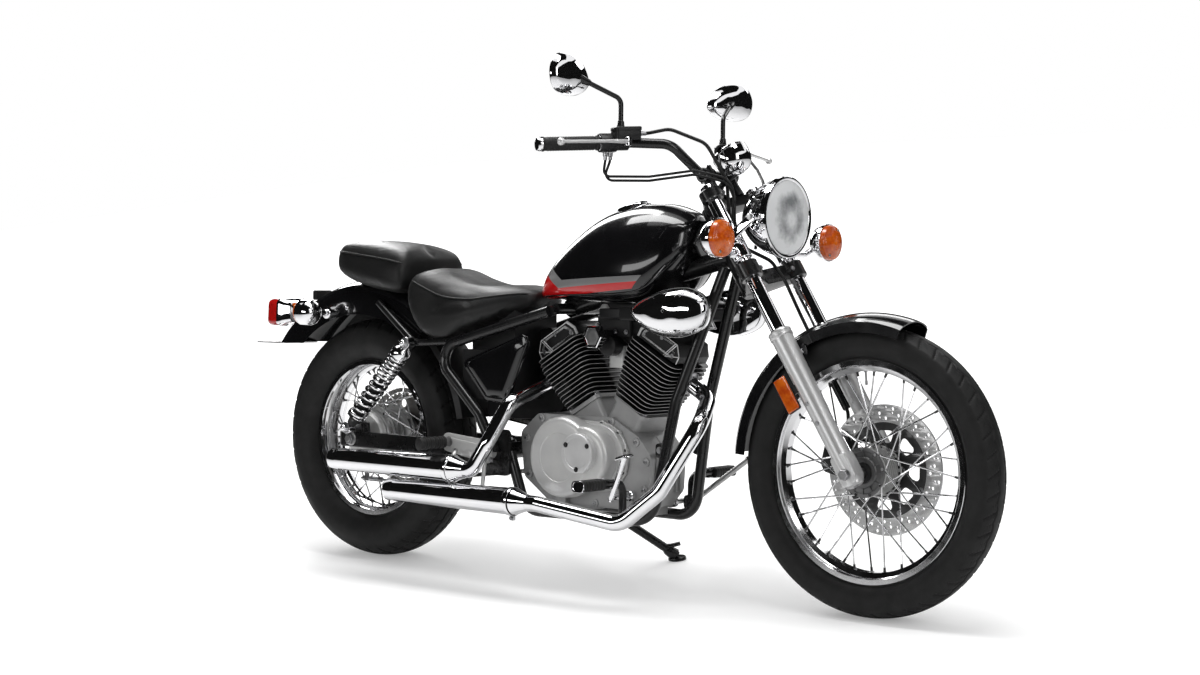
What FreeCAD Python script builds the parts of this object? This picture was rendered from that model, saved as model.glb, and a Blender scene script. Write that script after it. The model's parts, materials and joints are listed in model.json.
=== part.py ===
"""Cruiser motorcycle with a V-twin engine, wire wheels and twin shock absorbers.

It is built upright, with X forward, Y to the rider's left and Z up, from the ground below the
rear axle. Then the whole machine leans to its left onto its side stand, and its origin moves to
the middle of its footprint on the floor. Lengths are in millimetres and angles in degrees.
"""

import FreeCAD
import Part
import math
import os
from FreeCAD import Vector

# Wheels, steering and stance
wheelbase = 1490.0
rake_angle = 32.0
trail = 119.0
lean_angle = 9.0
front_tyre_radius = 311.0
rear_tyre_radius = 306.0

# Engine place
crank_x = 803.0
crank_z = 305.0
cylinder_angle = 30.0

# Fits and gaps
running_gap = 0.05
seat_gap = 0.3
cut_overrun = 2.0

# Frame tubes and their places
frame_tube_radius = 13.0
backbone_radius = 22.0
head_tube_radius = 26.0
head_tube_low = 850.0
head_tube_length = 155.0
stem_radius = 13.0
frame_bend_radius = 60.0
cradle_half_width = 80.0
cradle_rear_half_width = 99.0
cradle_low_z = 168.0
cradle_front_x = 960.0
cradle_rear_x = 592.0
downtube_top_half_width = 26.0
downtube_mid_x = 1011.0
downtube_mid_z = 440.0
downtube_mid_half_width = 62.0
downtube_gusset_length = 95.0
loop_half_width = 125.0
loop_low_x = 461.0
loop_low_z = 392.0
loop_rear_x = 300.0
loop_rear_z = 541.0
loop_front_x = 655.0
loop_front_z = 640.0
loop_front_half_width = 92.0
loop_bend_radius = 45.0
backbone_rear_x = 640.0
backbone_rear_z = 646.0
backbone_front_drop = 18.0
pivot_plate_thickness = 8.0
pivot_plate_height = 110.0
pivot_plate_rear_reach = 31.0
pivot_plate_front_reach = 56.0
cradle_end_reach = 41.0

# Swingarm
swing_pivot_x = 500.0
swing_pivot_z = 302.0
swing_pivot_radius = 20.0
swing_arm_half_width = 98.0
swing_arm_thickness = 24.0
swing_arm_height = 40.0
swing_arm_overhang = 40.0
swing_cross_x = 372.0
swing_cross_radius = 19.0
pivot_bolt_radius = 8.0
rear_axle_radius = 8.5

origin = Vector(0, 0, 0)
forward = Vector(1, 0, 0)
lateral = Vector(0, 1, 0)
upward = Vector(0, 0, 1)

# Worked out from the sizes above
rake = math.radians(rake_angle)
fork_offset = front_tyre_radius * math.sin(rake) - trail * math.cos(rake)
fork_axle_reach = trail * math.sin(rake) + front_tyre_radius * math.cos(rake)
steering_foot = Vector(wheelbase + trail, 0, 0)
front_axle_place = Vector(wheelbase, 0, front_tyre_radius)
rear_axle_place = Vector(0, 0, rear_tyre_radius)
crank_place = Vector(crank_x, 0, crank_z)
swing_pivot_place = Vector(swing_pivot_x, 0, swing_pivot_z)


# Helpers

def rod(start, end, radius):
    axis = end - start
    return Part.makeCylinder(radius, axis.Length, start, axis)


def pipe(start, end, outer_radius, inner_radius):
    axis = end - start
    overrun = Vector(axis).normalize() * cut_overrun
    return rod(start, end, outer_radius).cut(rod(start - overrun, end + overrun, inner_radius))


def taper(start, end, start_radius, end_radius):
    axis = end - start
    return Part.makeCone(start_radius, end_radius, axis.Length, start, axis)


def block(low, high):
    size = high - low
    return Part.makeBox(size.x, size.y, size.z, low)


def fused(first, *others):
    return first.multiFuse(list(others)).removeSplitter()


def mirrored(shape):
    return shape.mirror(origin, lateral)


def both_sides(shape):
    return [shape, mirrored(shape)]


def bend_points(before, corner, after, bend_radius, limit_share=0.47):
    """Start, middle and end of the arc that rounds one corner of a route."""
    into = (corner - before).normalize()
    out = (after - corner).normalize()
    half_turn = into.getAngle(out) / 2
    reach = bend_radius * math.tan(half_turn)
    reach = min(reach, limit_share * (corner - before).Length, limit_share * (after - corner).Length)
    radius = reach / math.tan(half_turn)
    inward = (out - into).normalize()
    middle = corner + inward * (radius / math.cos(half_turn) - radius)
    return corner - into * reach, middle, corner + out * reach


def bent_wire(points, bend_radius):
    edges = []
    start = points[0]
    for before, corner, after in zip(points, points[1:], points[2:]):
        first, middle, last = bend_points(before, corner, after, bend_radius)
        edges.append(Part.LineSegment(start, first).toShape())
        edges.append(Part.Arc(first, middle, last).toShape())
        start = last
    edges.append(Part.LineSegment(start, points[-1]).toShape())
    return Part.Wire(edges)


def bent_rod(points, radius, bend_radius):
    profile = Part.Wire(Part.makeCircle(radius, points[0], points[1] - points[0]))
    return bent_wire(points, bend_radius).makePipeShell([profile], True, False)


def rounded_outline(corners, corner_radius):
    """Closed wire through the corners, each rounded to one radius."""
    count = len(corners)
    arcs = []
    for index in range(count):
        after = corners[(index + 1) % count]
        arcs.append(bend_points(corners[index - 1], corners[index], after, corner_radius, 0.48))
    edges = []
    for index, (first, middle, last) in enumerate(arcs):
        edges.append(Part.LineSegment(arcs[index - 1][2], first).toShape())
        edges.append(Part.Arc(first, middle, last).toShape())
    return Part.Wire(edges)


def side_plate(corners, corner_radius, start_y, thickness):
    """Plate that stands along the machine: corners are (x, z), and it grows to the left."""
    wire = rounded_outline([Vector(x, start_y, z) for x, z in corners], corner_radius)
    return Part.Face(wire).extrude(Vector(0, thickness, 0))


def round_box(low, high, corner_radius):
    """Box with its four upright edges rounded."""
    corners = [Vector(low.x, low.y, low.z), Vector(high.x, low.y, low.z),
               Vector(high.x, high.y, low.z), Vector(low.x, high.y, low.z)]
    return Part.Face(rounded_outline(corners, corner_radius)).extrude(Vector(0, 0, high.z - low.z))


def turned(profile, centre):
    """Solid turned about the lateral line through centre: profile holds (radius, y)."""
    corners = [Vector(centre.x + radius, centre.y + y, centre.z) for radius, y in profile]
    face = Part.Face(Part.makePolygon(corners + corners[:1]))
    return face.revolve(centre, lateral, 360)


def spun(profile, centre, axis):
    """Solid turned about an axis in the middle plane: profile holds (distance along, radius)."""
    side = Vector(axis).normalize().cross(lateral)
    corners = [centre + Vector(axis).normalize() * along + side * radius for along, radius in profile]
    face = Part.Face(Part.makePolygon(corners + corners[:1]))
    return face.revolve(centre, axis, 360)


def wheel_point(centre, radius, angle, y):
    """Point on a circle about a wheel's axle: the angle climbs from the front."""
    turn = math.radians(angle)
    return centre + Vector(radius * math.cos(turn), y, radius * math.sin(turn))


def section_wire(x, half_width, low, high, half_section_shares):
    """Closed curve across the machine: each share pair is (of the half width, of the height)."""
    right = [(-across, up) for across, up in half_section_shares[1:-1]]
    around = list(half_section_shares) + right[::-1]
    points = [Vector(x, half_width * across, low + (high - low) * up) for across, up in around]
    curve = Part.BSplineCurve()
    curve.interpolate(Points=points, PeriodicFlag=True)
    return Part.Wire(curve.toShape())


def lofted_body(stations, half_section_shares):
    """Smooth body along the machine: each station is (x, half width, low z, high z)."""
    wires = [section_wire(*station, half_section_shares) for station in stations]
    return Part.makeLoft(wires, True, False)


def on_steering(shape):
    """Moves a shape from the steering's own frame, with Z up its axis and X ahead of it."""
    placed = shape.copy()
    placed.rotate(origin, lateral, -rake_angle)
    placed.translate(steering_foot)
    return placed


def steering_point(ahead, y, along):
    """Place of a point of the steering's own frame."""
    x = along * -math.sin(rake) + ahead * math.cos(rake)
    z = along * math.cos(rake) + ahead * math.sin(rake)
    return steering_foot + Vector(x, y, z)


def on_cylinder(shape, tilt):
    """Moves a shape from a cylinder's own frame, with Z out along its bore from the crank."""
    placed = shape.copy()
    placed.rotate(origin, lateral, tilt)
    placed.translate(crank_place)
    return placed


# Tyres

front_rim_seat = 228.6
front_rim_half_width = 23.5
front_tyre_half_width = 42.5
rear_rim_seat = 190.5
rear_rim_half_width = 38.0
rear_tyre_half_width = 65.0
rim_flange_height = 10.5
rim_flange_thickness = 3.0
tyre_wall = 8.0
sidewall_height_share = 0.42
shoulder_height_share = 0.80
shoulder_width_share = 0.87


def tyre(centre, radius, half_width, rim_seat, rim_half_width):
    """Hollow carcass on its two beads, in the plane of radius and width."""
    def point(distance, y):
        return centre + Vector(distance, y, 0)

    seat = rim_seat + seat_gap
    bead_y = rim_half_width - seat_gap
    bead_top = rim_seat + rim_flange_height + rim_flange_thickness
    height = radius - bead_top
    side_radius = bead_top + height * sidewall_height_share
    shoulder_radius = bead_top + height * shoulder_height_share
    shoulder_y = half_width * shoulder_width_share

    def half(inset, side):
        """Bead to shoulder, pulled inward by the wall for the inner face."""
        return [point(seat, side * (bead_y - inset)),
                point(bead_top, side * (bead_y - inset)),
                point(side_radius, side * (half_width - inset)),
                point(shoulder_radius - inset / 2, side * (shoulder_y - inset))]

    left_out, right_out = half(0, 1), half(0, -1)
    left_in, right_in = half(tyre_wall, 1), half(tyre_wall, -1)
    edges = [
        Part.LineSegment(left_out[0], left_out[1]),
        Part.Arc(left_out[1], left_out[2], left_out[3]),
        Part.Arc(left_out[3], point(radius, 0), right_out[3]),
        Part.Arc(right_out[3], right_out[2], right_out[1]),
        Part.LineSegment(right_out[1], right_out[0]),
        Part.LineSegment(right_out[0], right_in[0]),
        Part.LineSegment(right_in[0], right_in[1]),
        Part.Arc(right_in[1], right_in[2], right_in[3]),
        Part.Arc(right_in[3], point(radius - tyre_wall, 0), left_in[3]),
        Part.Arc(left_in[3], left_in[2], left_in[1]),
        Part.LineSegment(left_in[1], left_in[0]),
        Part.LineSegment(left_in[0], left_out[0]),
    ]
    face = Part.Face(Part.Wire([edge.toShape() for edge in edges]))
    return face.revolve(centre, lateral, 360)


# Wire wheels

spoke_count = 36
spoke_radius = 2.0
spoke_lace_angle = 52.0
spoke_flange_step = 2.5
rim_wall = 3.0
rim_well_depth = 12.0
rim_well_half_width = 9.0
rim_seat_width = 12.0
front_hub_radius = 30.0
front_hub_half_length = 38.0
front_hub_rib_radius = 58.0
front_hub_rib_count = 5
front_flange_radius = 54.0
front_flange_thickness = 5.0
front_flange_y = 30.0
front_axle_radius = 7.0
rear_hub_radius = 74.0
rear_hub_half_length = 48.0
rear_hub_neck_radius = 58.0
rear_flange_radius = 84.0
rear_flange_y = 36.0


def rim(centre, rim_seat, half_width):
    flange = rim_seat + rim_flange_height
    outer = half_width + rim_flange_thickness
    shelf = half_width - rim_seat_width
    well = rim_seat - rim_well_depth
    left = [(flange, outer), (flange, half_width), (rim_seat, half_width), (rim_seat, shelf),
            (well, rim_well_half_width)]
    under = [(well - rim_wall, rim_well_half_width + rim_wall / 2), (rim_seat - rim_wall, shelf + rim_wall),
             (rim_seat - rim_wall, outer)]
    right = [(radius, -y) for radius, y in left[::-1]]
    return turned(left + right + [(radius, -y) for radius, y in under[::-1]] + under, centre)


def spokes(centre, hub_radius, flange_y, rim_seat):
    """Laced in pairs that cross, from each flange in turn."""
    pieces = []
    rim_end = rim_seat - rim_well_depth - rim_wall / 2
    for index in range(spoke_count):
        side = 1 if index % 2 else -1
        lean = 1 if index % 4 < 2 else -1
        angle = 360 / spoke_count * index
        inner_y = side * (flange_y + lean * spoke_flange_step)
        start = wheel_point(centre, hub_radius, angle + lean * spoke_lace_angle, inner_y)
        end = wheel_point(centre, rim_end, angle, side * rim_well_half_width / 2)
        pieces.append(rod(start, end, spoke_radius))
    return pieces


def front_wire_wheel():
    centre = front_axle_place
    length = front_hub_half_length
    bore = front_axle_radius + running_gap
    hub = turned([(bore, -length), (front_hub_radius, -length), (front_hub_radius, length),
                  (bore, length)], centre)
    flange_low = front_flange_y - front_flange_thickness / 2
    flange_high = front_flange_y + front_flange_thickness / 2
    pieces = []
    for side in (1, -1):
        pieces.append(turned([(bore, side * flange_low), (front_flange_radius, side * flange_low),
                              (front_flange_radius, side * flange_high), (bore, side * flange_high)], centre))
    rib_pitch = 2 * flange_low / (front_hub_rib_count + 1)
    for index in range(front_hub_rib_count):
        low = -flange_low + rib_pitch * (index + 1) - rim_wall / 2
        pieces.append(turned([(bore, low), (front_hub_rib_radius * 0.8, low),
                              (front_hub_rib_radius * 0.8, low + rim_wall), (bore, low + rim_wall)], centre))
    pieces += spokes(centre, front_flange_radius - spoke_radius * 2, front_flange_y, front_rim_seat)
    return fused(hub, rim(centre, front_rim_seat, front_rim_half_width), *pieces)


def rear_wire_wheel():
    centre = rear_axle_place
    bore = rear_axle_radius + running_gap
    length = rear_hub_half_length
    flange_low = rear_flange_y - front_flange_thickness / 2
    flange_high = rear_flange_y + front_flange_thickness / 2
    hub = turned([(bore, -length), (rear_hub_radius, -length), (rear_hub_radius, -flange_high),
                  (rear_flange_radius, -flange_high), (rear_flange_radius, -flange_low),
                  (rear_hub_radius, -flange_low), (rear_hub_neck_radius, 0), (rear_hub_radius, flange_low),
                  (rear_flange_radius, flange_low), (rear_flange_radius, flange_high),
                  (rear_hub_neck_radius, flange_high), (rear_hub_neck_radius, length), (bore, length)], centre)
    wires = spokes(centre, rear_flange_radius - spoke_radius * 2, rear_flange_y, rear_rim_seat)
    return fused(hub, rim(centre, rear_rim_seat, rear_rim_half_width), *wires)


# Front brake disc and caliper

disc_radius = 141.0
disc_ring_width = 44.0
disc_thickness = 5.0
disc_y = 52.7
disc_hole_radius = 4.5
disc_hole_rows = 3
disc_holes_per_row = 16
disc_arm_count = 6
disc_arm_width = 16.0
disc_boss_radius = 46.0
caliper_angle = 166.0
caliper_length = 92.0
caliper_height = 58.0
caliper_half_thickness = 19.0
caliper_slot_gap = 3.0
caliper_offset = 6.0
caliper_ear_radius = 5.0
caliper_ear_step = 1.2
caliper_ear_angle = 154.0


def front_disc():
    centre = front_axle_place
    low = disc_y - disc_thickness / 2
    high = disc_y + disc_thickness / 2
    inner = disc_radius - disc_ring_width
    ring = turned([(inner, low), (disc_radius, low), (disc_radius, high), (inner, high)], centre)
    holes = []
    for row in range(disc_hole_rows):
        radius = inner + disc_ring_width * (row + 1) / (disc_hole_rows + 1)
        for index in range(disc_holes_per_row):
            angle = 360 / disc_holes_per_row * (index + row / disc_hole_rows)
            start = wheel_point(centre, radius, angle, low - cut_overrun)
            end = wheel_point(centre, radius, angle, high + cut_overrun)
            holes.append(rod(start, end, disc_hole_radius))
    ring = ring.cut(Part.makeCompound(holes))
    boss = turned([(front_hub_radius - rim_wall, front_hub_half_length), (disc_boss_radius, front_hub_half_length),
                   (disc_boss_radius, high), (front_hub_radius - rim_wall, high)], centre)
    arms = []
    for index in range(disc_arm_count):
        arm = block(Vector(disc_boss_radius - rim_wall, low, -disc_arm_width / 2),
                    Vector(inner + rim_wall, high, disc_arm_width / 2))
        arm.rotate(origin, lateral, 360 / disc_arm_count * index)
        arm.translate(centre)
        arms.append(arm)
    return fused(ring, boss, *arms)


def front_caliper():
    """Block that straddles the disc behind the left fork leg, with its ear on the slider."""
    centre = wheel_point(front_axle_place, disc_radius - caliper_height / 3, caliper_angle, disc_y)
    body = round_box(Vector(-caliper_length / 2, -caliper_half_thickness, -caliper_height / 2),
                     Vector(caliper_length / 2, caliper_half_thickness + caliper_offset, caliper_height / 2),
                     caliper_offset)
    slot = block(Vector(-caliper_length, -disc_thickness / 2 - caliper_slot_gap, -caliper_height),
                 Vector(caliper_length, disc_thickness / 2 + caliper_slot_gap, caliper_height * 0.41))
    body = body.cut(slot)
    body.rotate(origin, lateral, 90 - caliper_angle)
    body.translate(centre)
    ear_y = disc_y + caliper_half_thickness - caliper_ear_step
    ear_start = wheel_point(front_axle_place, disc_radius - caliper_height / 3, caliper_ear_angle, ear_y)
    ear_end = slider_point(slider_lug_reach, 0)
    ear = rod(ear_start, Vector(ear_end.x, ear_y, ear_end.z), caliper_ear_radius)
    return fused(body, ear).cut(slider_skin(1))


# Fork

slider_spread = 85.0
fork_tube_radius = 16.5
slider_top = 674.0
slider_top_radius = 24.0
slider_foot_radius = 20.0
slider_cap_radius = 26.0
slider_cap_length = 16.0
slider_foot_reach = 26.0
slider_bore_depth = 80.0
slider_lug_reach = 405.0
fork_tube_top = 1046.0
lower_yoke_low = 808.0
lower_yoke_height = 37.0
upper_yoke_low = 1010.0
upper_yoke_height = 24.0
yoke_clamp_wall = 9.0
yoke_stem_boss = 26.0
yoke_web_share = 0.6
axle_nut_radius = 12.0
axle_nut_length = 10.0


def slider_point(along, y):
    return steering_point(fork_offset, y, along)


def slider_skin(side):
    """Outer surface of one slider, a hair larger, to cut what is clamped beside it."""
    start = slider_point(fork_axle_reach - slider_foot_reach, side * slider_spread)
    end = slider_point(slider_top, side * slider_spread)
    return taper(start, end, slider_foot_radius + seat_gap, slider_top_radius + seat_gap)


def fork_sliders():
    foot = slider_point(fork_axle_reach - slider_foot_reach, slider_spread)
    top = slider_point(slider_top, slider_spread)
    cap = slider_point(slider_top - slider_cap_length, slider_spread)
    bore_end = slider_point(slider_top - slider_bore_depth, slider_spread)
    over = slider_point(slider_top + cut_overrun, slider_spread)
    body = taper(foot, top, slider_foot_radius, slider_top_radius)
    collar = rod(cap, top, slider_cap_radius)
    leg = fused(body, collar).cut(rod(bore_end, over, fork_tube_radius + running_gap))
    axle_hole = rod(front_axle_place, front_axle_place + lateral * slider_spread * 2,
                    front_axle_radius + running_gap)
    return both_sides(leg.cut(axle_hole))


def fork_tubes():
    start = slider_point(slider_top - slider_bore_depth, slider_spread)
    end = slider_point(fork_tube_top, slider_spread)
    return both_sides(rod(start, end, fork_tube_radius))


def yoke(low, height):
    """Clamp plate across both tubes, in the steering's own frame."""
    clamp = fork_tube_radius + yoke_clamp_wall
    centre = Vector(fork_offset, slider_spread, low)
    web_rear = yoke_stem_boss * yoke_web_share
    web = [Vector(-web_rear, -web_rear, low),
           Vector(fork_offset - clamp / 2, -slider_spread - clamp / 2, low),
           Vector(fork_offset + clamp / 2, -slider_spread, low),
           Vector(fork_offset - clamp / 3, 0, low),
           Vector(fork_offset + clamp / 2, slider_spread, low),
           Vector(fork_offset - clamp / 2, slider_spread + clamp / 2, low),
           Vector(-web_rear, web_rear, low)]
    plate = Part.Face(rounded_outline(web, yoke_clamp_wall)).extrude(Vector(0, 0, height))
    left = rod(centre, centre + upward * height, clamp)
    boss = rod(Vector(0, 0, low), Vector(0, 0, low + height), yoke_stem_boss)
    solid = fused(plate, left, mirrored(left), boss)
    bore = rod(centre - upward * cut_overrun, centre + upward * (height + cut_overrun),
               fork_tube_radius + running_gap)
    return solid.cut(bore).cut(mirrored(bore))


def fork_yokes():
    lower = yoke(lower_yoke_low, lower_yoke_height)
    upper = yoke(upper_yoke_low, upper_yoke_height)
    stem = rod(Vector(0, 0, lower_yoke_low), Vector(0, 0, upper_yoke_low + upper_yoke_height), stem_radius)
    race = rod(Vector(0, 0, lower_yoke_low), Vector(0, 0, head_tube_low - seat_gap), head_tube_radius)
    head_tube_top = head_tube_low + head_tube_length
    nut = rod(Vector(0, 0, head_tube_top + seat_gap), Vector(0, 0, upper_yoke_low + cut_overrun), head_tube_radius)
    cap_nut = rod(Vector(0, 0, upper_yoke_low), Vector(0, 0, fork_tube_top + axle_nut_length / 2), stem_radius * 1.2)
    return on_steering(fused(lower, upper, stem, race, nut, cap_nut))


def front_axle():
    """Axle with its nut and the spacers that centre the hub."""
    spacer_radius = front_axle_radius + rim_wall
    leg_reach = slider_foot_radius + 2 * seat_gap
    outer = slider_spread + leg_reach
    centre = front_axle_place
    shaft = rod(centre - lateral * (outer + axle_nut_length), centre + lateral * outer, front_axle_radius)
    nut = rod(centre - lateral * (outer + axle_nut_length), centre - lateral * outer, axle_nut_radius)
    pieces = [nut]
    inner = slider_spread - leg_reach
    for side in (1, -1):
        start = centre + lateral * side * (front_hub_half_length + seat_gap)
        pieces.append(rod(start, centre + lateral * side * inner, spacer_radius))
    return fused(shaft, *pieces)


# Fenders

fender_wall = 2.5
front_fender_crown = 338.0
front_fender_shoulder = 322.0
front_fender_edge = 296.0
front_fender_half_width = 56.0
front_fender_start_angle = 72.0
front_fender_sweep_angle = 104.0
rear_fender_crown = 410.0
rear_fender_shoulder = 382.0
rear_fender_edge = 318.0
rear_fender_half_width = 90.0
rear_fender_start_angle = 50.0
rear_fender_sweep_angle = 94.0
rear_fender_tail_z = 545.0
fender_stay_radius = 6.0


def arch(centre, crown, shoulder, edge, half_width, wall, start_angle, sweep_angle):
    """Fender shell: skirts and a crowned top, swept round the wheel's axle."""
    def half(inset):
        width = half_width - inset
        return ([Vector(edge, width, 0), Vector(shoulder - inset, width - inset / 2, 0)],
                Vector(crown - inset, 0, 0))

    (edge_out, shoulder_out), crown_out = half(0)
    (edge_in, shoulder_in), crown_in = half(wall)
    edge_far, shoulder_far = mirrored_point(edge_out), mirrored_point(shoulder_out)
    edge_near, shoulder_near = mirrored_point(edge_in), mirrored_point(shoulder_in)
    edges = [
        Part.LineSegment(edge_out, shoulder_out),
        Part.Arc(shoulder_out, crown_out, shoulder_far),
        Part.LineSegment(shoulder_far, edge_far),
        Part.LineSegment(edge_far, edge_near),
        Part.LineSegment(edge_near, shoulder_near),
        Part.Arc(shoulder_near, crown_in, shoulder_in),
        Part.LineSegment(shoulder_in, edge_in),
        Part.LineSegment(edge_in, edge_out),
    ]
    face = Part.Face(Part.Wire([edge.toShape() for edge in edges]))
    face.rotate(origin, -lateral, start_angle)
    shell = face.revolve(origin, -lateral, sweep_angle)
    shell.translate(centre)
    return shell


def mirrored_point(point):
    return Vector(point.x, -point.y, point.z)


def front_fender():
    shell = arch(front_axle_place, front_fender_crown, front_fender_shoulder, front_fender_edge,
                 front_fender_half_width, fender_wall, front_fender_start_angle, front_fender_sweep_angle)
    stays = []
    for side in (1, -1):
        middle = slider_point(fork_axle_reach + front_fender_edge * 0.98, side * slider_spread)
        inner = Vector(middle.x, side * (front_fender_half_width - fender_wall), middle.z)
        stay = rod(inner, middle, fender_stay_radius).cut(slider_skin(side))
        stays.append(stay)
    return fused(shell, *stays)


def rear_fender():
    shell = arch(rear_axle_place, rear_fender_crown, rear_fender_shoulder, rear_fender_edge,
                 rear_fender_half_width, fender_wall, rear_fender_start_angle, rear_fender_sweep_angle)
    reach = rear_fender_crown + cut_overrun
    tail = block(Vector(-reach, -reach, 0), Vector(0, reach, rear_fender_tail_z))
    return shell.cut(tail)


def rear_fender_envelope(gap):
    """Solid drum that fills the rear fender, to trim what sits on it."""
    radius = rear_fender_crown + gap
    wide = rear_fender_half_width + gap
    shoulder = rear_fender_shoulder + gap
    corners = [Vector(0, -wide, 0), Vector(shoulder, -wide, 0), Vector(shoulder, wide, 0), Vector(0, wide, 0)]
    edges = [Part.LineSegment(corners[0], corners[1]), Part.Arc(corners[1], Vector(radius, 0, 0), corners[2]),
             Part.LineSegment(corners[2], corners[3]), Part.LineSegment(corners[3], corners[0])]
    drum = Part.Face(Part.Wire([edge.toShape() for edge in edges])).revolve(origin, lateral, 360)
    drum.translate(rear_axle_place)
    return drum


# Frame

def head_point(along):
    return steering_point(0, 0, along)


def backbone_frame():
    low = head_point(head_tube_low)
    top = head_point(head_tube_low + head_tube_length)
    middle = head_point(head_tube_low + head_tube_length / 2) - upward * backbone_front_drop
    spine = rod(middle, Vector(backbone_rear_x, 0, backbone_rear_z), backbone_radius)
    cross_half = loop_front_half_width - frame_tube_radius - seat_gap
    cross_middle = Vector(backbone_rear_x + backbone_radius, 0, backbone_rear_z)
    cross = rod(cross_middle - lateral * cross_half, cross_middle + lateral * cross_half, frame_tube_radius)
    gusset_low = head_point(head_tube_low + head_tube_radius)
    gusset = side_plate([(gusset_low.x, gusset_low.z), (middle.x, middle.z),
                         (middle.x - downtube_gusset_length, middle.z - backbone_radius)],
                        fender_stay_radius, -rim_wall, 2 * rim_wall)
    bore = rod(head_point(head_tube_low - cut_overrun), head_point(head_tube_low + head_tube_length + cut_overrun),
               stem_radius + running_gap)
    return fused(rod(low, top, head_tube_radius), spine, cross, gusset).cut(bore)


def cradle_route():
    head = head_point(head_tube_low + head_tube_radius)
    return [Vector(head.x - head_tube_radius, downtube_top_half_width, head.z),
            Vector(downtube_mid_x, downtube_mid_half_width, downtube_mid_z),
            Vector(cradle_front_x, cradle_half_width, cradle_low_z),
            Vector(cradle_rear_x, cradle_rear_half_width, cradle_low_z),
            Vector(swing_pivot_x + cradle_end_reach, cradle_rear_half_width, swing_pivot_z)]


def cradle_side(x):
    """Distance of the bottom run's tube from the middle plane."""
    share = (cradle_front_x - x) / (cradle_front_x - cradle_rear_x)
    return cradle_half_width + (cradle_rear_half_width - cradle_half_width) * share


def cradle_tubes():
    """Both down tubes run under the engine to the pivot plates, joined by two cross tubes."""
    left = bent_rod(cradle_route(), frame_tube_radius, frame_bend_radius)
    head_skin = rod(head_point(head_tube_low - cut_overrun), head_point(head_tube_low + head_tube_length),
                    head_tube_radius)
    left = left.cut(head_skin)
    stand_lug = side_stand_lug()
    return [fused(left, stand_lug), mirrored(left)]


def loop_route():
    return [Vector(swing_pivot_x + pivot_plate_rear_reach / 2, loop_half_width, swing_pivot_z),
            Vector(loop_low_x, loop_half_width, loop_low_z),
            Vector(loop_rear_x, loop_half_width, loop_rear_z),
            Vector(loop_front_x, loop_front_half_width, loop_front_z)]


def rear_loops():
    """Seat loop of each side, with its pivot plate and the rail back to the fender."""
    loop = bent_rod(loop_route(), frame_tube_radius, loop_bend_radius)
    plate_y = loop_half_width - frame_tube_radius
    plate_rear = swing_pivot_x - pivot_plate_rear_reach
    plate_front = swing_pivot_x + pivot_plate_front_reach
    plate_low = swing_pivot_z - pivot_plate_height / 2
    plate_high = swing_pivot_z + pivot_plate_height / 2
    plate = side_plate([(plate_rear, plate_low), (plate_front, plate_low), (plate_front, plate_high),
                        (plate_rear, plate_high)], frame_tube_radius, plate_y, pivot_plate_thickness)
    rail = bent_rod(rail_route(), rail_radius, frame_bend_radius)
    stud = rod(Vector(shock_top_x, loop_half_width, shock_top_z),
               Vector(shock_top_x, shock_y + shock_eye_width / 2, shock_top_z), shock_stud_radius)
    nose = Vector(loop_front_x, loop_front_half_width, loop_front_z)
    bridge = rod(nose, Vector(nose.x, loop_front_half_width - frame_tube_radius, nose.z), frame_tube_radius)
    bolt_hole = rod(swing_pivot_place, swing_pivot_place + lateral * loop_half_width * 2,
                    pivot_bolt_radius + running_gap)
    fender_bolt = rod(Vector(rail_rear_x, rail_rear_half_width, rail_rear_z),
                      Vector(rail_rear_x, rear_fender_half_width + seat_gap, rail_rear_z), rail_radius * 0.8)
    return both_sides(fused(loop, plate, rail, stud, bridge, fender_bolt).cut(bolt_hole))


rail_radius = 9.0
rail_joint_share = 0.24
rail_rear_x = 92.0
rail_rear_z = 655.0
rail_rear_half_width = 104.0


def rail_route():
    rear = Vector(loop_rear_x, loop_half_width, loop_rear_z)
    front = Vector(loop_front_x, loop_front_half_width, loop_front_z)
    return [rear + (front - rear) * rail_joint_share,
            Vector(shock_top_x, loop_half_width, shock_top_z),
            Vector(rail_rear_x, rail_rear_half_width, rail_rear_z)]


# Shock absorbers

shock_y = 147.0
shock_top_x = 240.0
shock_top_z = 557.0
shock_low_x = 30.0
shock_low_z = 338.0
shock_eye_radius = 15.0
shock_eye_width = 22.0
shock_stud_radius = 7.0
shock_body_radius = 15.0
shock_spring_radius = 25.0
shock_wire_radius = 4.5
shock_coil_count = 11
shock_spring_start_share = 0.16
shock_spring_end_share = 0.84


def shock_absorbers():
    """Damper between two eyes, with its spring as rings round it."""
    low = Vector(shock_low_x, shock_y, shock_low_z)
    top = Vector(shock_top_x, shock_y, shock_top_z)
    axis = top - low
    along = Vector(axis).normalize()
    body = rod(low, top, shock_body_radius)
    start = low + axis * shock_spring_start_share
    spring_length = axis.Length * (shock_spring_end_share - shock_spring_start_share)
    pieces = []
    for index in range(shock_coil_count):
        centre = start + along * spring_length * index / (shock_coil_count - 1)
        pieces.append(rod(centre - along * shock_wire_radius, centre + along * shock_wire_radius,
                          shock_spring_radius))
    for place in (low, top):
        pieces.append(rod(place - lateral * shock_eye_width / 2, place + lateral * shock_eye_width / 2,
                          shock_eye_radius))
    shock = fused(body, *pieces)
    for place in (low, top):
        shock = shock.cut(rod(place - lateral * shock_y, place + lateral * shock_y,
                              shock_stud_radius + running_gap))
    return both_sides(shock)


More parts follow.
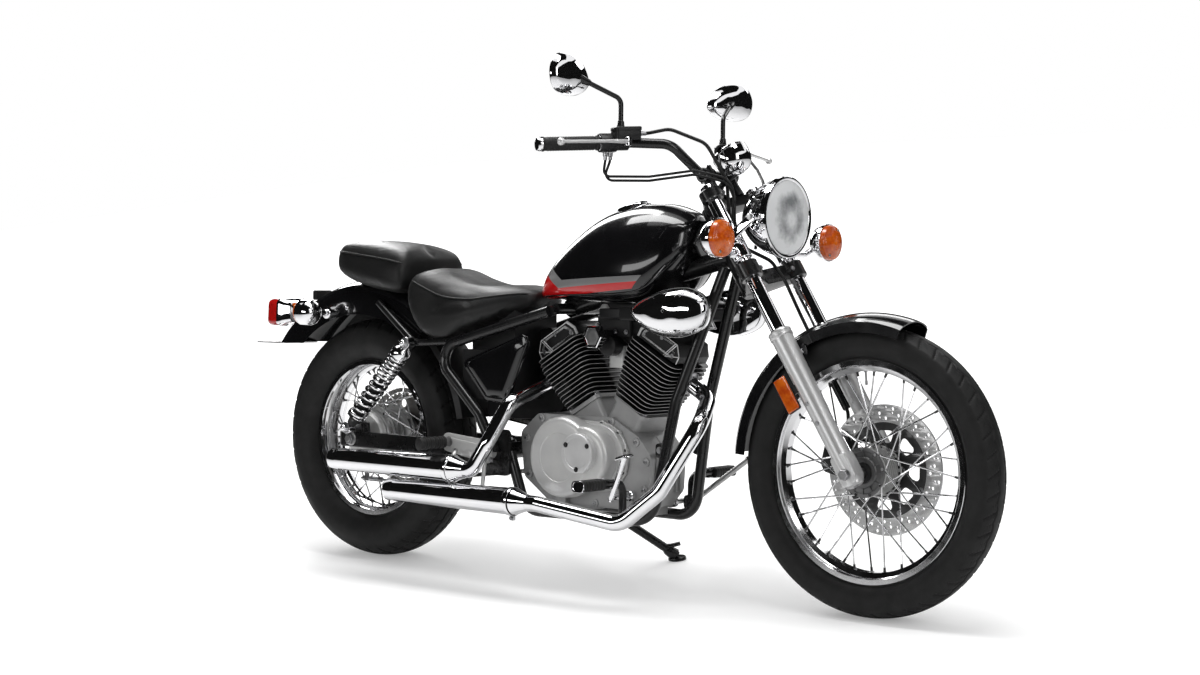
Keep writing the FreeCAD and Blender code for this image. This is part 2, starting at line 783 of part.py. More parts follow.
def swingarm():
    """Two box arms on the pivot tube, a cross tube before the tyre and the lower shock lugs."""
    low_y = swing_arm_half_width - swing_arm_thickness / 2
    arm_high = swing_arm_height / 2
    rear = rear_axle_place.x - swing_arm_overhang
    arm = side_plate([(rear, rear_axle_place.z - arm_high), (swing_pivot_x, swing_pivot_z - arm_high),
                      (swing_pivot_x, swing_pivot_z + arm_high), (rear, rear_axle_place.z + arm_high)],
                     rim_wall, low_y, swing_arm_thickness)
    lug = side_plate([(shock_low_x - shock_eye_radius, rear_axle_place.z),
                      (shock_low_x + shock_eye_radius, rear_axle_place.z),
                      (shock_low_x + shock_eye_radius, shock_low_z + shock_eye_radius),
                      (shock_low_x - shock_eye_radius, shock_low_z + shock_eye_radius)],
                     shock_stud_radius, low_y, swing_arm_thickness)
    stud = rod(Vector(shock_low_x, swing_arm_half_width, shock_low_z),
               Vector(shock_low_x, shock_y + shock_eye_width / 2, shock_low_z), shock_stud_radius)
    side = fused(arm, lug, stud)
    tube_half = swing_arm_half_width + swing_arm_thickness / 2
    pivot = rod(swing_pivot_place - lateral * tube_half, swing_pivot_place + lateral * tube_half,
                swing_pivot_radius)
    cross_place = Vector(swing_cross_x, 0, (swing_pivot_z + rear_axle_place.z) / 2)
    cross = rod(cross_place - lateral * swing_arm_half_width, cross_place + lateral * swing_arm_half_width,
                swing_cross_radius)
    whole = fused(side, mirrored(side), pivot, cross)
    for place, radius in ((swing_pivot_place, pivot_bolt_radius), (rear_axle_place, rear_axle_radius)):
        whole = whole.cut(rod(place - lateral * shock_y, place + lateral * shock_y, radius + running_gap))
    return whole


def rear_axle():
    """Axle with spacers and nuts, and the swingarm's pivot bolt."""
    outer = swing_arm_half_width + swing_arm_thickness / 2
    inner = swing_arm_half_width - swing_arm_thickness / 2
    reach = lateral * (outer + axle_nut_length)
    shaft = rod(rear_axle_place - reach, rear_axle_place + reach, rear_axle_radius)
    pieces = []
    for side in (1, -1):
        near = rear_axle_place + lateral * side * (outer + seat_gap)
        pieces.append(rod(near, rear_axle_place + reach * side, axle_nut_radius * 1.2))
    left_start = rear_axle_place + lateral * (sprocket_y + sprocket_thickness / 2 + seat_gap)
    pieces.append(rod(left_start, rear_axle_place + lateral * (inner - seat_gap), rear_axle_radius + rim_wall))
    right_start = rear_axle_place - lateral * (brake_panel_y + brake_panel_thickness)
    pieces.append(rod(right_start, rear_axle_place - lateral * (inner - seat_gap), rear_axle_radius + rim_wall))
    axle = fused(shaft, *pieces)
    bolt_reach = lateral * (loop_half_width + axle_nut_length)
    bolt = rod(swing_pivot_place - bolt_reach, swing_pivot_place + bolt_reach, pivot_bolt_radius)
    return [axle, bolt]


# Chain drive

sprocket_y = 78.0
sprocket_thickness = 7.0
sprocket_radius = 112.0
sprocket_carrier_radius = 62.0
chain_gap = 0.8
chain_height = 12.0
chain_width = 12.0
front_sprocket_x = 586.0
front_sprocket_z = 300.0
front_sprocket_radius = 35.0
output_shaft_radius = 12.0


def rear_sprocket():
    bore = rear_axle_radius + running_gap
    low = sprocket_y - sprocket_thickness / 2
    high = sprocket_y + sprocket_thickness / 2
    return turned([(bore, rear_hub_half_length), (sprocket_carrier_radius, rear_hub_half_length),
                   (sprocket_carrier_radius, low), (sprocket_radius, low), (sprocket_radius, high),
                   (bore, high)], rear_axle_place)


def belt_plate(rear_radius, front_radius, start_y, thickness):
    """Plate inside a belt that wraps both sprockets."""
    front = Vector(front_sprocket_x, start_y, front_sprocket_z)
    rear = Vector(rear_axle_place.x, start_y, rear_axle_place.z)
    line = front - rear
    slope = math.atan2(line.z, line.x)
    spread = math.acos((rear_radius - front_radius) / line.Length)

    def touch(centre, radius, angle):
        return centre + Vector(radius * math.cos(angle), 0, radius * math.sin(angle))

    rear_up, rear_down = (touch(rear, rear_radius, slope + side * spread) for side in (1, -1))
    front_up, front_down = (touch(front, front_radius, slope + side * spread) for side in (1, -1))
    edges = [Part.LineSegment(rear_up, front_up),
             Part.Arc(front_up, touch(front, front_radius, slope), front_down),
             Part.LineSegment(front_down, rear_down),
             Part.Arc(rear_down, touch(rear, rear_radius, slope + math.pi), rear_up)]
    return Part.Face(Part.Wire([edge.toShape() for edge in edges])).extrude(Vector(0, thickness, 0))


def drive_chain():
    start_y = sprocket_y - chain_width / 2
    inner = belt_plate(sprocket_radius + chain_gap, front_sprocket_radius + seat_gap,
                       start_y - cut_overrun, chain_width + 2 * cut_overrun)
    outer = belt_plate(sprocket_radius + chain_gap + chain_height,
                       front_sprocket_radius + seat_gap + chain_height, start_y, chain_width)
    centre = Vector(front_sprocket_x, crankcase_half_width, front_sprocket_z)
    shaft = rod(centre, Vector(centre.x, sprocket_y + sprocket_thickness, centre.z), output_shaft_radius)
    wheel = rod(Vector(centre.x, sprocket_y - sprocket_thickness / 2, centre.z),
                Vector(centre.x, sprocket_y + sprocket_thickness / 2, centre.z), front_sprocket_radius)
    return [outer.cut(inner), fused(shaft, wheel)]


chain_guard_front_x = 455.0
chain_guard_rear_x = 60.0
chain_guard_thickness = 3.0
chain_guard_rise = 9.0
chain_guard_depth = 26.0
chain_guard_stay_x = 200.0
chain_guard_stay_radius = 5.0


def chain_guard():
    """Strip over the chain's upper run, with a side wall and two stays on the left arm."""
    rear_up = rear_tyre_radius + sprocket_radius + chain_height + chain_guard_rise
    front_up = front_sprocket_z + front_sprocket_radius + chain_height + chain_guard_rise
    slope = (rear_up - front_up) / front_sprocket_x

    def height(x):
        return rear_up - slope * x

    inner_y = sprocket_y - chain_width / 2 - chain_gap
    outer_y = sprocket_y + chain_width / 2 + 2 * chain_gap
    ends = (chain_guard_rear_x, chain_guard_front_x)
    top = side_plate([(ends[0], height(ends[0])), (ends[1], height(ends[1])),
                      (ends[1], height(ends[1]) + chain_guard_thickness),
                      (ends[0], height(ends[0]) + chain_guard_thickness)],
                     chain_guard_thickness / 3, inner_y, outer_y - inner_y + chain_guard_thickness)
    wall = side_plate([(ends[0], height(ends[0]) - chain_guard_depth), (ends[1], height(ends[1]) - chain_guard_depth),
                       (ends[1], height(ends[1]) + chain_guard_thickness),
                       (ends[0], height(ends[0]) + chain_guard_thickness)],
                      chain_guard_thickness / 3, outer_y, chain_guard_thickness)
    stays = []
    for x in (chain_guard_stay_x, chain_guard_front_x - chain_guard_depth):
        stay_y = outer_y + chain_guard_thickness
        arm_top = rear_axle_place.z + (swing_pivot_z - rear_axle_place.z) * x / swing_pivot_x
        arm_top += swing_arm_height / 2
        stays.append(block(Vector(x - chain_guard_stay_radius, stay_y - chain_guard_thickness, arm_top),
                           Vector(x + chain_guard_stay_radius, stay_y + chain_guard_stay_radius,
                                  height(x) - chain_guard_thickness)))
    return fused(top, wall, *stays)


# Rear brake

brake_panel_y = 50.0
brake_panel_thickness = 14.0
brake_panel_radius = 70.0
brake_rod_radius = 3.0
brake_arm_length = 62.0
brake_arm_radius = 6.0


def rear_brake_panel():
    """Backing plate beside the hub's right end, with its lever and the rod to the pedal."""
    bore = rear_axle_radius + running_gap
    near = -brake_panel_y
    far = -(brake_panel_y + brake_panel_thickness)
    panel = turned([(bore, near), (brake_panel_radius, near), (brake_panel_radius, near - rim_wall),
                    (brake_panel_radius * 0.86, far), (bore, far)], rear_axle_place)
    cam = wheel_point(rear_axle_place, brake_panel_radius * 0.66, -60, 0)
    cam_near = Vector(cam.x, far + rim_wall, cam.z)
    cam_far = Vector(cam.x, far - 2 * brake_arm_radius, cam.z)
    arm_end = Vector(cam.x, cam_far.y, cam.z - brake_arm_length)
    pedal_end = Vector(swing_cross_x + swing_cross_radius, arm_end.y, arm_end.z)
    return fused(panel, rod(cam_near, cam_far - lateral * brake_arm_radius, brake_arm_radius),
                 rod(Vector(cam.x, cam_far.y, cam.z), arm_end, brake_arm_radius * 0.8),
                 rod(arm_end, pedal_end, brake_rod_radius))


# Engine

crankcase_half_width = 66.0
crankcase_corner_radius = 22.0
crankcase_rear_reach = 260.0
crankcase_front_reach = 140.0
crankcase_depth = 118.0
crankcase_rise = 92.0
crankcase_foot_length = 28.0
crankcase_foot_shares = (-0.45, 0.5)
cover_thickness = 62.0
cover_radius = 96.0
cover_rear_reach = 114.0
cover_dome_inset = 3.0
cover_dome_drop = 3.0
filter_cover_radius = 46.0
filter_cover_x = 786.0
filter_cover_z = 316.0
filter_cover_thickness = 16.0
generator_cover_radius = 88.0
generator_cover_thickness = 50.0
sprocket_cover_radius = 54.0
sprocket_cover_wall = 5.0


def crankcase():
    def x(share):
        reach = crankcase_front_reach if share > 0 else crankcase_rear_reach
        return crank_x + reach * share

    top = crank_z + crankcase_rise
    low = crank_z - crankcase_depth
    outline = [(x(-0.99), crank_z + crankcase_rise * 0.5), (x(-0.78), top), (x(0.18), top),
               (x(0.74), crank_z + crankcase_rise * 0.55), (x(1), crank_z + crankcase_rise * 0.1),
               (x(0.96), low + crankcase_depth * 0.35), (x(0.7), low), (x(-0.62), low),
               (x(-0.95), low + crankcase_depth * 0.5)]
    case = side_plate(outline, crankcase_corner_radius, -crankcase_half_width, 2 * crankcase_half_width)
    decks = []
    for tilt in (cylinder_angle, -cylinder_angle):
        deck = round_box(Vector(-deck_half_length, -deck_half_width, crankcase_rise / 2),
                         Vector(deck_half_length, deck_half_width, cylinder_base - seat_gap / 3),
                         crankcase_corner_radius / 2)
        decks.append(on_cylinder(deck, tilt))
    for place in crankcase_foot_shares:
        near_x = x(place) + crankcase_foot_length / 2
        foot_half_width = cradle_side(near_x) - frame_tube_radius - seat_gap
        decks.append(block(Vector(x(place) - crankcase_foot_length / 2, -foot_half_width, cradle_low_z),
                           Vector(x(place) + crankcase_foot_length / 2, foot_half_width, low + crankcase_foot_length)))
    return fused(case, *decks)


def stadium(rear_x, front_x, z, rear_radius, front_radius):
    """Corners round two circles side by side, to be rounded into one outline."""
    return [(rear_x - rear_radius, z - rear_radius), (front_x + front_radius, z - front_radius),
            (front_x + front_radius, z + front_radius), (rear_x - rear_radius, z + rear_radius)]


def engine_covers():
    """Clutch cover with its round filter cover, generator cover and sprocket cover."""
    side = crankcase_half_width
    rear = crank_x - cover_rear_reach
    outline = stadium(rear, crank_x, crank_z, cover_radius * 0.94, cover_radius * 0.8)
    step = cover_thickness / 3
    base = side_plate(outline, cover_radius * 0.8, -side - step, step)
    dome_place = Vector(rear + cover_radius * 0.3, -side - step, crank_z - cover_dome_drop)
    dome = taper(dome_place, dome_place - lateral * step * 2, cover_radius, cover_radius - cover_dome_inset)
    front_place = Vector(filter_cover_x, -side, crank_z)
    front_dome = taper(front_place, front_place - lateral * cover_thickness,
                       cover_radius * 0.78, cover_radius * 0.78 - cover_dome_inset)
    disc = rod(Vector(filter_cover_x, -side - step, filter_cover_z),
               Vector(filter_cover_x, -side - cover_thickness - filter_cover_thickness, filter_cover_z),
               filter_cover_radius)
    clutch = fused(base, dome, front_dome, disc)
    generator = fused(
        rod(Vector(crank_x, side, crank_z), Vector(crank_x, side + generator_cover_thickness / 2, crank_z),
            generator_cover_radius),
        taper(Vector(crank_x, side, crank_z), Vector(crank_x, side + generator_cover_thickness, crank_z),
              generator_cover_radius * 0.94, generator_cover_radius * 0.8))
    return [clutch, generator, sprocket_cover()]


def sprocket_cover():
    """Shallow cup over the front sprocket, open to the rear where the chain leaves."""
    centre = Vector(front_sprocket_x, crankcase_half_width, front_sprocket_z)
    outer_y = sprocket_y + chain_width / 2 + 2 * chain_gap
    inside = Vector(centre.x, outer_y, centre.z)
    outside = Vector(centre.x, outer_y + sprocket_cover_wall, centre.z)
    shell = rod(centre, outside, sprocket_cover_radius)
    hollow = rod(centre - lateral * cut_overrun, inside, sprocket_cover_radius - sprocket_cover_wall)
    mouth = block(Vector(centre.x - sprocket_cover_radius * 2, centre.y - cut_overrun,
                         centre.z - sprocket_cover_radius), Vector(centre.x, outer_y, centre.z + sprocket_cover_radius))
    tube = bent_rod(cradle_route(), frame_tube_radius + seat_gap, frame_bend_radius)
    return shell.cut(hollow).cut(mouth).cut(tube)


# Cylinders

cylinder_base = 140.0
deck_half_length = 46.0
deck_half_width = 56.0
fin_count = 14
fin_thickness = 2.4
fin_low_half_length = 50.0
fin_high_half_length = 74.0
fin_half_width = 74.0
fin_corner_radius = 22.0
barrel_half_length = 40.0
barrel_half_width = 46.0
head_top = 288.0
head_cover_height = 46.0
head_cover_half_length = 62.0
head_cover_half_width = 56.0
port_radius = 22.0
port_height = 252.0


def cylinder(tilt):
    """Finned barrel and head with its cover, in its own frame and then tilted from the crank."""
    core = round_box(Vector(-barrel_half_length, -barrel_half_width, cylinder_base),
                     Vector(barrel_half_length, barrel_half_width, head_top + fin_thickness), fin_corner_radius)
    pitch = (head_top - cylinder_base) / fin_count
    fins = []
    for index in range(fin_count):
        share = min(1.0, 1.35 * index / (fin_count - 1))
        half_length = fin_low_half_length + (fin_high_half_length - fin_low_half_length) * share
        low = cylinder_base + pitch * (index + 0.5)
        fins.append(round_box(Vector(-half_length, -fin_half_width, low),
                              Vector(half_length, fin_half_width, low + fin_thickness), fin_corner_radius))
    top = head_top + head_cover_height
    shoulder = head_top + head_cover_height * 0.45
    length = head_cover_half_length
    cover = side_plate([(-length * 1.08, head_top), (length * 1.05, head_top), (length * 1.05, shoulder),
                        (length * 0.8, top), (-length * 0.75, top), (-length * 1.08, shoulder)],
                       rim_wall, -head_cover_half_width, 2 * head_cover_half_width)
    out = 1 if tilt > 0 else -1
    exhaust = rod(Vector(0, 0, port_height), Vector(out * (fin_high_half_length + rim_wall), 0, port_height),
                  port_radius)
    inlet = rod(Vector(0, 0, port_height), Vector(-out * fin_high_half_length, 0, port_height),
                port_radius)
    return on_cylinder(fused(core, cover, exhaust, inlet, *fins), tilt)


def port_point(tilt, reach):
    out = 1 if tilt > 0 else -1
    turn = math.radians(tilt)
    along = Vector(math.sin(turn), 0, math.cos(turn))
    across = Vector(math.cos(turn), 0, -math.sin(turn)) * out
    return crank_place + along * port_height + across * reach


# Intake

carburettor_z = 562.0
carburettor_half_width = 58.0
carburettor_radius = 24.0
carburettor_bowl_depth = 52.0
manifold_radius = 17.0
hex_cap_radius = 23.0
hex_cap_y = 100.0
hex_cap_length = 22.0
hex_cap_x = 792.0
hex_cap_z = 583.0
air_duct_half_width = 72.0
air_duct_rear_x = 850.0
air_duct_front_x = 1052.0
air_duct_low_z = 622.0
air_duct_high_z = 652.0
pod_length = 214.0
pod_centre_x = 1028.0
pod_centre_z = 642.0
pod_half_height = 56.0
pod_inner_y = 92.0
pod_outer_y = 152.0


def hex_prism(centre, radius, length):
    corners = [centre + Vector(radius * math.cos(math.radians(60 * index)), 0,
                               radius * math.sin(math.radians(60 * index))) for index in range(6)]
    return Part.Face(Part.makePolygon(corners + corners[:1])).extrude(Vector(0, length, 0))


def intake():
    """Carburettor between the cylinders, its air duct under the tank and its hexagon cap."""
    middle = Vector(crank_x, 0, carburettor_z)
    body = rod(middle - lateral * carburettor_half_width, middle + lateral * carburettor_half_width,
               carburettor_radius)
    bowl = round_box(Vector(crank_x - carburettor_radius, -carburettor_radius, carburettor_z - carburettor_bowl_depth),
                     Vector(crank_x + carburettor_radius, carburettor_radius, carburettor_z), rim_wall * 2)
    riser = rod(middle, Vector(crank_x, 0, air_duct_high_z - rim_wall), carburettor_radius)
    duct = block(Vector(crank_x - carburettor_radius, -carburettor_half_width, air_duct_low_z + rim_wall),
                 Vector(air_duct_rear_x + rim_wall, carburettor_half_width, air_duct_high_z - rim_wall))
    front_duct = block(Vector(air_duct_rear_x, -air_duct_half_width, air_duct_low_z),
                       Vector(air_duct_front_x, air_duct_half_width, air_duct_high_z))
    cap = hex_prism(Vector(hex_cap_x, -hex_cap_y, hex_cap_z), hex_cap_radius, hex_cap_length)
    neck = rod(Vector(hex_cap_x, -hex_cap_y + hex_cap_length / 2, hex_cap_z),
               Vector(hex_cap_x, 0, hex_cap_z), hex_cap_radius * 0.7)
    branches = []
    for tilt in (cylinder_angle, -cylinder_angle):
        start = port_point(tilt, -fin_high_half_length - seat_gap / 3)
        across = port_point(tilt, 0) - start
        branches.append(rod(start, start - across * ((start.x - crank_x) / across.x), manifold_radius))
    return fused(body, bowl, riser, duct, front_duct, cap, neck, *branches)


pod_outline_shares = ((-0.5, -0.12), (-0.40, 0.42), (-0.08, 0.88), (0.25, 0.98), (0.45, 0.62),
                      (0.5, 0.05), (0.42, -0.60), (0.12, -0.98), (-0.25, -0.78))
pod_layer_shares = ((0.0, 0.96), (0.3, 1.0), (0.62, 0.9), (0.86, 0.66), (1.0, 0.3))


def pod_wire(side, y_share, size_share):
    """One layer of a teardrop cover, blunt at the front."""
    y = side * (pod_inner_y + (pod_outer_y - pod_inner_y) * y_share)
    points = [Vector(pod_centre_x + pod_length * size_share * along, y,
                     pod_centre_z + pod_half_height * size_share * up) for along, up in pod_outline_shares]
    curve = Part.BSplineCurve()
    curve.interpolate(Points=points, PeriodicFlag=True)
    return Part.Wire(curve.toShape())


def air_cleaner_covers():
    """Teardrop cover of each side, on the stub that joins it to the duct."""
    pods = []
    for side in (1, -1):
        shell = Part.makeLoft([pod_wire(side, *shares) for shares in pod_layer_shares], True, False)
        stub = rod(Vector(pod_centre_x - pod_half_height / 2, side * air_duct_half_width, pod_centre_z),
                   Vector(pod_centre_x - pod_half_height / 2, side * (pod_inner_y + rim_wall), pod_centre_z),
                   (air_duct_high_z - air_duct_low_z) / 2 - rim_wall)
        pods.append(fused(shell, stub))
    return pods


# Exhaust

header_radius = 18.5
header_bend_radius = 55.0
muffler_y = 190.0
muffler_front_radius = 32.0
muffler_rear_radius = 27.0
muffler_length = 418.0
muffler_cone_length = 42.0
muffler_wall = 2.0
muffler_mouth_depth = 120.0
upper_muffler_front_x = 441.0
upper_muffler_z = 262.0
lower_muffler_front_x = 640.0
lower_muffler_z = 198.0
clamp_width = 14.0
front_bend_reach = 305.0
front_bend_z = 398.0


def muffler(front_x, z):
    front = Vector(front_x, -muffler_y, z)
    rear = front - forward * muffler_length
    shell = taper(front, rear, muffler_front_radius, muffler_rear_radius)
    mouth = rod(rear + forward * muffler_mouth_depth, rear - forward * cut_overrun, muffler_rear_radius - muffler_wall)
    cone = taper(front + forward * muffler_cone_length, front, header_radius + muffler_wall / 2, muffler_front_radius)
    clamp = rod(front, front - forward * clamp_width, muffler_front_radius + muffler_wall)
    return fused(shell, cone, clamp).cut(mouth)


def muffler_skin(front_x, z):
    """Outer surface of a muffler, a hair larger, to cut what carries it."""
    front = Vector(front_x, -muffler_y, z)
    return taper(front, front - forward * muffler_length, muffler_front_radius + seat_gap,
                 muffler_rear_radius + seat_gap)


def front_exhaust():
    """Header from the front port, round the right down tube and back along the bottom."""
    port = port_point(cylinder_angle, fin_high_half_length + rim_wall + seat_gap / 3)
    knee = port_point(cylinder_angle, fin_high_half_length * 2)
    bend_x = crank_x + front_bend_reach
    route = [port, knee, Vector(bend_x, -muffler_y * 0.52, front_bend_z),
             Vector(crank_x + front_bend_reach * 0.74, -muffler_y * 0.76, (front_bend_z + cradle_low_z) / 2.32),
             Vector(crank_x + front_bend_reach * 0.46, -muffler_y * 0.92, cradle_low_z),
             Vector(lower_muffler_front_x + muffler_cone_length * 1.6, -muffler_y, lower_muffler_z),
             Vector(lower_muffler_front_x + muffler_cone_length / 2, -muffler_y, lower_muffler_z)]
    header = bent_rod(route, header_radius, header_bend_radius)
    return fused(header, muffler(lower_muffler_front_x, lower_muffler_z))


def rear_exhaust():
    """Header from the rear port, down past the case to the upper muffler."""
    port = port_point(-cylinder_angle, fin_high_half_length + rim_wall + seat_gap / 3)
    elbow = port_point(-cylinder_angle, fin_high_half_length * 1.52)
    drop = elbow.z - upper_muffler_z
    front_x = upper_muffler_front_x + muffler_cone_length
    route = [port, elbow,
             Vector(elbow.x - header_radius / 2, -muffler_y * 0.72, elbow.z - drop * 0.22),
             Vector(front_x + header_bend_radius, -muffler_y * 0.93, upper_muffler_z + drop * 0.32),
             Vector(front_x + header_radius, -muffler_y, upper_muffler_z),
             Vector(front_x - muffler_cone_length / 2, -muffler_y, upper_muffler_z)]
    header = bent_rod(route, header_radius, header_bend_radius)
    return fused(header, muffler(upper_muffler_front_x, upper_muffler_z))


# Fuel tank

tank_rear_x = 577.0
tank_length = 463.0
tank_base_z = 664.0
tank_height = 225.0
tank_half_width = 122.0
tank_tunnel_gap = 7.0
tank_station_shares = ((0.00, 0.27, 0.03, 0.15), (0.07, 0.47, 0.02, 0.37), (0.23, 0.75, 0.01, 0.65),
                       (0.42, 0.94, 0.00, 0.88), (0.62, 1.00, 0.00, 0.99), (0.80, 0.96, 0.07, 1.00),
                       (0.92, 0.80, 0.31, 0.93), (1.00, 0.48, 0.55, 0.83))
tank_section_shares = ((0, 0), (0.62, 0.01), (0.95, 0.14), (0.98, 0.42), (0.80, 0.74), (0.42, 0.95), (0, 1))
cap_radius = 41.0
cap_share = 0.56
cap_height = 11.0
cap_sink = 12.0


def tank_stations():
    return [(tank_rear_x + tank_length * along, tank_half_width * wide, tank_base_z + tank_height * low,
             tank_base_z + tank_height * high) for along, wide, low, high in tank_station_shares]


def fuel_tank():
    """Teardrop tank with a tunnel below for the backbone."""
    body = lofted_body(tank_stations(), tank_section_shares)
    spine_front = head_point(head_tube_low + head_tube_length / 2) - upward * backbone_front_drop
    spine_rear = Vector(backbone_rear_x, 0, backbone_rear_z)
    along = (spine_front - spine_rear).normalize()
    rear = spine_rear - along * tank_length / 3
    top = (backbone_radius + seat_gap) / along.x
    tunnel_half = backbone_radius + tank_tunnel_gap
    tunnel = side_plate([(rear.x, rear.z - tank_height), (spine_front.x, spine_front.z - tank_height),
                         (spine_front.x, spine_front.z + top), (rear.x, rear.z + top)],
                        rim_wall, -tunnel_half, 2 * tunnel_half)
    return body.cut(tunnel).cut(cap_well(0))


def cap_place():
    x = tank_rear_x + tank_length * cap_share
    return Vector(x, 0, tank_base_z + tank_height - cap_sink * 0.7)


cap_tilt_angle = -14.0


def cap_well(gap):
    """Recess that takes the filler cap."""
    well = rod(Vector(0, 0, -cap_sink), Vector(0, 0, cap_sink * 2), cap_radius - gap)
    well.rotate(origin, lateral, cap_tilt_angle)
    well.translate(cap_place())
    return well


def fuel_cap():
    """Screw cap in its recess, with a raised grip."""
    cap = fused(rod(Vector(0, 0, -cap_sink + seat_gap / 3), Vector(0, 0, cap_height / 2), cap_radius - seat_gap),
                taper(Vector(0, 0, 0), Vector(0, 0, cap_height), cap_radius * 0.92, cap_radius * 0.7))
    cap.rotate(origin, lateral, cap_tilt_angle)
    cap.translate(cap_place())
    return cap


# Seats

seat_rear_x = 203.0
seat_length = 372.0
seat_low_z = 562.0
seat_height = 178.0
seat_half_width = 140.0
seat_skirt = 34.0
seat_pan_z = 645.0
seat_station_shares = ((0.00, 0.72, 0.66, 0.90), (0.05, 0.93, 0.45, 0.985), (0.17, 1.00, 0.12, 1.00),
                       (0.34, 0.98, 0.02, 0.87), (0.54, 0.92, 0.17, 0.77), (0.76, 0.78, 0.33, 0.755),
                       (0.90, 0.58, 0.44, 0.755), (1.00, 0.36, 0.53, 0.72))
seat_section_shares = ((0, 0.0), (0.72, 0.0), (0.97, 0.10), (0.98, 0.52), (0.80, 0.86), (0.40, 0.98), (0, 0.99))
pillion_rear_x = -88.0
pillion_length = 276.0
pillion_low_z = 676.0
pillion_height = 136.0
pillion_half_width = 124.0
pillion_station_shares = ((0.00, 0.56, 0.60, 0.86), (0.08, 0.78, 0.40, 0.985), (0.36, 0.93, 0.20, 1.0),
                          (0.66, 1.00, 0.10, 0.95), (0.93, 0.97, 0.04, 0.85), (1.00, 0.84, 0.14, 0.72))


def stations(rear_x, length, half_width, low_z, height, station_shares):
    return [(rear_x + length * along, half_width * wide, low_z + height * low, low_z + height * high)
            for along, wide, low, high in station_shares]


def rider_seat():
    """Dished saddle whose skirts hang outside the frame's seat tubes."""
    body = lofted_body(stations(seat_rear_x, seat_length, seat_half_width, seat_low_z, seat_height,
                                seat_station_shares), seat_section_shares)
    inner = seat_half_width - seat_skirt
    pan = block(Vector(seat_rear_x, -inner, seat_low_z - seat_height), Vector(seat_rear_x + seat_length * 2, inner,
                                                                            seat_pan_z))
    loop = bent_rod(loop_route(), frame_tube_radius + seat_gap, loop_bend_radius)
    rail = bent_rod(rail_route(), rail_radius + seat_gap, frame_bend_radius)
    body = body.cut(pan).cut(rear_fender_envelope(seat_gap))
    return body.cut(Part.makeCompound([loop, mirrored(loop), rail, mirrored(rail)]))


def passenger_seat():
    body = lofted_body(stations(pillion_rear_x, pillion_length, pillion_half_width, pillion_low_z,
                                pillion_height, pillion_station_shares), seat_section_shares)
    return body.cut(rear_fender_envelope(seat_gap))


# Bodywork under the seat

box_rear_x = 392.0
box_front_x = 532.0
box_low_z = 426.0
box_high_z = 545.0
box_half_width = 108.0
box_lug_share = 0.36
side_cover_thickness = 12.0
side_cover_crown = 8.0
side_cover_corner_radius = 14.0
side_cover_rear_x = 388.0
side_cover_low_z = 420.0
side_cover_length = 222.0
side_cover_height = 168.0
side_cover_outline_shares = ((0.02, 0.56), (0.96, 1.00), (1.00, 0.86), (0.70, 0.0), (0.40, 0.02))


def battery_box():
    body = block(Vector(box_rear_x, -box_half_width, box_low_z), Vector(box_front_x, box_half_width, box_high_z))
    top = block(Vector(box_rear_x, -box_half_width * 0.7, box_high_z - rim_wall),
                Vector(box_front_x, box_half_width * 0.7, seat_pan_z - seat_gap))
    lug_x = loop_low_x - (loop_low_x - loop_rear_x) * box_lug_share
    lug_z = loop_low_z + (loop_rear_z - loop_low_z) * box_lug_share
    lug_reach = lateral * (loop_half_width - frame_tube_radius - seat_gap)
    lug = rod(Vector(lug_x, 0, lug_z) - lug_reach, Vector(lug_x, 0, lug_z) + lug_reach, frame_tube_radius / 2)
    return fused(body, top, lug)


def side_covers():
    """Five-sided cover inside each seat loop, with a raised panel."""
    corners = [(side_cover_rear_x + side_cover_length * along, side_cover_low_z + side_cover_height * up)
               for along, up in side_cover_outline_shares]
    base = side_plate(corners, side_cover_corner_radius, box_half_width, side_cover_thickness)
    middle_x = sum(x for x, z in corners) / len(corners)
    middle_z = sum(z for x, z in corners) / len(corners)
    outer_y = box_half_width + side_cover_thickness

    def ring(y, size_share):
        points = [Vector(middle_x + (x - middle_x) * size_share, y, middle_z + (z - middle_z) * size_share)
                  for x, z in corners]
        return rounded_outline(points, side_cover_corner_radius * size_share)

    raised = Part.makeLoft([ring(outer_y - rim_wall, 0.9), ring(outer_y + side_cover_crown, 0.66)], True, True)
    return both_sides(fused(base, raised))


# Tail

tail_lens_x = -402.0
tail_lens_low = 588.0
tail_lens_high = 660.0
tail_lens_half_width = 52.0
tail_lens_depth = 46.0
tail_base_depth = 36.0
rear_signal_x = -116.0
rear_signal_y = 150.0
rear_signal_z = 627.0
rear_signal_radius = 33.0
rear_signal_length = 62.0
signal_stem_radius = 8.0
reflector_x = -234.0
reflector_height = 26.0
reflector_half_width = 28.0
reflector_thickness = 16.0
plate_bracket_length = 118.0
plate_bracket_half_width = 62.0
plate_bracket_thickness = 3.0
plate_bracket_drop = 6.0
plate_hole_share = 0.62
plate_hole_spread = 100.0
plate_hole_radius = 3.5


def tail_light():
    """Red lens block on its chrome base, seated on the fender's tail."""
    corner = rim_wall * 3
    lens = round_box(Vector(tail_lens_x, -tail_lens_half_width, tail_lens_low),
                     Vector(tail_lens_x + tail_lens_depth, tail_lens_half_width, tail_lens_high), corner)
    base_x = tail_lens_x + tail_lens_depth
    base = block(Vector(base_x, -tail_lens_half_width * 0.8, tail_lens_low + rim_wall),
                 Vector(base_x + tail_base_depth * 3, tail_lens_half_width * 0.8, tail_lens_high - rim_wall * 3))
    return [lens, base.cut(rear_fender_envelope(seat_gap))]


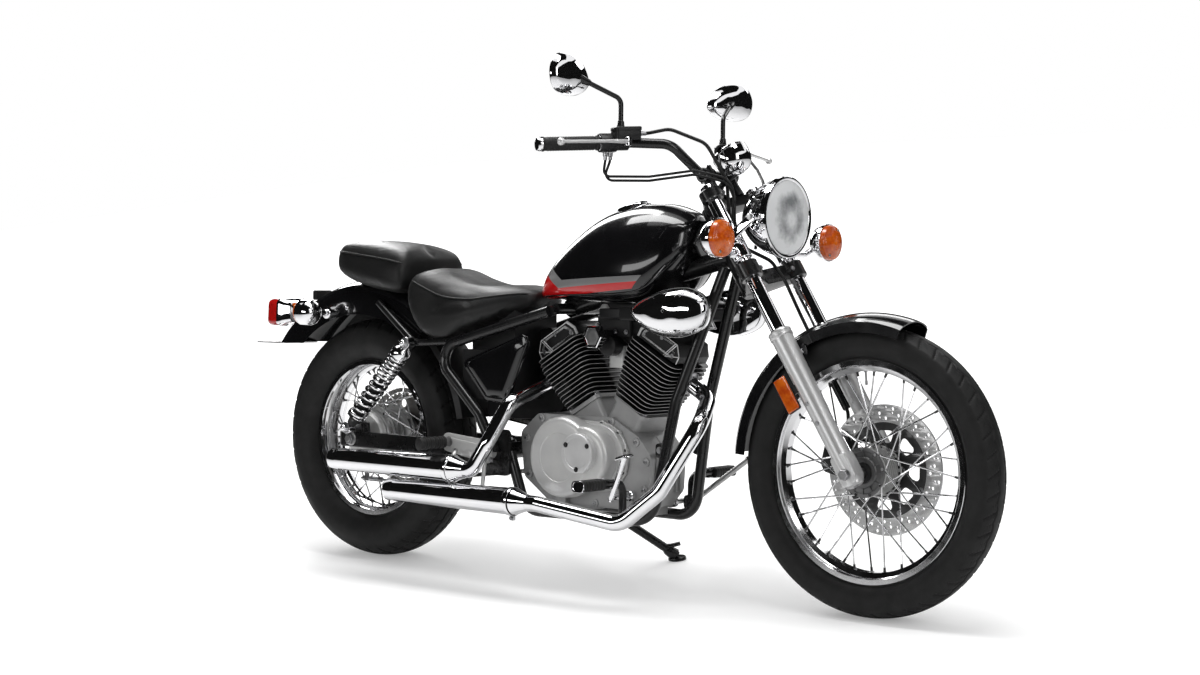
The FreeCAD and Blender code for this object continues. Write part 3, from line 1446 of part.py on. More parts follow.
def rear_signals():
    """Chrome cup and lens of each side on a stem from the fender."""
    centre = Vector(rear_signal_x, rear_signal_y, rear_signal_z)
    front = centre + forward * rear_signal_length * 0.45
    rear = centre - forward * rear_signal_length * 0.4
    cup = fused(taper(centre, front, rear_signal_radius, rear_signal_radius * 0.45), rod(rear, centre, rear_signal_radius))
    lens = taper(rear, rear - forward * rear_signal_radius * 0.45, rear_signal_radius * 0.93,
                 rear_signal_radius * 0.6)
    fender_side = Vector(rear_signal_x, rear_fender_half_width + seat_gap, rear_signal_z)
    stem = rod(fender_side, centre, signal_stem_radius)
    flange = rod(fender_side, fender_side + lateral * rim_wall * 2, signal_stem_radius * 2)
    return both_sides(fused(cup, lens, stem, flange))


def plate_bracket():
    """Flat carrier below the tail lamp, and the reflector box on the fender's crown."""
    high = rear_fender_tail_z - seat_gap
    front_x = -math.sqrt(rear_fender_crown ** 2 - (rear_fender_tail_z - rear_tyre_radius) ** 2) + fender_wall * 8
    plate = round_box(Vector(front_x - plate_bracket_length, -plate_bracket_half_width, high - plate_bracket_thickness),
                      Vector(front_x, plate_bracket_half_width, high), rim_wall * 4)
    for side in (1, -1):
        hole = Vector(front_x - plate_bracket_length * plate_hole_share, side * plate_hole_spread / 2, high)
        plate = plate.cut(rod(hole - upward * plate_bracket_drop, hole + upward * plate_bracket_drop,
                              plate_hole_radius))
    crown_z = rear_tyre_radius + math.sqrt(rear_fender_crown ** 2 - reflector_x ** 2)
    box = block(Vector(reflector_x - reflector_thickness / 2, -reflector_half_width, crown_z + reflector_height * 0.6),
                Vector(reflector_x + reflector_thickness / 2, reflector_half_width, crown_z + reflector_height * 1.6))
    stalk = block(Vector(reflector_x - rim_wall, -rim_wall * 3, crown_z - reflector_height),
                  Vector(reflector_x + rim_wall, rim_wall * 3, crown_z + reflector_height))
    stalk = stalk.cut(rear_fender_envelope(seat_gap))
    return [plate, fused(box, stalk)]


# Foot controls

peg_x = 912.0
peg_z = 258.0
peg_inner_y = 196.0
peg_outer_y = 286.0
peg_half_width = 17.0
peg_half_height = 13.0
peg_stem_radius = 9.0
peg_riser_y = 128.0
peg_bend_radius = 26.0
pedal_pad_x = 975.0
pedal_pad_z = 322.0
pedal_y = 200.0
pedal_shoulder_y = 150.0
pedal_knee_x = 927.0
pedal_knee_y = 188.0
pedal_pivot_x = 892.0
pedal_pivot_z = 222.0
pedal_pad_tilt_angle = 18.0
pedal_arm_radius = 6.5
shift_pad_x = 1024.0
shift_pad_z = 296.0
shift_knee_y = 171.0
shift_pivot_x = 894.5
shift_pivot_z = 196.0
passenger_peg_x = 384.0
passenger_peg_z = 322.0
passenger_plate_y = 140.0
passenger_plate_thickness = 6.0
passenger_peg_outer_y = 232.0
passenger_peg_radius = 15.0
passenger_plate_height = 44.0
hanger_radius = 5.0


def rider_pegs():
    """Rubber peg on a bent stem from the cradle tube, each side."""
    tube_side = cradle_side(peg_x - frame_tube_radius) + frame_tube_radius + seat_gap
    foot_start = Vector(peg_x, tube_side, cradle_low_z)
    foot_end = foot_start + lateral * peg_stem_radius
    route = [foot_end - lateral * rim_wall, Vector(peg_x, peg_riser_y, cradle_low_z),
             Vector(peg_x, peg_riser_y, peg_z), Vector(peg_x, peg_outer_y - peg_stem_radius, peg_z)]
    stem = bent_rod(route, peg_stem_radius, peg_bend_radius)
    pad = side_plate([(peg_x - peg_half_width, peg_z - peg_half_height), (peg_x + peg_half_width, peg_z - peg_half_height),
                      (peg_x + peg_half_width, peg_z + peg_half_height),
                      (peg_x - peg_half_width, peg_z + peg_half_height)],
                     peg_half_height * 0.7, peg_inner_y + peg_stem_radius, peg_outer_y - peg_inner_y - peg_stem_radius)
    foot = rod(foot_start, foot_end, frame_tube_radius)
    return both_sides(fused(stem, pad, foot))


def foot_controls():
    """Brake pedal on the right and gear lever on the left."""
    case_side = crankcase_half_width + seat_gap
    brake_pad = Vector(pedal_pad_x, -pedal_y, pedal_pad_z)
    brake_arm = bent_rod([Vector(pedal_pivot_x, -case_side, pedal_pivot_z),
                          Vector(pedal_pivot_x, -pedal_shoulder_y, pedal_pivot_z),
                          Vector(pedal_knee_x, -pedal_knee_y, pedal_pivot_z), brake_pad],
                         pedal_arm_radius, header_radius)
    pad = block(Vector(-peg_half_width, -peg_half_width, 0), Vector(peg_half_width, peg_half_width, pedal_arm_radius))
    pad.rotate(origin, lateral, -pedal_pad_tilt_angle)
    pad.translate(brake_pad - upward * rim_wall)
    shift_end = Vector(shift_pad_x, pedal_y, shift_pad_z)
    shift_arm = bent_rod([Vector(shift_pivot_x, case_side, shift_pivot_z),
                          Vector(shift_pivot_x, shift_knee_y, shift_pivot_z), shift_end],
                         pedal_arm_radius, header_radius)
    toe = rod(shift_end - lateral * rim_wall, shift_end + lateral * peg_half_width * 2, pedal_arm_radius * 1.3)
    return [fused(brake_arm, pad), fused(shift_arm, toe)]


def passenger_pegs():
    """Bracket plate from the pivot bolt back to the passenger's peg, each side."""
    half = passenger_plate_height / 2
    plate = side_plate([(passenger_peg_x - half, passenger_peg_z - half), (swing_pivot_x + half, swing_pivot_z - half * 1.3),
                        (swing_pivot_x + half, swing_pivot_z + half * 1.3), (passenger_peg_x - half, passenger_peg_z + half)],
                       half * 0.7, passenger_plate_y, passenger_plate_thickness)
    boss_low = loop_half_width - frame_tube_radius + pivot_plate_thickness
    boss = rod(Vector(swing_pivot_x, boss_low, swing_pivot_z), Vector(swing_pivot_x, passenger_plate_y, swing_pivot_z),
               swing_pivot_radius * 0.8)
    peg = rod(Vector(passenger_peg_x, passenger_plate_y, passenger_peg_z),
              Vector(passenger_peg_x - header_radius, passenger_peg_outer_y, passenger_peg_z - rim_wall),
              passenger_peg_radius)
    bolt = rod(swing_pivot_place, Vector(swing_pivot_x, loop_half_width + axle_nut_length + seat_gap, swing_pivot_z),
               pivot_bolt_radius + running_gap)
    loop = bent_rod(loop_route(), frame_tube_radius + running_gap, loop_bend_radius)
    side = fused(plate, boss, peg).cut(bolt).cut(loop)
    plate_middle_y = -passenger_plate_y - passenger_plate_thickness / 2
    upper_start = Vector(passenger_peg_x + half, plate_middle_y, swing_pivot_z)
    upper_end = Vector(passenger_peg_x + half, -muffler_y, upper_muffler_z)
    lower_start = Vector(swing_pivot_x, plate_middle_y, swing_pivot_z - half * 0.75)
    lower_end = Vector(swing_pivot_x + half, -muffler_y, lower_muffler_z)
    upper_hanger = rod(upper_start, upper_end, hanger_radius)
    lower_hanger = rod(lower_start, lower_end, hanger_radius)
    right = fused(mirrored(side), upper_hanger.cut(muffler_skin(upper_muffler_front_x, upper_muffler_z)),
                  lower_hanger.cut(muffler_skin(lower_muffler_front_x, lower_muffler_z)))
    return [side, right]


# Side stand

stand_pivot_x = 700.0
stand_pivot_y = 128.0
stand_pivot_z = 160.0
stand_foot_x = 792.0
stand_foot_y = 232.0
stand_leg_radius = 10.5
stand_pin_radius = 6.0
stand_eye_radius = 15.0
stand_eye_thickness = 22.0
stand_foot_radius = 22.0
stand_foot_thickness = 8.0
stand_settle = 0.65


def side_stand_lug():
    """Plate on the left cradle tube, with the pin that carries the stand."""
    start = Vector(stand_pivot_x, cradle_side(stand_pivot_x), cradle_low_z)
    plate_end = Vector(stand_pivot_x, stand_pivot_y - stand_eye_thickness / 2 - seat_gap, stand_pivot_z)
    lug = rod(Vector(start.x, start.y, stand_pivot_z), plate_end, stand_eye_radius)
    pin = rod(plate_end - lateral * rim_wall, Vector(stand_pivot_x, stand_pivot_y + stand_eye_thickness, stand_pivot_z),
              stand_pin_radius)
    head = rod(Vector(stand_pivot_x, stand_pivot_y + stand_eye_thickness / 2 + seat_gap, stand_pivot_z),
               Vector(stand_pivot_x, stand_pivot_y + stand_eye_thickness, stand_pivot_z), stand_pin_radius * 1.35)
    return fused(lug, pin, head)


def side_stand():
    """Leg from its eye on the pin to the foot that lies flat on the floor when the machine leans."""
    slope = math.tan(math.radians(lean_angle))
    foot_low = Vector(stand_foot_x, stand_foot_y, stand_foot_y * slope - stand_settle)
    floor_normal = Vector(0, -math.sin(math.radians(lean_angle)), math.cos(math.radians(lean_angle)))
    foot = rod(foot_low, foot_low + floor_normal * stand_foot_thickness, stand_foot_radius)
    eye_place = Vector(stand_pivot_x, stand_pivot_y, stand_pivot_z)
    half_eye = lateral * stand_eye_thickness / 2
    eye = rod(eye_place - half_eye, eye_place + half_eye, stand_eye_radius)
    knee = eye_place + Vector(stand_eye_radius, 0, -stand_eye_radius * 2)
    leg = bent_rod([eye_place + Vector(stand_eye_radius / 3, 0, -stand_eye_radius * 0.9), knee,
                    foot_low + floor_normal * stand_leg_radius], stand_leg_radius, header_radius)
    bore = rod(eye_place - half_eye * 3, eye_place + half_eye * 3, stand_pin_radius + running_gap)
    return fused(eye, leg, foot).cut(bore)


# Handlebar

bar_radius = 11.1
bar_clamp_along = 1088.0
bar_clamp_ahead = 50.0
bar_half_width = 358.0
bar_rise = 69.0
bar_pull = 217.0
bar_bend_radius = 45.0
bar_route_shares = ((0.0, 0.168, 0.0), (0.16, 0.36, 0.95), (0.585, 0.53, 1.0), (1.0, 1.0, 0.85))
riser_spread = 42.0
riser_radius = 14.0
clamp_length = 34.0
grip_radius = 16.5
grip_length = 122.0
bar_end_length = 8.0
switch_radius = 21.0
switch_length = 40.0
lever_radius = 5.0
lever_ball_radius = 8.5
lever_reach = 88.0
perch_share = 0.50
master_length = 62.0
master_width = 42.0
master_height = 30.0


def bar_clamp_place():
    return steering_point(bar_clamp_ahead, 0, bar_clamp_along)


def bar_point(pull_share, width_share, rise_share, side=1):
    offset = Vector(-bar_pull * pull_share, side * bar_half_width * width_share, bar_rise * rise_share)
    return bar_clamp_place() + offset


def grip_point(share, side=1):
    """Point on the straight outer run of the bar, as a share of the half width."""
    inner_share = bar_route_shares[2]
    outer_share = bar_route_shares[3]
    step = (share - inner_share[1]) / (outer_share[1] - inner_share[1])
    mixed = [inner + (outer - inner) * step for inner, outer in zip(inner_share, outer_share)]
    return bar_point(*mixed, side)


def bar_skin(radius):
    left = [bar_point(*shares) for shares in bar_route_shares]
    right = [bar_point(*shares, -1) for shares in bar_route_shares]
    return bent_rod(right[::-1] + left, radius, bar_bend_radius)


def handlebar():
    """Bar bent from one tube, in two riser clamps on the upper yoke."""
    bar = bar_skin(bar_radius)
    pieces = []
    yoke_top = upper_yoke_low + upper_yoke_height
    for side in (1, -1):
        foot = steering_point(bar_clamp_ahead, side * riser_spread, yoke_top)
        head = steering_point(bar_clamp_ahead, side * riser_spread, bar_clamp_along)
        clamp_middle = bar_clamp_place() + lateral * side * riser_spread
        pieces.append(rod(foot, head, riser_radius * 0.8))
        pieces.append(rod(clamp_middle - lateral * clamp_length / 2, clamp_middle + lateral * clamp_length / 2,
                          riser_radius + rim_wall))
    return fused(bar, *pieces)


def grips():
    """Rubber sleeve with a bright end, each side."""
    end = bar_point(*bar_route_shares[3])
    inner = grip_point(1.0 - grip_length / bar_half_width)
    out = (end - inner).normalize()
    sleeve = rod(inner, end + out * bar_end_length, grip_radius)
    bore = rod(inner - out * cut_overrun, end + out * seat_gap, bar_radius + running_gap)
    return both_sides(sleeve.cut(bore))


def handlebar_controls():
    """Switch housings and levers on their perches, with the brake reservoir on the right."""
    controls = []
    for side in (1, -1):
        grip_inner = grip_point(1.0 - grip_length / bar_half_width, side)
        end = bar_point(*bar_route_shares[3], side)
        out = (end - grip_inner).normalize()
        ahead = out.cross(upward) * side
        housing_end = grip_inner - out * seat_gap
        housing = rod(housing_end - out * switch_length, housing_end, switch_radius)
        perch_place = housing_end - out * (switch_length + master_width / 3)
        perch = rod(perch_place - out * master_width / 3, perch_place + out * master_width / 3, switch_radius * 0.85)
        lever_root = perch_place + ahead * switch_radius * 1.8
        lever_bend = lever_root + out * switch_length + ahead * switch_radius
        lever_tip = end + ahead * lever_reach - out * grip_radius
        lever = bent_rod([lever_root, lever_bend, lever_tip], lever_radius, bar_bend_radius / 2)
        ball = Part.makeSphere(lever_ball_radius, lever_tip)
        arm = rod(perch_place, lever_root + ahead * lever_radius, switch_radius * 0.5)
        pieces = [perch, lever, ball, arm]
        if side < 0:
            box = block(Vector(-master_length / 2, -master_width / 2, 0),
                        Vector(master_length / 2, master_width / 2, master_height))
            box.rotate(origin, upward, math.degrees(math.atan2(out.y, out.x)))
            box.translate(perch_place + ahead * switch_radius * 0.8 - out * master_width * 0.1 + upward * rim_wall)
            pieces.append(box)
        bore = bar_skin(bar_radius + running_gap)
        controls.append(fused(housing, *pieces).cut(bore))
    return controls


# Control cables

throttle_cable_radius = 3.0
throttle_cable_spread = 9.0
clutch_cable_radius = 3.5
brake_hose_radius = 4.0
cable_bend_radius = 42.0
cable_lead = 18.0
throttle_cable_route = ((928.0, -226.0, 942.0), (1010.0, -165.0, 942.0), (1092.0, -108.0, 956.0),
                        (1162.0, -56.0, 936.0))
clutch_cable_route = ((1030.0, 176.0, 1002.0), (1100.0, 118.0, 968.0), (1160.0, 62.0, 930.0))
brake_hose_route = ((1040.0, -132.0, 1048.0), (1108.0, -88.0, 1016.0), (1139.0, -52.0, 935.0),
                    (1142.0, -46.0, 860.0))
cable_foot_places = ((62.0, 50.0, 958.0), (34.0, 32.0, 905.0))
brake_hose_places = ((46.0, -30.0, 900.0), (75.0, 0.0, 848.0), (76.0, 14.0, 796.0), (43.0, 64.0, 730.0),
                     (29.0, 85.0, 650.0), (29.0, 84.0, 490.0))


def bar_outward(side):
    """Direction of the bar's outer run, away from the middle."""
    inner = grip_point(1.0 - grip_length / bar_half_width, side)
    return (bar_point(*bar_route_shares[3], side) - inner).normalize()


def perch_point(side, ahead_share, out_share):
    """Place beside the grip's inner end, as shares of the switch housing's radius and length."""
    inner = grip_point(1.0 - grip_length / bar_half_width, side)
    ahead = bar_outward(side).cross(upward) * side
    return inner + ahead * switch_radius * ahead_share - bar_outward(side) * switch_length * out_share


def control_cables():
    """Two throttle cables, the clutch cable and the brake hose, each on one smooth route."""
    pieces = []
    for step in (0, 1):
        drop = Vector(0, 0, -throttle_cable_spread * step)
        start = perch_point(-1, 0.0, 0.4 + 0.3 * step) - upward * (switch_radius + 2 * seat_gap)
        middle = [Vector(*place) + drop for place in throttle_cable_route]
        foot = [steering_point(ahead, -y + throttle_cable_spread * step, along)
                for ahead, y, along in cable_foot_places]
        route = [start, start - upward * cable_lead] + middle + foot
        pieces.append(bent_rod(route, throttle_cable_radius, cable_bend_radius))
    start = perch_point(1, 2.053, 1.45)
    ahead = bar_outward(1).cross(upward)
    route = [start, start + ahead * cable_lead] + [Vector(*place) for place in clutch_cable_route]
    route += [steering_point(*place) for place in cable_foot_places]
    pieces.append(bent_rod(route, clutch_cable_radius, cable_bend_radius))
    start = perch_point(-1, 0.8, 2.25) + upward * (rim_wall + master_height / 2)
    turn = math.radians(caliper_angle)
    along_caliper = Vector(math.sin(turn), 0, -math.cos(turn))
    end = wheel_point(front_axle_place, disc_radius - caliper_height / 3, caliper_angle,
                      disc_y + (caliper_half_thickness + caliper_offset) / 2)
    end += along_caliper * (caliper_length / 2 + 2 * seat_gap)
    route = [start, start - bar_outward(-1) * cable_lead] + [Vector(*place) for place in brake_hose_route]
    route += [steering_point(*place) for place in brake_hose_places] + [end + along_caliper * cable_lead, end]
    pieces.append(bent_rod(route, brake_hose_radius, cable_bend_radius))
    return pieces


# Mirrors

mirror_share = 0.53
mirror_stem_radius = 5.5
mirror_rise = 62.0
mirror_spread = 108.0
mirror_lift = 48.0
mirror_width = 146.0
mirror_height = 92.0
mirror_depth = 26.0
mirror_back = 60.0
mirror_turn_angle = 9.0
mirror_reach_share = 0.9
mirror_outline_shares = ((-0.50, -0.16), (-0.34, 0.26), (0.0, 0.48), (0.34, 0.44), (0.50, 0.06),
                         (0.40, -0.36), (0.06, -0.50), (-0.30, -0.42))
mirror_layer_shares = ((-0.2, 0.97), (0.0, 1.0), (0.45, 0.9), (0.8, 0.62), (1.0, 0.25))


def mirror_ring(side, depth_share, size_share):
    """One layer of a teardrop head, flat towards the rider."""
    points = [Vector(mirror_depth * depth_share, side * mirror_width * size_share * out,
                     mirror_height * size_share * up) for out, up in mirror_outline_shares]
    curve = Part.BSplineCurve()
    curve.interpolate(Points=points, PeriodicFlag=True)
    return Part.Wire(curve.toShape())


def mirrors():
    """Bent chrome stem from each perch to its head."""
    pairs = []
    for side in (1, -1):
        perch_height = rim_wall + master_height if side < 0 else switch_radius * 0.85
        base = grip_point(mirror_share, side) + upward * (perch_height + 3 * seat_gap)
        stem_top = base + upward * mirror_rise
        centre = stem_top + Vector(-mirror_back, side * mirror_spread, mirror_lift)
        head = Part.makeLoft([mirror_ring(side, *shares) for shares in mirror_layer_shares], True, False)
        head.rotate(origin, upward, -side * mirror_turn_angle)
        head.translate(centre)
        near = stem_top + (centre - stem_top) * mirror_reach_share + forward * mirror_depth / 3
        stem = bent_rod([base, stem_top, near], mirror_stem_radius, mirror_rise / 4)
        pairs.append(fused(stem, head))
    return pairs


# Lamps and speedometer on the fork

lamp_radius = 88.0
lamp_along = 907.0
lamp_ahead = 158.0
lamp_depth = 104.0
lamp_wall = 2.5
lamp_rim_width = 14.0
lens_depth = 16.0
lamp_ear_thickness = 5.0
lamp_ear_height = 34.0
front_signal_y = 208.0
front_signal_x = 1232.0
front_signal_z = 803.0
front_signal_radius = 43.0
front_signal_depth = 34.0
front_lens_depth = 16.0
front_stem_radius = 7.0
dial_radius = 42.0
dial_depth = 58.0
dial_tilt_angle = 38.0
dial_x = 1106.0
dial_z = 1000.0


def lamp_place():
    return steering_point(lamp_ahead, 0, lamp_along)


def headlight():
    """Hollow bowl with its rim and a domed glass, held by an ear on each fork tube."""
    centre = lamp_place()
    outer = [(0, lamp_radius), (-lamp_depth * 0.3, lamp_radius * 0.93), (-lamp_depth * 0.62, lamp_radius * 0.74),
             (-lamp_depth * 0.86, lamp_radius * 0.46), (-lamp_depth, 0)]
    inner = [(-lamp_depth + lamp_wall, 0), (-lamp_depth * 0.86 + lamp_wall, lamp_radius * 0.46 - lamp_wall),
             (-lamp_depth * 0.62 + lamp_wall, lamp_radius * 0.74 - lamp_wall),
             (-lamp_depth * 0.3, lamp_radius * 0.93 - lamp_wall * 1.5), (0, lamp_radius - lamp_rim_width / 2)]
    bowl = spun(outer + inner, centre, forward)
    rim_inner = lamp_radius - lamp_rim_width / 2
    ring = spun([(-lamp_rim_width / 2, lamp_radius + lamp_wall), (lamp_rim_width / 2, lamp_radius + lamp_wall),
                 (lamp_rim_width / 2, rim_inner), (-lamp_rim_width / 2, rim_inner)], centre, forward)
    lens = spun([(lamp_wall, 0), (lamp_wall, rim_inner - seat_gap / 3), (lamp_wall * 2, rim_inner - seat_gap / 3),
                 (lens_depth * 0.7, rim_inner * 0.7), (lens_depth * 0.95, rim_inner * 0.35), (lens_depth, 0)],
                centre, forward)
    shell = fused(bowl, ring)
    for side in (1, -1):
        shell = shell.fuse(lamp_ear(side))
    return [shell.removeSplitter(), lens]


def lamp_ear(side):
    """Clamp on one fork tube and the arm forward to the bowl."""
    along = lamp_along - lamp_ear_height / 2
    low = steering_point(fork_offset, side * slider_spread, along)
    high = steering_point(fork_offset, side * slider_spread, along + lamp_ear_height)
    collar = pipe(low, high, fork_tube_radius + lamp_ear_thickness, fork_tube_radius + running_gap)
    arm_y = side * (slider_spread + fork_tube_radius + lamp_ear_thickness / 2)
    back = steering_point(fork_offset, arm_y, lamp_along)
    front = Vector(lamp_place().x - lamp_rim_width, arm_y, lamp_place().z)
    half = upward * lamp_ear_height / 3
    corners = [back - half, front - half * 0.7, front + half * 0.7, back + half]
    plate = Part.Face(Part.makePolygon(corners + corners[:1]))
    plate = plate.extrude(Vector(0, side * lamp_ear_thickness, 0))
    plate.translate(Vector(0, -side * lamp_ear_thickness / 2, 0))
    plate = plate.cut(rod(low, high, fork_tube_radius + running_gap))
    bolt = rod(Vector(front.x - lamp_rim_width / 2, side * lamp_radius * 0.9, front.z),
               Vector(front.x - lamp_rim_width / 2, arm_y + side * lamp_ear_thickness, front.z), lamp_rim_width / 2)
    return fused(collar, plate, bolt)


def front_signals():
    """Round lamp of each side on a stem from the headlight's ear."""
    centre = Vector(front_signal_x, front_signal_y, front_signal_z)
    front = centre + forward * front_lens_depth
    back = centre - forward * front_signal_depth
    cup = taper(centre, back, front_signal_radius, front_signal_radius * 0.5)
    lens = fused(rod(centre, front, front_signal_radius * 0.94),
                 taper(front, front + forward * front_lens_depth / 2, front_signal_radius * 0.94,
                       front_signal_radius * 0.6))
    ear_y = slider_spread + fork_tube_radius + lamp_ear_thickness + seat_gap
    along = lamp_along - lamp_ear_height / 2
    tube = steering_point(fork_offset, 0, along - lamp_ear_height / 2)
    collar_low = steering_point(fork_offset, slider_spread, along - lamp_ear_height)
    collar_high = steering_point(fork_offset, slider_spread, along - seat_gap)
    collar = pipe(collar_low, collar_high, fork_tube_radius + lamp_ear_thickness, fork_tube_radius + running_gap)
    start = Vector(tube.x, ear_y - lamp_ear_thickness, tube.z)
    stem = bent_rod([start, Vector(tube.x, front_signal_y - front_signal_radius, tube.z),
                     centre - forward * front_signal_depth / 2], front_stem_radius, front_signal_radius / 2)
    return both_sides(fused(cup, lens, stem, collar))


def speedometer():
    """Cup with its dial towards the rider, on a bracket from the upper yoke."""
    turn = math.radians(dial_tilt_angle)
    axis = Vector(-math.sin(turn), 0, math.cos(turn))
    face = Vector(dial_x, 0, dial_z)
    cup = spun([(0, 0), (0, dial_radius), (-dial_depth * 0.5, dial_radius * 0.96),
                (-dial_depth * 0.8, dial_radius * 0.7), (-dial_depth, 0)], face, axis)
    yoke_top = upper_yoke_low + upper_yoke_height + seat_gap
    foot = steering_point(fork_offset * 0.6, 0, yoke_top)
    bend = steering_point(fork_offset * 0.6, 0, yoke_top + dial_depth / 2)
    bracket = bent_rod([foot, bend, face - axis * dial_depth * 0.85], front_stem_radius, dial_depth / 4)
    return fused(cup, bracket)


# Whole machine

def as_list(shapes):
    return shapes if isinstance(shapes, list) else [shapes]


def nodes():
    """Every piece by name, upright, each as its list of solids."""
    made = {
        "backbone_frame": backbone_frame(),
        "cradle_tubes": cradle_tubes(),
        "rear_loops": rear_loops(),
        "crankcase": crankcase(),
        "engine_covers": engine_covers(),
        "front_cylinder": cylinder(cylinder_angle),
        "rear_cylinder": cylinder(-cylinder_angle),
        "intake": intake(),
        "air_cleaner_covers": air_cleaner_covers(),
        "front_exhaust": front_exhaust(),
        "rear_exhaust": rear_exhaust(),
        "fuel_tank": fuel_tank(),
        "fuel_cap": fuel_cap(),
        "rider_seat": rider_seat(),
        "passenger_seat": passenger_seat(),
        "rear_fender": rear_fender(),
        "tail_light": tail_light(),
        "rear_signals": rear_signals(),
        "plate_bracket": plate_bracket(),
        "side_covers": side_covers(),
        "battery_box": battery_box(),
        "swingarm": swingarm(),
        "shock_absorbers": shock_absorbers(),
        "rear_axle": rear_axle(),
        "rear_brake_panel": rear_brake_panel(),
        "rider_pegs": rider_pegs(),
        "foot_controls": foot_controls(),
        "passenger_pegs": passenger_pegs(),
        "drive_chain": drive_chain(),
        "chain_guard": chain_guard(),
        "side_stand": side_stand(),
        "fork_yokes": fork_yokes(),
        "fork_tubes": fork_tubes(),
        "fork_sliders": fork_sliders(),
        "front_axle": front_axle(),
        "front_fender": front_fender(),
        "front_caliper": front_caliper(),
        "handlebar": handlebar(),
        "grips": grips(),
        "handlebar_controls": handlebar_controls(),
        "control_cables": control_cables(),
        "mirrors": mirrors(),
        "headlight": headlight(),
        "speedometer": speedometer(),
        "front_signals": front_signals(),
        "front_tyre": tyre(front_axle_place, front_tyre_radius, front_tyre_half_width, front_rim_seat,
                           front_rim_half_width),
        "front_wire_wheel": front_wire_wheel(),
        "front_disc": front_disc(),
        "rear_tyre": tyre(rear_axle_place, rear_tyre_radius, rear_tyre_half_width, rear_rim_seat,
                          rear_rim_half_width),
        "rear_wire_wheel": rear_wire_wheel(),
        "rear_sprocket": rear_sprocket(),
    }
    return {name: as_list(shapes) for name, shapes in made.items()}


def leaned(shape):
    """The machine tips to its left until its stand is on the floor."""
    placed = shape.copy()
    placed.rotate(origin, forward, -lean_angle)
    return placed


def footprint_shift(shapes):
    """Move that puts the middle of the footprint at the origin and the lowest point on the floor."""
    whole = Part.makeCompound(shapes)
    box = whole.optimalBoundingBox(True, False)
    return Vector(-(box.XMin + box.XMax) / 2, -(box.YMin + box.YMax) / 2, -box.ZMin)


def main():
    os.makedirs("parts", exist_ok=True)
    placed = {name: Part.makeCompound([leaned(solid) for solid in solids]) for name, solids in nodes().items()}
    shift = footprint_shift(list(placed.values()))
    for name, shape in placed.items():
        shape.translate(shift)
        shape.exportStep("parts/" + name + ".step")
    print("footprint shift", shift)


if __name__ == "__main__":
    main()
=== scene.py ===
import json
from math import acos, asin, atan2, cos, degrees, hypot, pi, radians, sin, sqrt, tan
import bpy
import bmesh
from mathutils import Matrix, Vector


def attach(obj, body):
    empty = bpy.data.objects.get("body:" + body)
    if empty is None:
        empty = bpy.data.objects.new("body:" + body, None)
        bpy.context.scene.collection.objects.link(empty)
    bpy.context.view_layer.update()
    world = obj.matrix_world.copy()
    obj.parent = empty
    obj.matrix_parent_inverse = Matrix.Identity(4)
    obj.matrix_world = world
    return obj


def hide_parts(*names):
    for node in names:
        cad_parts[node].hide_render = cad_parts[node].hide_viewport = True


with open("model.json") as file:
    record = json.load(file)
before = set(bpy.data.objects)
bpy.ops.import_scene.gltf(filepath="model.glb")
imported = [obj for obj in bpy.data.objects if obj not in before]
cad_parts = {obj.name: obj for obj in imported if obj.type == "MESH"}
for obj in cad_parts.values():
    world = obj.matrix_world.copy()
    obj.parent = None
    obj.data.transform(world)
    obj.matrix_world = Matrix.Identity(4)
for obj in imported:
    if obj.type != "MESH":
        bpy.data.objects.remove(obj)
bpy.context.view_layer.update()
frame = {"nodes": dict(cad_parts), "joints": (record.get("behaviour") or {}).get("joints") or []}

# The machine is drawn upright in millimetres: x forward, y to the rider's left, z up,
# from the ground below the rear axle. The matrix "place" leans it onto its stand.
joints = {joint["name"]: joint for joint in frame["joints"]}
rearAxlePlace = Vector(joints["rear_wheel_spin"]["pos_m"])
rearAxleHeight = 0.306
leanAngle = acos(joints["rear_wheel_spin"]["axis"][1])
place = (Matrix.Translation(rearAxlePlace) @ Matrix.Rotation(-leanAngle, 4, "X") @ Matrix.Translation((0, 0,
    -rearAxleHeight)))
millimetre = 0.001
across = Vector((0, 1, 0))
upward = Vector((0, 0, 1))
ahead = Vector((1, 0, 0))

steering = {"rake": radians(32), "foot": Vector((1609, 0, 0)), "offset": 63.9, "axleReach": 326.8}
frontAxle = Vector((1490, 0, 311))
rearAxle = Vector((0, 0, 306))
crank = Vector((803, 0, 305))
frontSprocket = Vector((586, 0, 300))


# Shapes

def newShape():
    return {"verts": [], "faces": [], "mats": []}


def addFaces(shape, verts, faces, mat=0):
    base = len(shape["verts"])
    shape["verts"] += [Vector(vert) for vert in verts]
    shape["faces"] += [[base + index for index in face] for face in faces]
    shape["mats"] += mat if isinstance(mat, list) else [mat] * len(faces)


def addRings(shape, rings, mat=0, closed=True, looped=False, caps=True):
    # rings of equal length, joined in order.
    count = len(rings[0])
    rows = len(rings) if looped else len(rings) - 1
    columns = count if closed else count - 1
    faces = []
    for row in range(rows):
        this, after = row * count, (row + 1) % len(rings) * count
        for column in range(columns):
            side = (column + 1) % count
            faces.append((this + column, this + side, after + side, after + column))
    if caps and closed and not looped:
        faces.append(tuple(range(count)))
        faces.append(tuple((len(rings) - 1) * count + index for index in range(count)))
    addFaces(shape, [point for ring in rings for point in ring], faces, mat)


def sideAxes(axis):
    axis = Vector(axis).normalized()
    helper = across if abs(axis.y) < 0.9 else upward
    first = axis.cross(helper).normalized()
    return first, axis.cross(first).normalized()


def circle(centre, axis, radius, count=32, otherRadius=None, start=0):
    first, second = sideAxes(axis)
    otherRadius = radius if otherRadius is None else otherRadius
    turns = [start + 2 * pi * index / count for index in range(count)]
    return [centre + first * radius * cos(turn) + second * otherRadius * sin(turn) for turn in turns]


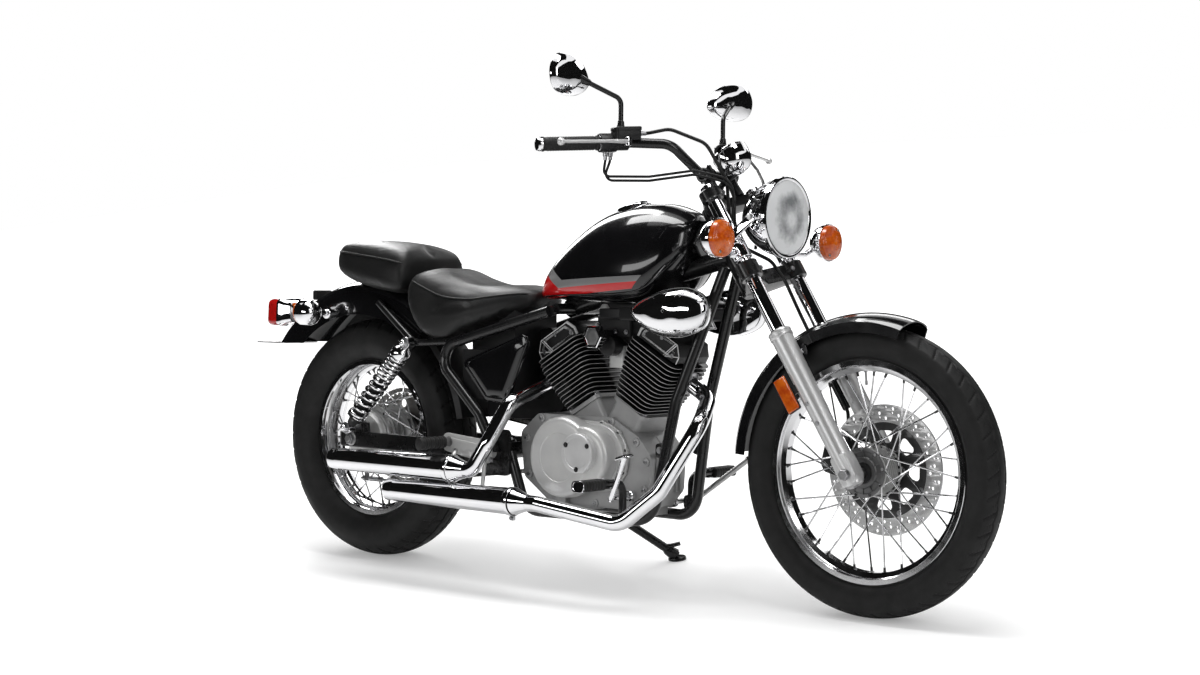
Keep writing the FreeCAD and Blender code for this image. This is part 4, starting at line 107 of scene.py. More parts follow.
def addLathe(shape, profile, centre, axis, count=64, mat=0, looped=False):
    # profile holds (distance along the axis, radius).
    along = Vector(axis).normalized()
    rings = [circle(centre + along * reach, axis, max(radius, 0.001), count) for reach, radius in profile]
    addRings(shape, rings, mat, looped=looped, caps=not looped)


def smoothPath(points, bendRadius, stepAngle=9, limitShare=0.47):
    # straight runs joined by arcs, as the tubes of the frame are bent.
    path = [Vector(points[0])]
    for before, corner, after in zip(points, points[1:], points[2:]):
        before, corner, after = Vector(before), Vector(corner), Vector(after)
        into, out = (corner - before).normalized(), (after - corner).normalized()
        half = into.angle(out, 0) / 2
        if half < 0.01:
            path.append(corner)
            continue
        reach = min(bendRadius * tan(half), limitShare * (corner - before).length, limitShare
            * (after - corner).length)
        radius = reach / tan(half)
        centre = corner + (out - into).normalized() * (radius / cos(half))
        normal = into.cross(out).normalized()
        spoke = corner - into * reach - centre
        steps = max(2, round(degrees(2 * half) / stepAngle))
        path += [centre + Matrix.Rotation(2 * half * index / steps, 3, normal) @ spoke for index
            in range(steps + 1)]
    path.append(Vector(points[-1]))
    return path


def splinePath(points, steps=8):
    # smooth line through every point.
    points = [Vector(point) for point in points]
    full = [points[0] * 2 - points[1]] + points + [points[-1] * 2 - points[-2]]
    path = []
    for a, b, c, d in zip(full, full[1:], full[2:], full[3:]):
        for index in range(steps):
            t = index / steps
            path.append(0.5 * (2 * b + (c - a) * t + (2 * a - 5 * b + 4 * c - d) * t * t + (3 * b - 3 * c
                + d - a) * t ** 3))
    return path + [points[-1]]


def addTube(shape, path, radius, count=16, mat=0, caps=True, flat=1, looped=False):
    # radius is one number or one for each point.
    path = [Vector(point) for point in path]
    radii = radius if isinstance(radius, (list, tuple)) else [radius] * len(path)
    tangent = (path[1] - path[0]).normalized()
    first, second = sideAxes(tangent)
    rings = []
    for index, point in enumerate(path):
        forward = path[min(index + 1, len(path) - 1)] - path[max(index - 1, 0)]
        turn = tangent.rotation_difference(forward.normalized())
        first, second, tangent = turn @ first, turn @ second, forward.normalized()
        ring = []
        for step in range(count):
            angle = 2 * pi * step / count
            ring.append(point + first * radii[index] * cos(angle) + second * radii[index] * flat
                * sin(angle))
        rings.append(ring)
    addRings(shape, rings, mat, caps=caps, looped=looped)


def addRod(shape, start, end, radius, count=24, mat=0, endRadius=None):
    start, end = Vector(start), Vector(end)
    addRings(shape, [circle(start, end - start, radius, count), circle(end, end - start, radius
        if endRadius is None else endRadius, count)], mat)


boxFaces = [(3, 2, 1, 0), (4, 5, 6, 7), (0, 1, 5, 4), (1, 2, 6, 5), (2, 3, 7, 6), (3, 0, 4, 7)]


def addBox(shape, low, high, mat=0, turn=None, centre=None):
    corners = [Vector((x, y, z)) for z in (low[2], high[2]) for x, y in ((low[0], low[1]),
        (high[0], low[1]), (high[0], high[1]), (low[0], high[1]))]
    if turn is not None:
        corners = [turn @ corner + Vector(centre or (0, 0, 0)) for corner in corners]
    addFaces(shape, corners, boxFaces, mat)


def around(count, radius, shift=0, y=0):
    # places evenly round an axle, the first turned by a share of the pitch.
    for index in range(count):
        turn = 2 * pi * (index + shift) / count
        yield Vector((radius * cos(turn), y, radius * sin(turn)))


def grownOutline(middle, outline, size, y):
    # a flat outline of (x, z) pairs grown about its middle and set at one side.
    return [Vector((middle.x + (u - middle.x) * size, y, middle.z + (v - middle.z) * size)) for u,
        v in outline]


def roundOutline(corners, radius, stepAngle=12):
    # closed flat outline with rounded corners, as (u, v) pairs.
    points = [Vector((u, v, 0)) for u, v in corners]
    outline = []
    for index, corner in enumerate(points):
        before, after = points[index - 1], points[(index + 1) % len(points)]
        size = radius[index] if isinstance(radius, (list, tuple)) else radius
        arc = smoothPath([(before + corner) / 2, corner, (after + corner) / 2], size, stepAngle, 0.96)
        outline += [(point.x, point.y) for point in arc[1:-1]]
    return outline


def ringOutline(u, v, radius, count=32):
    return [(u + point.x, v + point.z) for point in around(count, radius)]


def addPlate(shape, outlines, thickness, origin, uAxis, vAxis, mat=0, sideMat=None, bevel=0, bevelSteps=1):
    # flat plate with holes: the first outline is the outside; it is centred on its middle plane.
    curve = bpy.data.curves.new("plate", "CURVE")
    curve.dimensions = "2D"
    curve.fill_mode = "BOTH"
    curve.extrude = max(thickness / 2 - bevel, 0.01)
    curve.bevel_depth = bevel
    curve.bevel_resolution = bevelSteps
    curve.offset = -bevel
    for outline in outlines:
        spline = curve.splines.new("POLY")
        spline.points.add(len(outline) - 1)
        for point, (u, v) in zip(spline.points, outline):
            point.co = (u, v, 0, 1)
        spline.use_cyclic_u = True
    holder = bpy.data.objects.new("plate", curve)
    mesh = bpy.data.meshes.new_from_object(holder)
    uAxis, vAxis = Vector(uAxis).normalized(), Vector(vAxis).normalized()
    normal = uAxis.cross(vAxis)
    verts = [Vector(origin) + uAxis * vert.co.x + vAxis * vert.co.y + normal * vert.co.z for vert
        in mesh.vertices]
    faces = [list(face.vertices) for face in mesh.polygons]
    mats = [sideMat if sideMat is not None and abs(face.normal.z) < 0.6 else mat for face in mesh.polygons]
    addFaces(shape, verts, faces, mats)
    bpy.data.objects.remove(holder)
    bpy.data.curves.remove(curve)
    bpy.data.meshes.remove(mesh)


def addBolt(shape, centre, axis, radius, height, mat=0, sides=6):
    # hexagon head on a washer, or a round socket head when it has more sides.
    axis = Vector(axis).normalized()
    if sides == 6:
        addLathe(shape, [(0, 0), (0, radius * 1.25), (height * 0.2, radius * 1.25), (height * 0.2, 0)],
            centre, axis, 24, mat)
        addLathe(shape, [(height * 0.2, 0), (height * 0.2, radius), (height * 0.85, radius),
            (height, radius * 0.82), (height, 0)], centre, axis, 6, mat)
    else:
        addLathe(shape, [(0, 0), (0, radius), (height * 0.8, radius), (height, radius * 0.86),
            (height, radius * 0.5), (height * 0.45, radius * 0.45), (height * 0.45, 0)], centre, axis,
            sides, mat)


def steerPoint(forward, y, along):
    rake = steering["rake"]
    return steering["foot"] + Vector((-along * sin(rake) + forward * cos(rake), y, along * cos(rake)
        + forward * sin(rake)))


steerUp = steerPoint(0, 0, 1) - steerPoint(0, 0, 0)
steerAhead = steerPoint(1, 0, 0) - steerPoint(0, 0, 0)


def wheelPoint(centre, radius, angle, y):
    turn = radians(angle)
    return centre + Vector((radius * cos(turn), y, radius * sin(turn)))


def finishPiece(name, shape, body, finishes, nodes=(), bevel=0, levels=0, sharp=38):
    mesh = bpy.data.meshes.new(name)
    mesh.from_pydata([place @ (vert * millimetre) for vert in shape["verts"]], [], shape["faces"])
    mesh.polygons.foreach_set("material_index", shape["mats"])
    work = bmesh.new()
    work.from_mesh(mesh)
    bmesh.ops.remove_doubles(work, verts=work.verts, dist=0.000004)
    bmesh.ops.recalc_face_normals(work, faces=work.faces)
    work.to_mesh(mesh)
    work.free()
    for finish in finishes:
        mesh.materials.append(materials[finish])
    mesh.polygons.foreach_set("use_smooth", [True] * len(mesh.polygons))
    if not levels:
        mesh.set_sharp_from_angle(angle=radians(sharp))
    piece = bpy.data.objects.new(name, mesh)
    bpy.context.scene.collection.objects.link(piece)
    if bevel:
        edge = piece.modifiers.new("edges", "BEVEL")
        edge.width = bevel * millimetre
        edge.segments = 2
        edge.limit_method = "ANGLE"
        edge.angle_limit = radians(sharp)
        edge.harden_normals = True
    if levels:
        smooth = piece.modifiers.new("smooth", "SUBSURF")
        smooth.levels = smooth.render_levels = levels
    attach(piece, body)
    if nodes:
        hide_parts(*nodes)
    return piece


# Shared shader groups

def newGroup(name, inputs, outputs):
    # an input without a value is a vector, and one with four numbers is a colour.
    tree = bpy.data.node_groups.new(name, "ShaderNodeTree")
    for label, value in inputs.items():
        kind = "Vector" if value is None else "Color" if isinstance(value, tuple) else "Float"
        socket = tree.interface.new_socket(label, in_out="INPUT", socket_type="NodeSocket" + kind)
        if value is not None:
            socket.default_value = value
    for label in outputs:
        kind = "Color" if label == "Color" else "Float"
        tree.interface.new_socket(label, in_out="OUTPUT", socket_type="NodeSocket" + kind)
    return tree, tree.nodes.new("NodeGroupInput").outputs, tree.nodes.new("NodeGroupOutput").inputs


def fillInputs(tree, node, inputs):
    for key, value in inputs.items():
        if isinstance(value, bpy.types.NodeSocket):
            tree.links.new(value, node.inputs[key])
        else:
            node.inputs[key].default_value = value
    return node


def addNode(tree, kind, inputs=None, **settings):
    node = tree.nodes.new("ShaderNode" + kind)
    for key, value in settings.items():
        setattr(node, key, value)
    return fillInputs(tree, node, inputs or {})


def calc(tree, operation, *values):
    return addNode(tree, "Math", dict(enumerate(values)), operation=operation).outputs["Value"]


def vectorCalc(tree, operation, *values, output="Vector"):
    return addNode(tree, "VectorMath", dict(enumerate(values)), operation=operation).outputs[output]


def noise(tree, vector, scale, detail, roughness):
    inputs = {"Vector": vector, "Scale": scale, "Detail": detail, "Roughness": roughness}
    return addNode(tree, "TexNoise", inputs).outputs["Fac"]


def mapRange(tree, value, low, high, toLow=0, toHigh=1, **settings):
    inputs = {"Value": value, "From Min": low, "From Max": high, "To Min": toLow, "To Max": toHigh}
    return addNode(tree, "MapRange", inputs, **settings).outputs["Result"]


def mixShades(tree, factor, first, second):
    # both shades are sockets or colours.
    return addNode(tree, "Mix", {"Factor": factor, 6: first, 7: second}, data_type="RGBA").outputs[2]


def wanderGroup():
    # a slow drift between two values, such as smudges in a polish.
    tree, given, result = newGroup("surface wander", {"Vector": None, "Scale": 20, "Low": 0.1, "High": 0.2},
        ["Value"])
    cloud = noise(tree, given["Vector"], given["Scale"], 5, 0.62)
    tree.links.new(mapRange(tree, cloud, 0.34, 0.68, given["Low"], given["High"]), result["Value"])
    return tree


def grainGroup():
    # fine cast or moulded grain.
    tree, given, result = newGroup("cast grain", {"Vector": None, "Scale": 900}, ["Height"])
    fine = noise(tree, given["Vector"], given["Scale"], 4, 0.7)
    cells = addNode(tree, "TexVoronoi", {"Vector": given["Vector"], "Scale": given["Scale"]})
    tree.links.new(calc(tree, "ADD", fine, cells.outputs["Distance"]), result["Height"])
    return tree


def leatherGroup():
    # pebbled vinyl: cells with creases between them, and a mask of the creases that the seat's finish
    # darkens as painted shade.
    tree, given, result = newGroup("vinyl pebble", {"Vector": None, "Scale": 520}, ["Height", "Crease Shade"])
    warp = addNode(tree, "TexNoise", {"Vector": given["Vector"], "Scale": 90, "Detail": 2})
    bent = addNode(tree, "VectorMath", {0: warp.outputs["Color"], "Scale": 0.004}, operation="SCALE")
    moved = vectorCalc(tree, "ADD", given["Vector"], bent.outputs["Vector"])
    cells = addNode(tree, "TexVoronoi", {"Vector": moved, "Scale": given["Scale"]},
        feature="DISTANCE_TO_EDGE")
    crease = mapRange(tree, cells.outputs["Distance"], 0, 0.16, interpolation_type="SMOOTHSTEP")
    tree.links.new(crease, result["Height"])
    tree.links.new(calc(tree, "SUBTRACT", 1, crease), result["Crease Shade"])
    return tree


def brushGroup():
    # fine parallel scratches along the vector's own z.
    tree, given, result = newGroup("brushed lines", {"Vector": None, "Low": 0.22, "High": 0.36},
        ["Height", "Roughness"])
    lines = noise(tree, given["Vector"], 1, 6, 0.75)
    tree.links.new(lines, result["Height"])
    tree.links.new(mapRange(tree, lines, 0.3, 0.7, given["Low"], given["High"]), result["Roughness"])
    return tree


def driftGroup():
    # colour that drifts between two close shades.
    tree, given, result = newGroup("shade drift", {"Vector": None, "Scale": 12, "Shade": (0.1, 0.1, 0.1, 1),
        "Other Shade": (0.2, 0.2, 0.2, 1)}, ["Color"])
    share = mapRange(tree, noise(tree, given["Vector"], given["Scale"], 6, 0.6), 0.35, 0.65)
    tree.links.new(mixShades(tree, share, given["Shade"], given["Other Shade"]), result["Color"])
    return tree


groups = {"wander": wanderGroup(), "grain": grainGroup(), "leather": leatherGroup(), "brush": brushGroup(),
    "drift": driftGroup()}
materials = {}


def useGroup(tree, name, inputs):
    node = tree.nodes.new("ShaderNodeGroup")
    node.node_tree = groups[name]
    return fillInputs(tree, node, inputs).outputs


def newMaterial(name, shade, **settings):
    # settings are sockets of the shader, written with _ for spaces.
    material = bpy.data.materials.new(name)
    material.use_nodes = True
    material.diffuse_color = (*shade, 1)
    tree = material.node_tree
    shader = tree.nodes["Principled BSDF"]
    shader.inputs["Base Color"].default_value = (*shade, 1)
    for key, value in settings.items():
        shader.inputs[key.replace("_", " ")].default_value = value
    materials[name] = material
    return tree, shader, tree.nodes.new("ShaderNodeTexCoord").outputs["Object"]


def addBump(tree, shader, height, strength, distance):
    bump = addNode(tree, "Bump", {"Height": height, "Strength": strength, "Distance": distance})
    tree.links.new(bump.outputs["Normal"], shader.inputs["Normal"])


def addTint(tree, shader, vector, scale, shade, otherShade):
    shades = {"Vector": vector, "Scale": scale, "Shade": (*shade, 1), "Other Shade": (*otherShade, 1)}
    colour = useGroup(tree, "drift", shades)["Color"]
    tree.links.new(colour, shader.inputs["Base Color"])
    return colour


def addSmudge(tree, shader, vector, scale, rough):
    wander = useGroup(tree, "wander", {"Vector": vector, "Scale": scale, "Low": rough[0], "High": rough[1]})
    tree.links.new(wander["Value"], shader.inputs["Roughness"])


def addGrain(tree, shader, vector, scale, strength, distance=0.0003):
    addBump(tree, shader, useGroup(tree, "grain", {"Vector": vector, "Scale": scale})["Height"], strength,
        distance)


def addBrush(tree, shader, vector, rough, bump, scale, shade, otherShade):
    brush = useGroup(tree, "brush", {"Vector": vector, "Low": rough[0], "High": rough[1]})
    tree.links.new(brush["Roughness"], shader.inputs["Roughness"])
    addTint(tree, shader, vector, scale, shade, otherShade)
    addBump(tree, shader, brush["Height"], bump, 0.0002)


def axleReach(tree, where, centre, axis):
    # distance from an axis of the machine, in metres.
    moved = vectorCalc(tree, "SUBTRACT", where, place @ (Vector(centre) * millimetre))
    flat = vectorCalc(tree, "CROSS_PRODUCT", moved, place.to_3x3() @ axis)
    return vectorCalc(tree, "LENGTH", flat, output="Value"), moved


def paintFinish(name, shade, otherShade, rough=(0.14, 0.22), coat=0.85, peel=0.05, shine=0.2):
    # sprayed paint under a clear coat with a trace of orange peel.
    tree, shader, where = newMaterial(name, shade, Coat_Weight=coat, Coat_Roughness=0.02, Coat_IOR=1.5,
        Specular_IOR_Level=shine)
    addSmudge(tree, shader, where, 26, rough)
    addGrain(tree, shader, where, 260, peel, 0.0002)
    return tree, shader, where, addTint(tree, shader, where, 8, shade, otherShade)


def metalFinish(name, shade, otherShade, rough, grainScale=900, grain=0.06, metal=1):
    tree, shader, where = newMaterial(name, shade, Metallic=metal)
    addTint(tree, shader, where, 14, shade, otherShade)
    addSmudge(tree, shader, where, 30, rough)
    addGrain(tree, shader, where, grainScale, grain)


def brushedFinish(name, shade, otherShade, direction, rough=(0.24, 0.38), fine=1500, coarse=18, metal=1):
    # metal brushed along one direction of the machine.
    tree, shader, where = newMaterial(name, shade, Metallic=metal)
    along = place.to_3x3() @ Vector(direction).normalized()
    turn = along.to_track_quat("Z", "Y").inverted().to_euler()
    turned = addNode(tree, "Mapping", {"Vector": where, "Rotation": turn},
        vector_type="POINT").outputs["Vector"]
    stretched = vectorCalc(tree, "MULTIPLY", turned, (fine, fine, coarse))
    addBrush(tree, shader, stretched, rough, 0.05, 0.4, shade, otherShade)


def turnedFinish(name, shade, otherShade, centre, rough=(0.22, 0.38), fine=2600, metal=0.7):
    # metal turned on a lathe about a wheel's axle: fine rings.
    tree, shader, where = newMaterial(name, shade, Metallic=metal)
    reach = axleReach(tree, where, centre, across)[0]
    line = addNode(tree, "CombineXYZ", {"X": calc(tree, "MULTIPLY", reach, fine)}).outputs["Vector"]
    addBrush(tree, shader, line, rough, 0.08, 0.3, shade, otherShade)


def rubberFinish(name, shade, otherShade, rough=(0.5, 0.68), grainScale=1100, grain=0.25):
    tree, shader, where = newMaterial(name, shade, Specular_IOR_Level=0.25)
    addSmudge(tree, shader, where, 18, rough)
    addTint(tree, shader, where, 30, shade, otherShade)
    addGrain(tree, shader, where, grainScale, grain)


def lensFinish(name, shade, otherShade, transmission, rough=(0.05, 0.12), ior=1.49):
    # moulded clear or coloured plastic.
    tree, shader, where = newMaterial(name, shade, Transmission_Weight=transmission, IOR=ior,
        Coat_Weight=0.6, Coat_Roughness=0.03)
    addTint(tree, shader, where, 40, shade, otherShade)
    addSmudge(tree, shader, where, 60, rough)
    addGrain(tree, shader, where, 500, 0.04, 0.0002)


def vinylFinish(name, shade, otherShade):
    tree, shader, where = newMaterial(name, shade, Sheen_Weight=0.04, Sheen_Roughness=0.4,
        Specular_IOR_Level=0.35)
    addSmudge(tree, shader, where, 14, (0.34, 0.46))
    pebble = useGroup(tree, "leather", {"Vector": where, "Scale": 620})
    # painted shade: the creases between the pebbles take the darker of the two shades.
    colour = mixShades(tree, pebble["Crease Shade"], (*shade, 1), (*otherShade, 1))
    tree.links.new(colour, shader.inputs["Base Color"])
    addBump(tree, shader, pebble["Height"], 0.22, 0.0004)


paintFinish("glossBlack", (0.003, 0.003, 0.0034), (0.0045, 0.0045, 0.005))
paintFinish("frameBlack", (0.005, 0.005, 0.0055), (0.008, 0.008, 0.008), rough=(0.24, 0.34), coat=0.35,
    peel=0.1, shine=0.25)
paintFinish("finBlack", (0.006, 0.006, 0.0065), (0.01, 0.01, 0.01), rough=(0.34, 0.46), coat=0.1, peel=0.3,
    shine=0.3)
metalFinish("chrome", (0.86, 0.86, 0.87), (0.83, 0.83, 0.85), (0.02, 0.05), grain=0.005)
metalFinish("castAlloy", (0.6, 0.6, 0.59), (0.54, 0.54, 0.54), (0.36, 0.46), grainScale=1400, grain=0.12,
    metal=0.55)
metalFinish("darkCast", (0.2, 0.2, 0.2), (0.15, 0.15, 0.15), (0.42, 0.55), grainScale=800, grain=0.3)
metalFinish("boltSteel", (0.42, 0.42, 0.43), (0.34, 0.34, 0.35), (0.25, 0.4), grain=0.05)
metalFinish("darkBolt", (0.06, 0.06, 0.06), (0.09, 0.09, 0.09), (0.3, 0.45), grain=0.1)
metalFinish("reflector", (0.92, 0.92, 0.92), (0.88, 0.88, 0.88), (0.2, 0.3), grain=0.01, metal=0.8)
metalFinish("mirrorGlass", (0.92, 0.93, 0.94), (0.9, 0.91, 0.92), (0.005, 0.012), grain=0)
metalFinish("chainSteel", (0.3, 0.29, 0.28), (0.22, 0.21, 0.2), (0.28, 0.42), grain=0.1)
brushedFinish("forkAlloy", (0.66, 0.66, 0.66), (0.56, 0.56, 0.56), (-sin(steering["rake"]), 0,
    cos(steering["rake"])), rough=(0.3, 0.42), metal=0.7)
brushedFinish("machined", (0.72, 0.72, 0.72), (0.6, 0.6, 0.6), (1, 0, 0), rough=(0.18, 0.3))
brushedFinish("satinSteel", (0.5, 0.5, 0.5), (0.4, 0.4, 0.4), (1, 0, 0.4), rough=(0.25, 0.4))
turnedFinish("discSteel", (0.6, 0.6, 0.6), (0.5, 0.5, 0.5), frontAxle)
turnedFinish("hubAlloy", (0.55, 0.55, 0.54), (0.46, 0.46, 0.46), frontAxle, rough=(0.34, 0.46), fine=1800,
    metal=0.5)
rubberFinish("tyreRubber", (0.007, 0.007, 0.007), (0.011, 0.011, 0.011), rough=(0.5, 0.66), grain=0.15)
rubberFinish("gripRubber", (0.01, 0.01, 0.01), (0.015, 0.015, 0.015), rough=(0.45, 0.6), grain=0.3)
rubberFinish("cableSheath", (0.008, 0.008, 0.008), (0.012, 0.012, 0.012), rough=(0.28, 0.4), grain=0.05)
rubberFinish("blackPlastic", (0.009, 0.009, 0.01), (0.014, 0.014, 0.014), rough=(0.32, 0.45),
    grainScale=1600, grain=0.18)
rubberFinish("whiteMark", (0.8, 0.8, 0.8), (0.74, 0.74, 0.74), rough=(0.4, 0.5), grain=0.02)
rubberFinish("redMark", (0.5, 0.02, 0.015), (0.42, 0.015, 0.01), rough=(0.4, 0.5), grain=0.02)
vinylFinish("seatVinyl", (0.006, 0.006, 0.006), (0.0025, 0.0025, 0.0025))
lensFinish("amberLens", (0.8, 0.17, 0.012), (0.5, 0.06, 0.005), 0.3)
lensFinish("redLens", (0.55, 0.01, 0.008), (0.42, 0.006, 0.005), 0.25)
lensFinish("clearLens", (0.96, 0.97, 0.97), (0.99, 0.99, 0.99), 1, rough=(0, 0.02), ior=1.46)
print("materials ready:", len(materials))


# Tyres

tyres = {"front": {"centre": frontAxle, "radius": 311, "half": 42.5, "seat": 228.6, "rimHalf": 23.5,
    "columns": 620, "pitch": 46, "depth": 3.4}, "rear": {"centre": rearAxle, "radius": 306, "half": 65,
    "seat": 190.5, "rimHalf": 38, "columns": 600, "pitch": 40, "depth": 4}, "wall": 8, "beadRise": 13.5,}


def arcThrough(start, middle, end, count):
    # flat arc through three points, as (radius, y) pairs.
    (ax, ay), (bx, by), (cx, cy) = start, middle, end
    d = 2 * (ax * (by - cy) + bx * (cy - ay) + cx * (ay - by))
    ux = ((ax * ax + ay * ay) * (by - cy) + (bx * bx + by * by) * (cy - ay) + (cx * cx + cy * cy)
        * (ay - by)) / d
    uy = ((ax * ax + ay * ay) * (cx - bx) + (bx * bx + by * by) * (ax - cx) + (cx * cx + cy * cy)
        * (bx - ax)) / d
    first = atan2(ay - uy, ax - ux)
    turn = (atan2(cy - uy, cx - ux) - first) % (2 * pi)
    if (atan2(by - uy, bx - ux) - first) % (2 * pi) > turn:
        turn -= 2 * pi
    size = hypot(ax - ux, ay - uy)
    return [(ux + size * cos(first + turn * index / count), uy + size * sin(first + turn * index / count))
        for index in range(count + 1)]


def dip(value, width, edge):
    # 1 inside a groove of this width, falling to 0 over the edge.
    reach = abs(value)
    return max(0, min(1, (width / 2 + edge - reach) / edge))


def treadPhase(turn, y, spec):
    # share of one tread pitch, half a pitch apart on the two sides.
    return (turn / (2 * pi) * spec["pitch"] + (0.5 if y > 0 else 0)) % 1


def frontTread(turn, y, spec):
    # saw-tooth block rows on both shoulders, a zigzag groove each side of the middle rib.
    phase, reach = treadPhase(turn, y, spec), abs(y)
    zigzag = 12 + 2.6 * (abs(phase - 0.5) * 4 - 1)
    depth = dip(reach - zigzag, 2.6, 0.8)
    if reach > zigzag:
        slanted = (phase + (reach - 12) * 0.016) % 1
        shoulder = dip((slanted - 0.5) * 42, 4.2, 0.9) * max(0, min(1, (37.5 - reach) / 2))
        sipe = dip((((slanted + 0.5) % 1) - 0.5) * 42, 1, 0.6) * max(0, min(1, (30 - reach) / 3)) * 0.5
        depth = max(depth, shoulder, sipe)
    return depth


def rearTread(turn, y, spec):
    # two straight grooves with slanted blocks outside them.
    phase, reach = treadPhase(turn, y, spec), abs(y)
    depth = dip(reach - 13, 3.2, 0.9)
    slanted = (phase + (reach - 13) * 0.0105) % 1
    if reach > 13:
        fade = max(0, min(1, (58 - reach) / 3))
        depth = max(depth, dip((slanted - 0.5) * 48, 4.6, 1) * fade)
        depth = max(depth, dip(reach - 37, 2.4, 0.9) * (1 if 0.12 < slanted < 0.88 else 0) * 0.8)
    else:
        depth = max(depth, dip((((phase + reach * 0.02) % 1) - 0.5) * 48, 1.6, 0.7) * 0.5 * (1 if reach > 4
            else 0))
    return depth


def tyrePiece(name, spec, tread, body):
    radius, half, seat, rimHalf = spec["radius"], spec["half"], spec["seat"], spec["rimHalf"]
    gap, wall = 0.3, tyres["wall"]
    beadTop = seat + tyres["beadRise"]
    height = radius - beadTop
    side = (beadTop + height * 0.42, half)
    shoulder = (beadTop + height * 0.80, half * 0.87)
    bead = (beadTop, rimHalf - gap)
    wallArc = arcThrough(bead, side, shoulder, 14)
    crownCount = round(half * 0.9)
    crown = arcThrough(shoulder, (radius, 0), (shoulder[0], -shoulder[1]), crownCount * 2)
    outer = [(seat + gap, rimHalf - gap)] + wallArc + crown[1:] + [(r, -y) for r, y in wallArc[::-1]][1:]
    outer.append((seat + gap, -rimHalf + gap))
    under = [(radius - 9, 0), (shoulder[0] - 6, shoulder[1] - wall), (side[0], half - wall),
        (beadTop + wall / 2, rimHalf - wall), (seat + gap, rimHalf - wall)]
    inner = [(r, -y) for r, y in under[:0:-1]] + under
    shape = newShape()
    columns = spec["columns"]
    rings = []
    treadLow = shoulder[0] - height * 0.10
    for column in range(columns):
        turn = 2 * pi * column / columns
        ring = []
        for r, y in outer:
            if r > treadLow:
                r -= spec["depth"] * tread(turn, y, spec)
            elif r > beadTop:
                share = (r - beadTop) / height
                lines = dip((share - 0.10) * height, 1.6, 0.6) * 0.7 + dip((share - 0.62) * height, 1.2,
                    0.5) * 0.5
                ribs = dip((share - 0.66) * height, 2, 0.5) if sin(turn * 180) > 0.2 else 0
                y += (lines + ribs * 0.4) * (1 if y > 0 else -1) * 0.8
                y = max(-half, min(half, y))
            ring.append(spec["centre"] + Vector((r * cos(turn), y, r * sin(turn))))
        rings.append(ring)
    addRings(shape, rings, 0, closed=False, looped=True, caps=False)
    turns = [2 * pi * column / columns for column in range(0, columns, 5)]
    lining = [[spec["centre"] + Vector((r * cos(turn), y, r * sin(turn))) for r, y in inner] for turn
        in turns]
    addRings(shape, lining, 0, closed=False, looped=True, caps=False)
    finishPiece(name, shape, body, ["tyreRubber"], [name], sharp=50)


tyrePiece("front_tyre", tyres["front"], frontTread, "front_wheel")
tyrePiece("rear_tyre", tyres["rear"], rearTread, "rear_wheel")
print("tyres")

# Rims, spokes and hubs

wheels = {"spokes": 36, "spokeRadius": 1.9, "lace": 52, "step": 2.5, "flangeHeight": 10.5, "flange": 3,
    "wellDepth": 12, "wellHalf": 9, "shelf": 12, "wall": 3, "nippleLength": 13}


def rimShape(shape, centre, seat, half, mat):
    flange, outer = seat + wheels["flangeHeight"], half + wheels["flange"]
    shelf, well = half - wheels["shelf"], seat - wheels["wellDepth"]
    wall, wellHalf = wheels["wall"], wheels["wellHalf"]
    left = [(flange - 1.2, outer), (flange, outer - 0.9), (flange, half + 0.9), (flange - 1.2, half),
        (seat, half), (seat, shelf), (well, wellHalf)]
    under = [(well - wall, wellHalf + wall / 2), (seat - wall - 1.5, shelf + wall), (seat - wall,
        shelf + wall + 2), (seat - wall, outer - 2), (seat - wall + 1.5, outer)]
    profile = left + [(r, -y) for r, y in left[::-1]] + [(r, -y) for r, y in under[::-1]] + under
    addLathe(shape, [(y, r) for r, y in profile], centre, across, 180, mat, looped=True)


def spokeLines(centre, hubRadius, flangeY, seat):
    rimEnd = seat - wheels["wellDepth"] - wheels["wall"] / 2
    for index in range(wheels["spokes"]):
        side = 1 if index % 2 else -1
        lean = 1 if index % 4 < 2 else -1
        angle = 360 / wheels["spokes"] * index
        start = wheelPoint(centre, hubRadius, angle + lean * wheels["lace"], side * (flangeY + lean
            * wheels["step"]))
        end = wheelPoint(centre, rimEnd, angle, side * wheels["wellHalf"] / 2)
        yield start, end, side, lean


def addSpokes(shape, centre, hubRadius, flangeY, seat, spokeMat, nippleMat):
    for start, end, _, lean in spokeLines(centre, hubRadius, flangeY, seat):
        line = (end - start).normalized()
        elbow = start + line * 5
        addTube(shape, [start - across * lean * 5, start - across * lean * 1.5, elbow, end],
            wheels["spokeRadius"], 8, spokeMat)
        addLathe(shape, [(0, 0), (0, 3.4), (1.6, 3), (1.6, 0)], start - across * lean * 6, across * lean,
            10, spokeMat)
        seatPoint = end + line * 2
        addRings(shape, [circle(seatPoint - line * reach, line, radius, 8) for reach, radius in ((0, 2.6),
            (0, 3.9), (3, 3.7), (4, 2.9), (wheels["nippleLength"], 2.7), (wheels["nippleLength"] + 1,
            2.2))], nippleMat)
        addLathe(shape, [(0, 0), (0, 5.6), (1.8, 4.6), (1.8, 0)], end - line * 0.5, -line, 12, nippleMat
            + 1)


def hubFlange(shape, centre, y, radius, boltRadius, thickness, mat, holes=18, holeRadius=3):
    outline = [ringOutline(0, 0, radius, 72)]
    outline += [ringOutline(spot.x, spot.z, holeRadius, 8) for spot in around(holes, boltRadius, 0.25)]
    addPlate(shape, outline, thickness, centre + across * y, ahead, upward, mat, bevel=0.8)


def addValve(shape, spec, angle, mat):
    # air valve through the rim.
    spot = wheelPoint(spec["centre"], spec["seat"] - 14, angle, 0)
    inward = (spec["centre"] - spot).normalized()
    stem = [(-4, 0.1), (-4, 5), (2, 4.5), (3, 2.4), (22, 2.4), (22, 3.1), (30, 3.1), (31, 0.1)]
    addLathe(shape, stem, spot, inward, 16, mat)


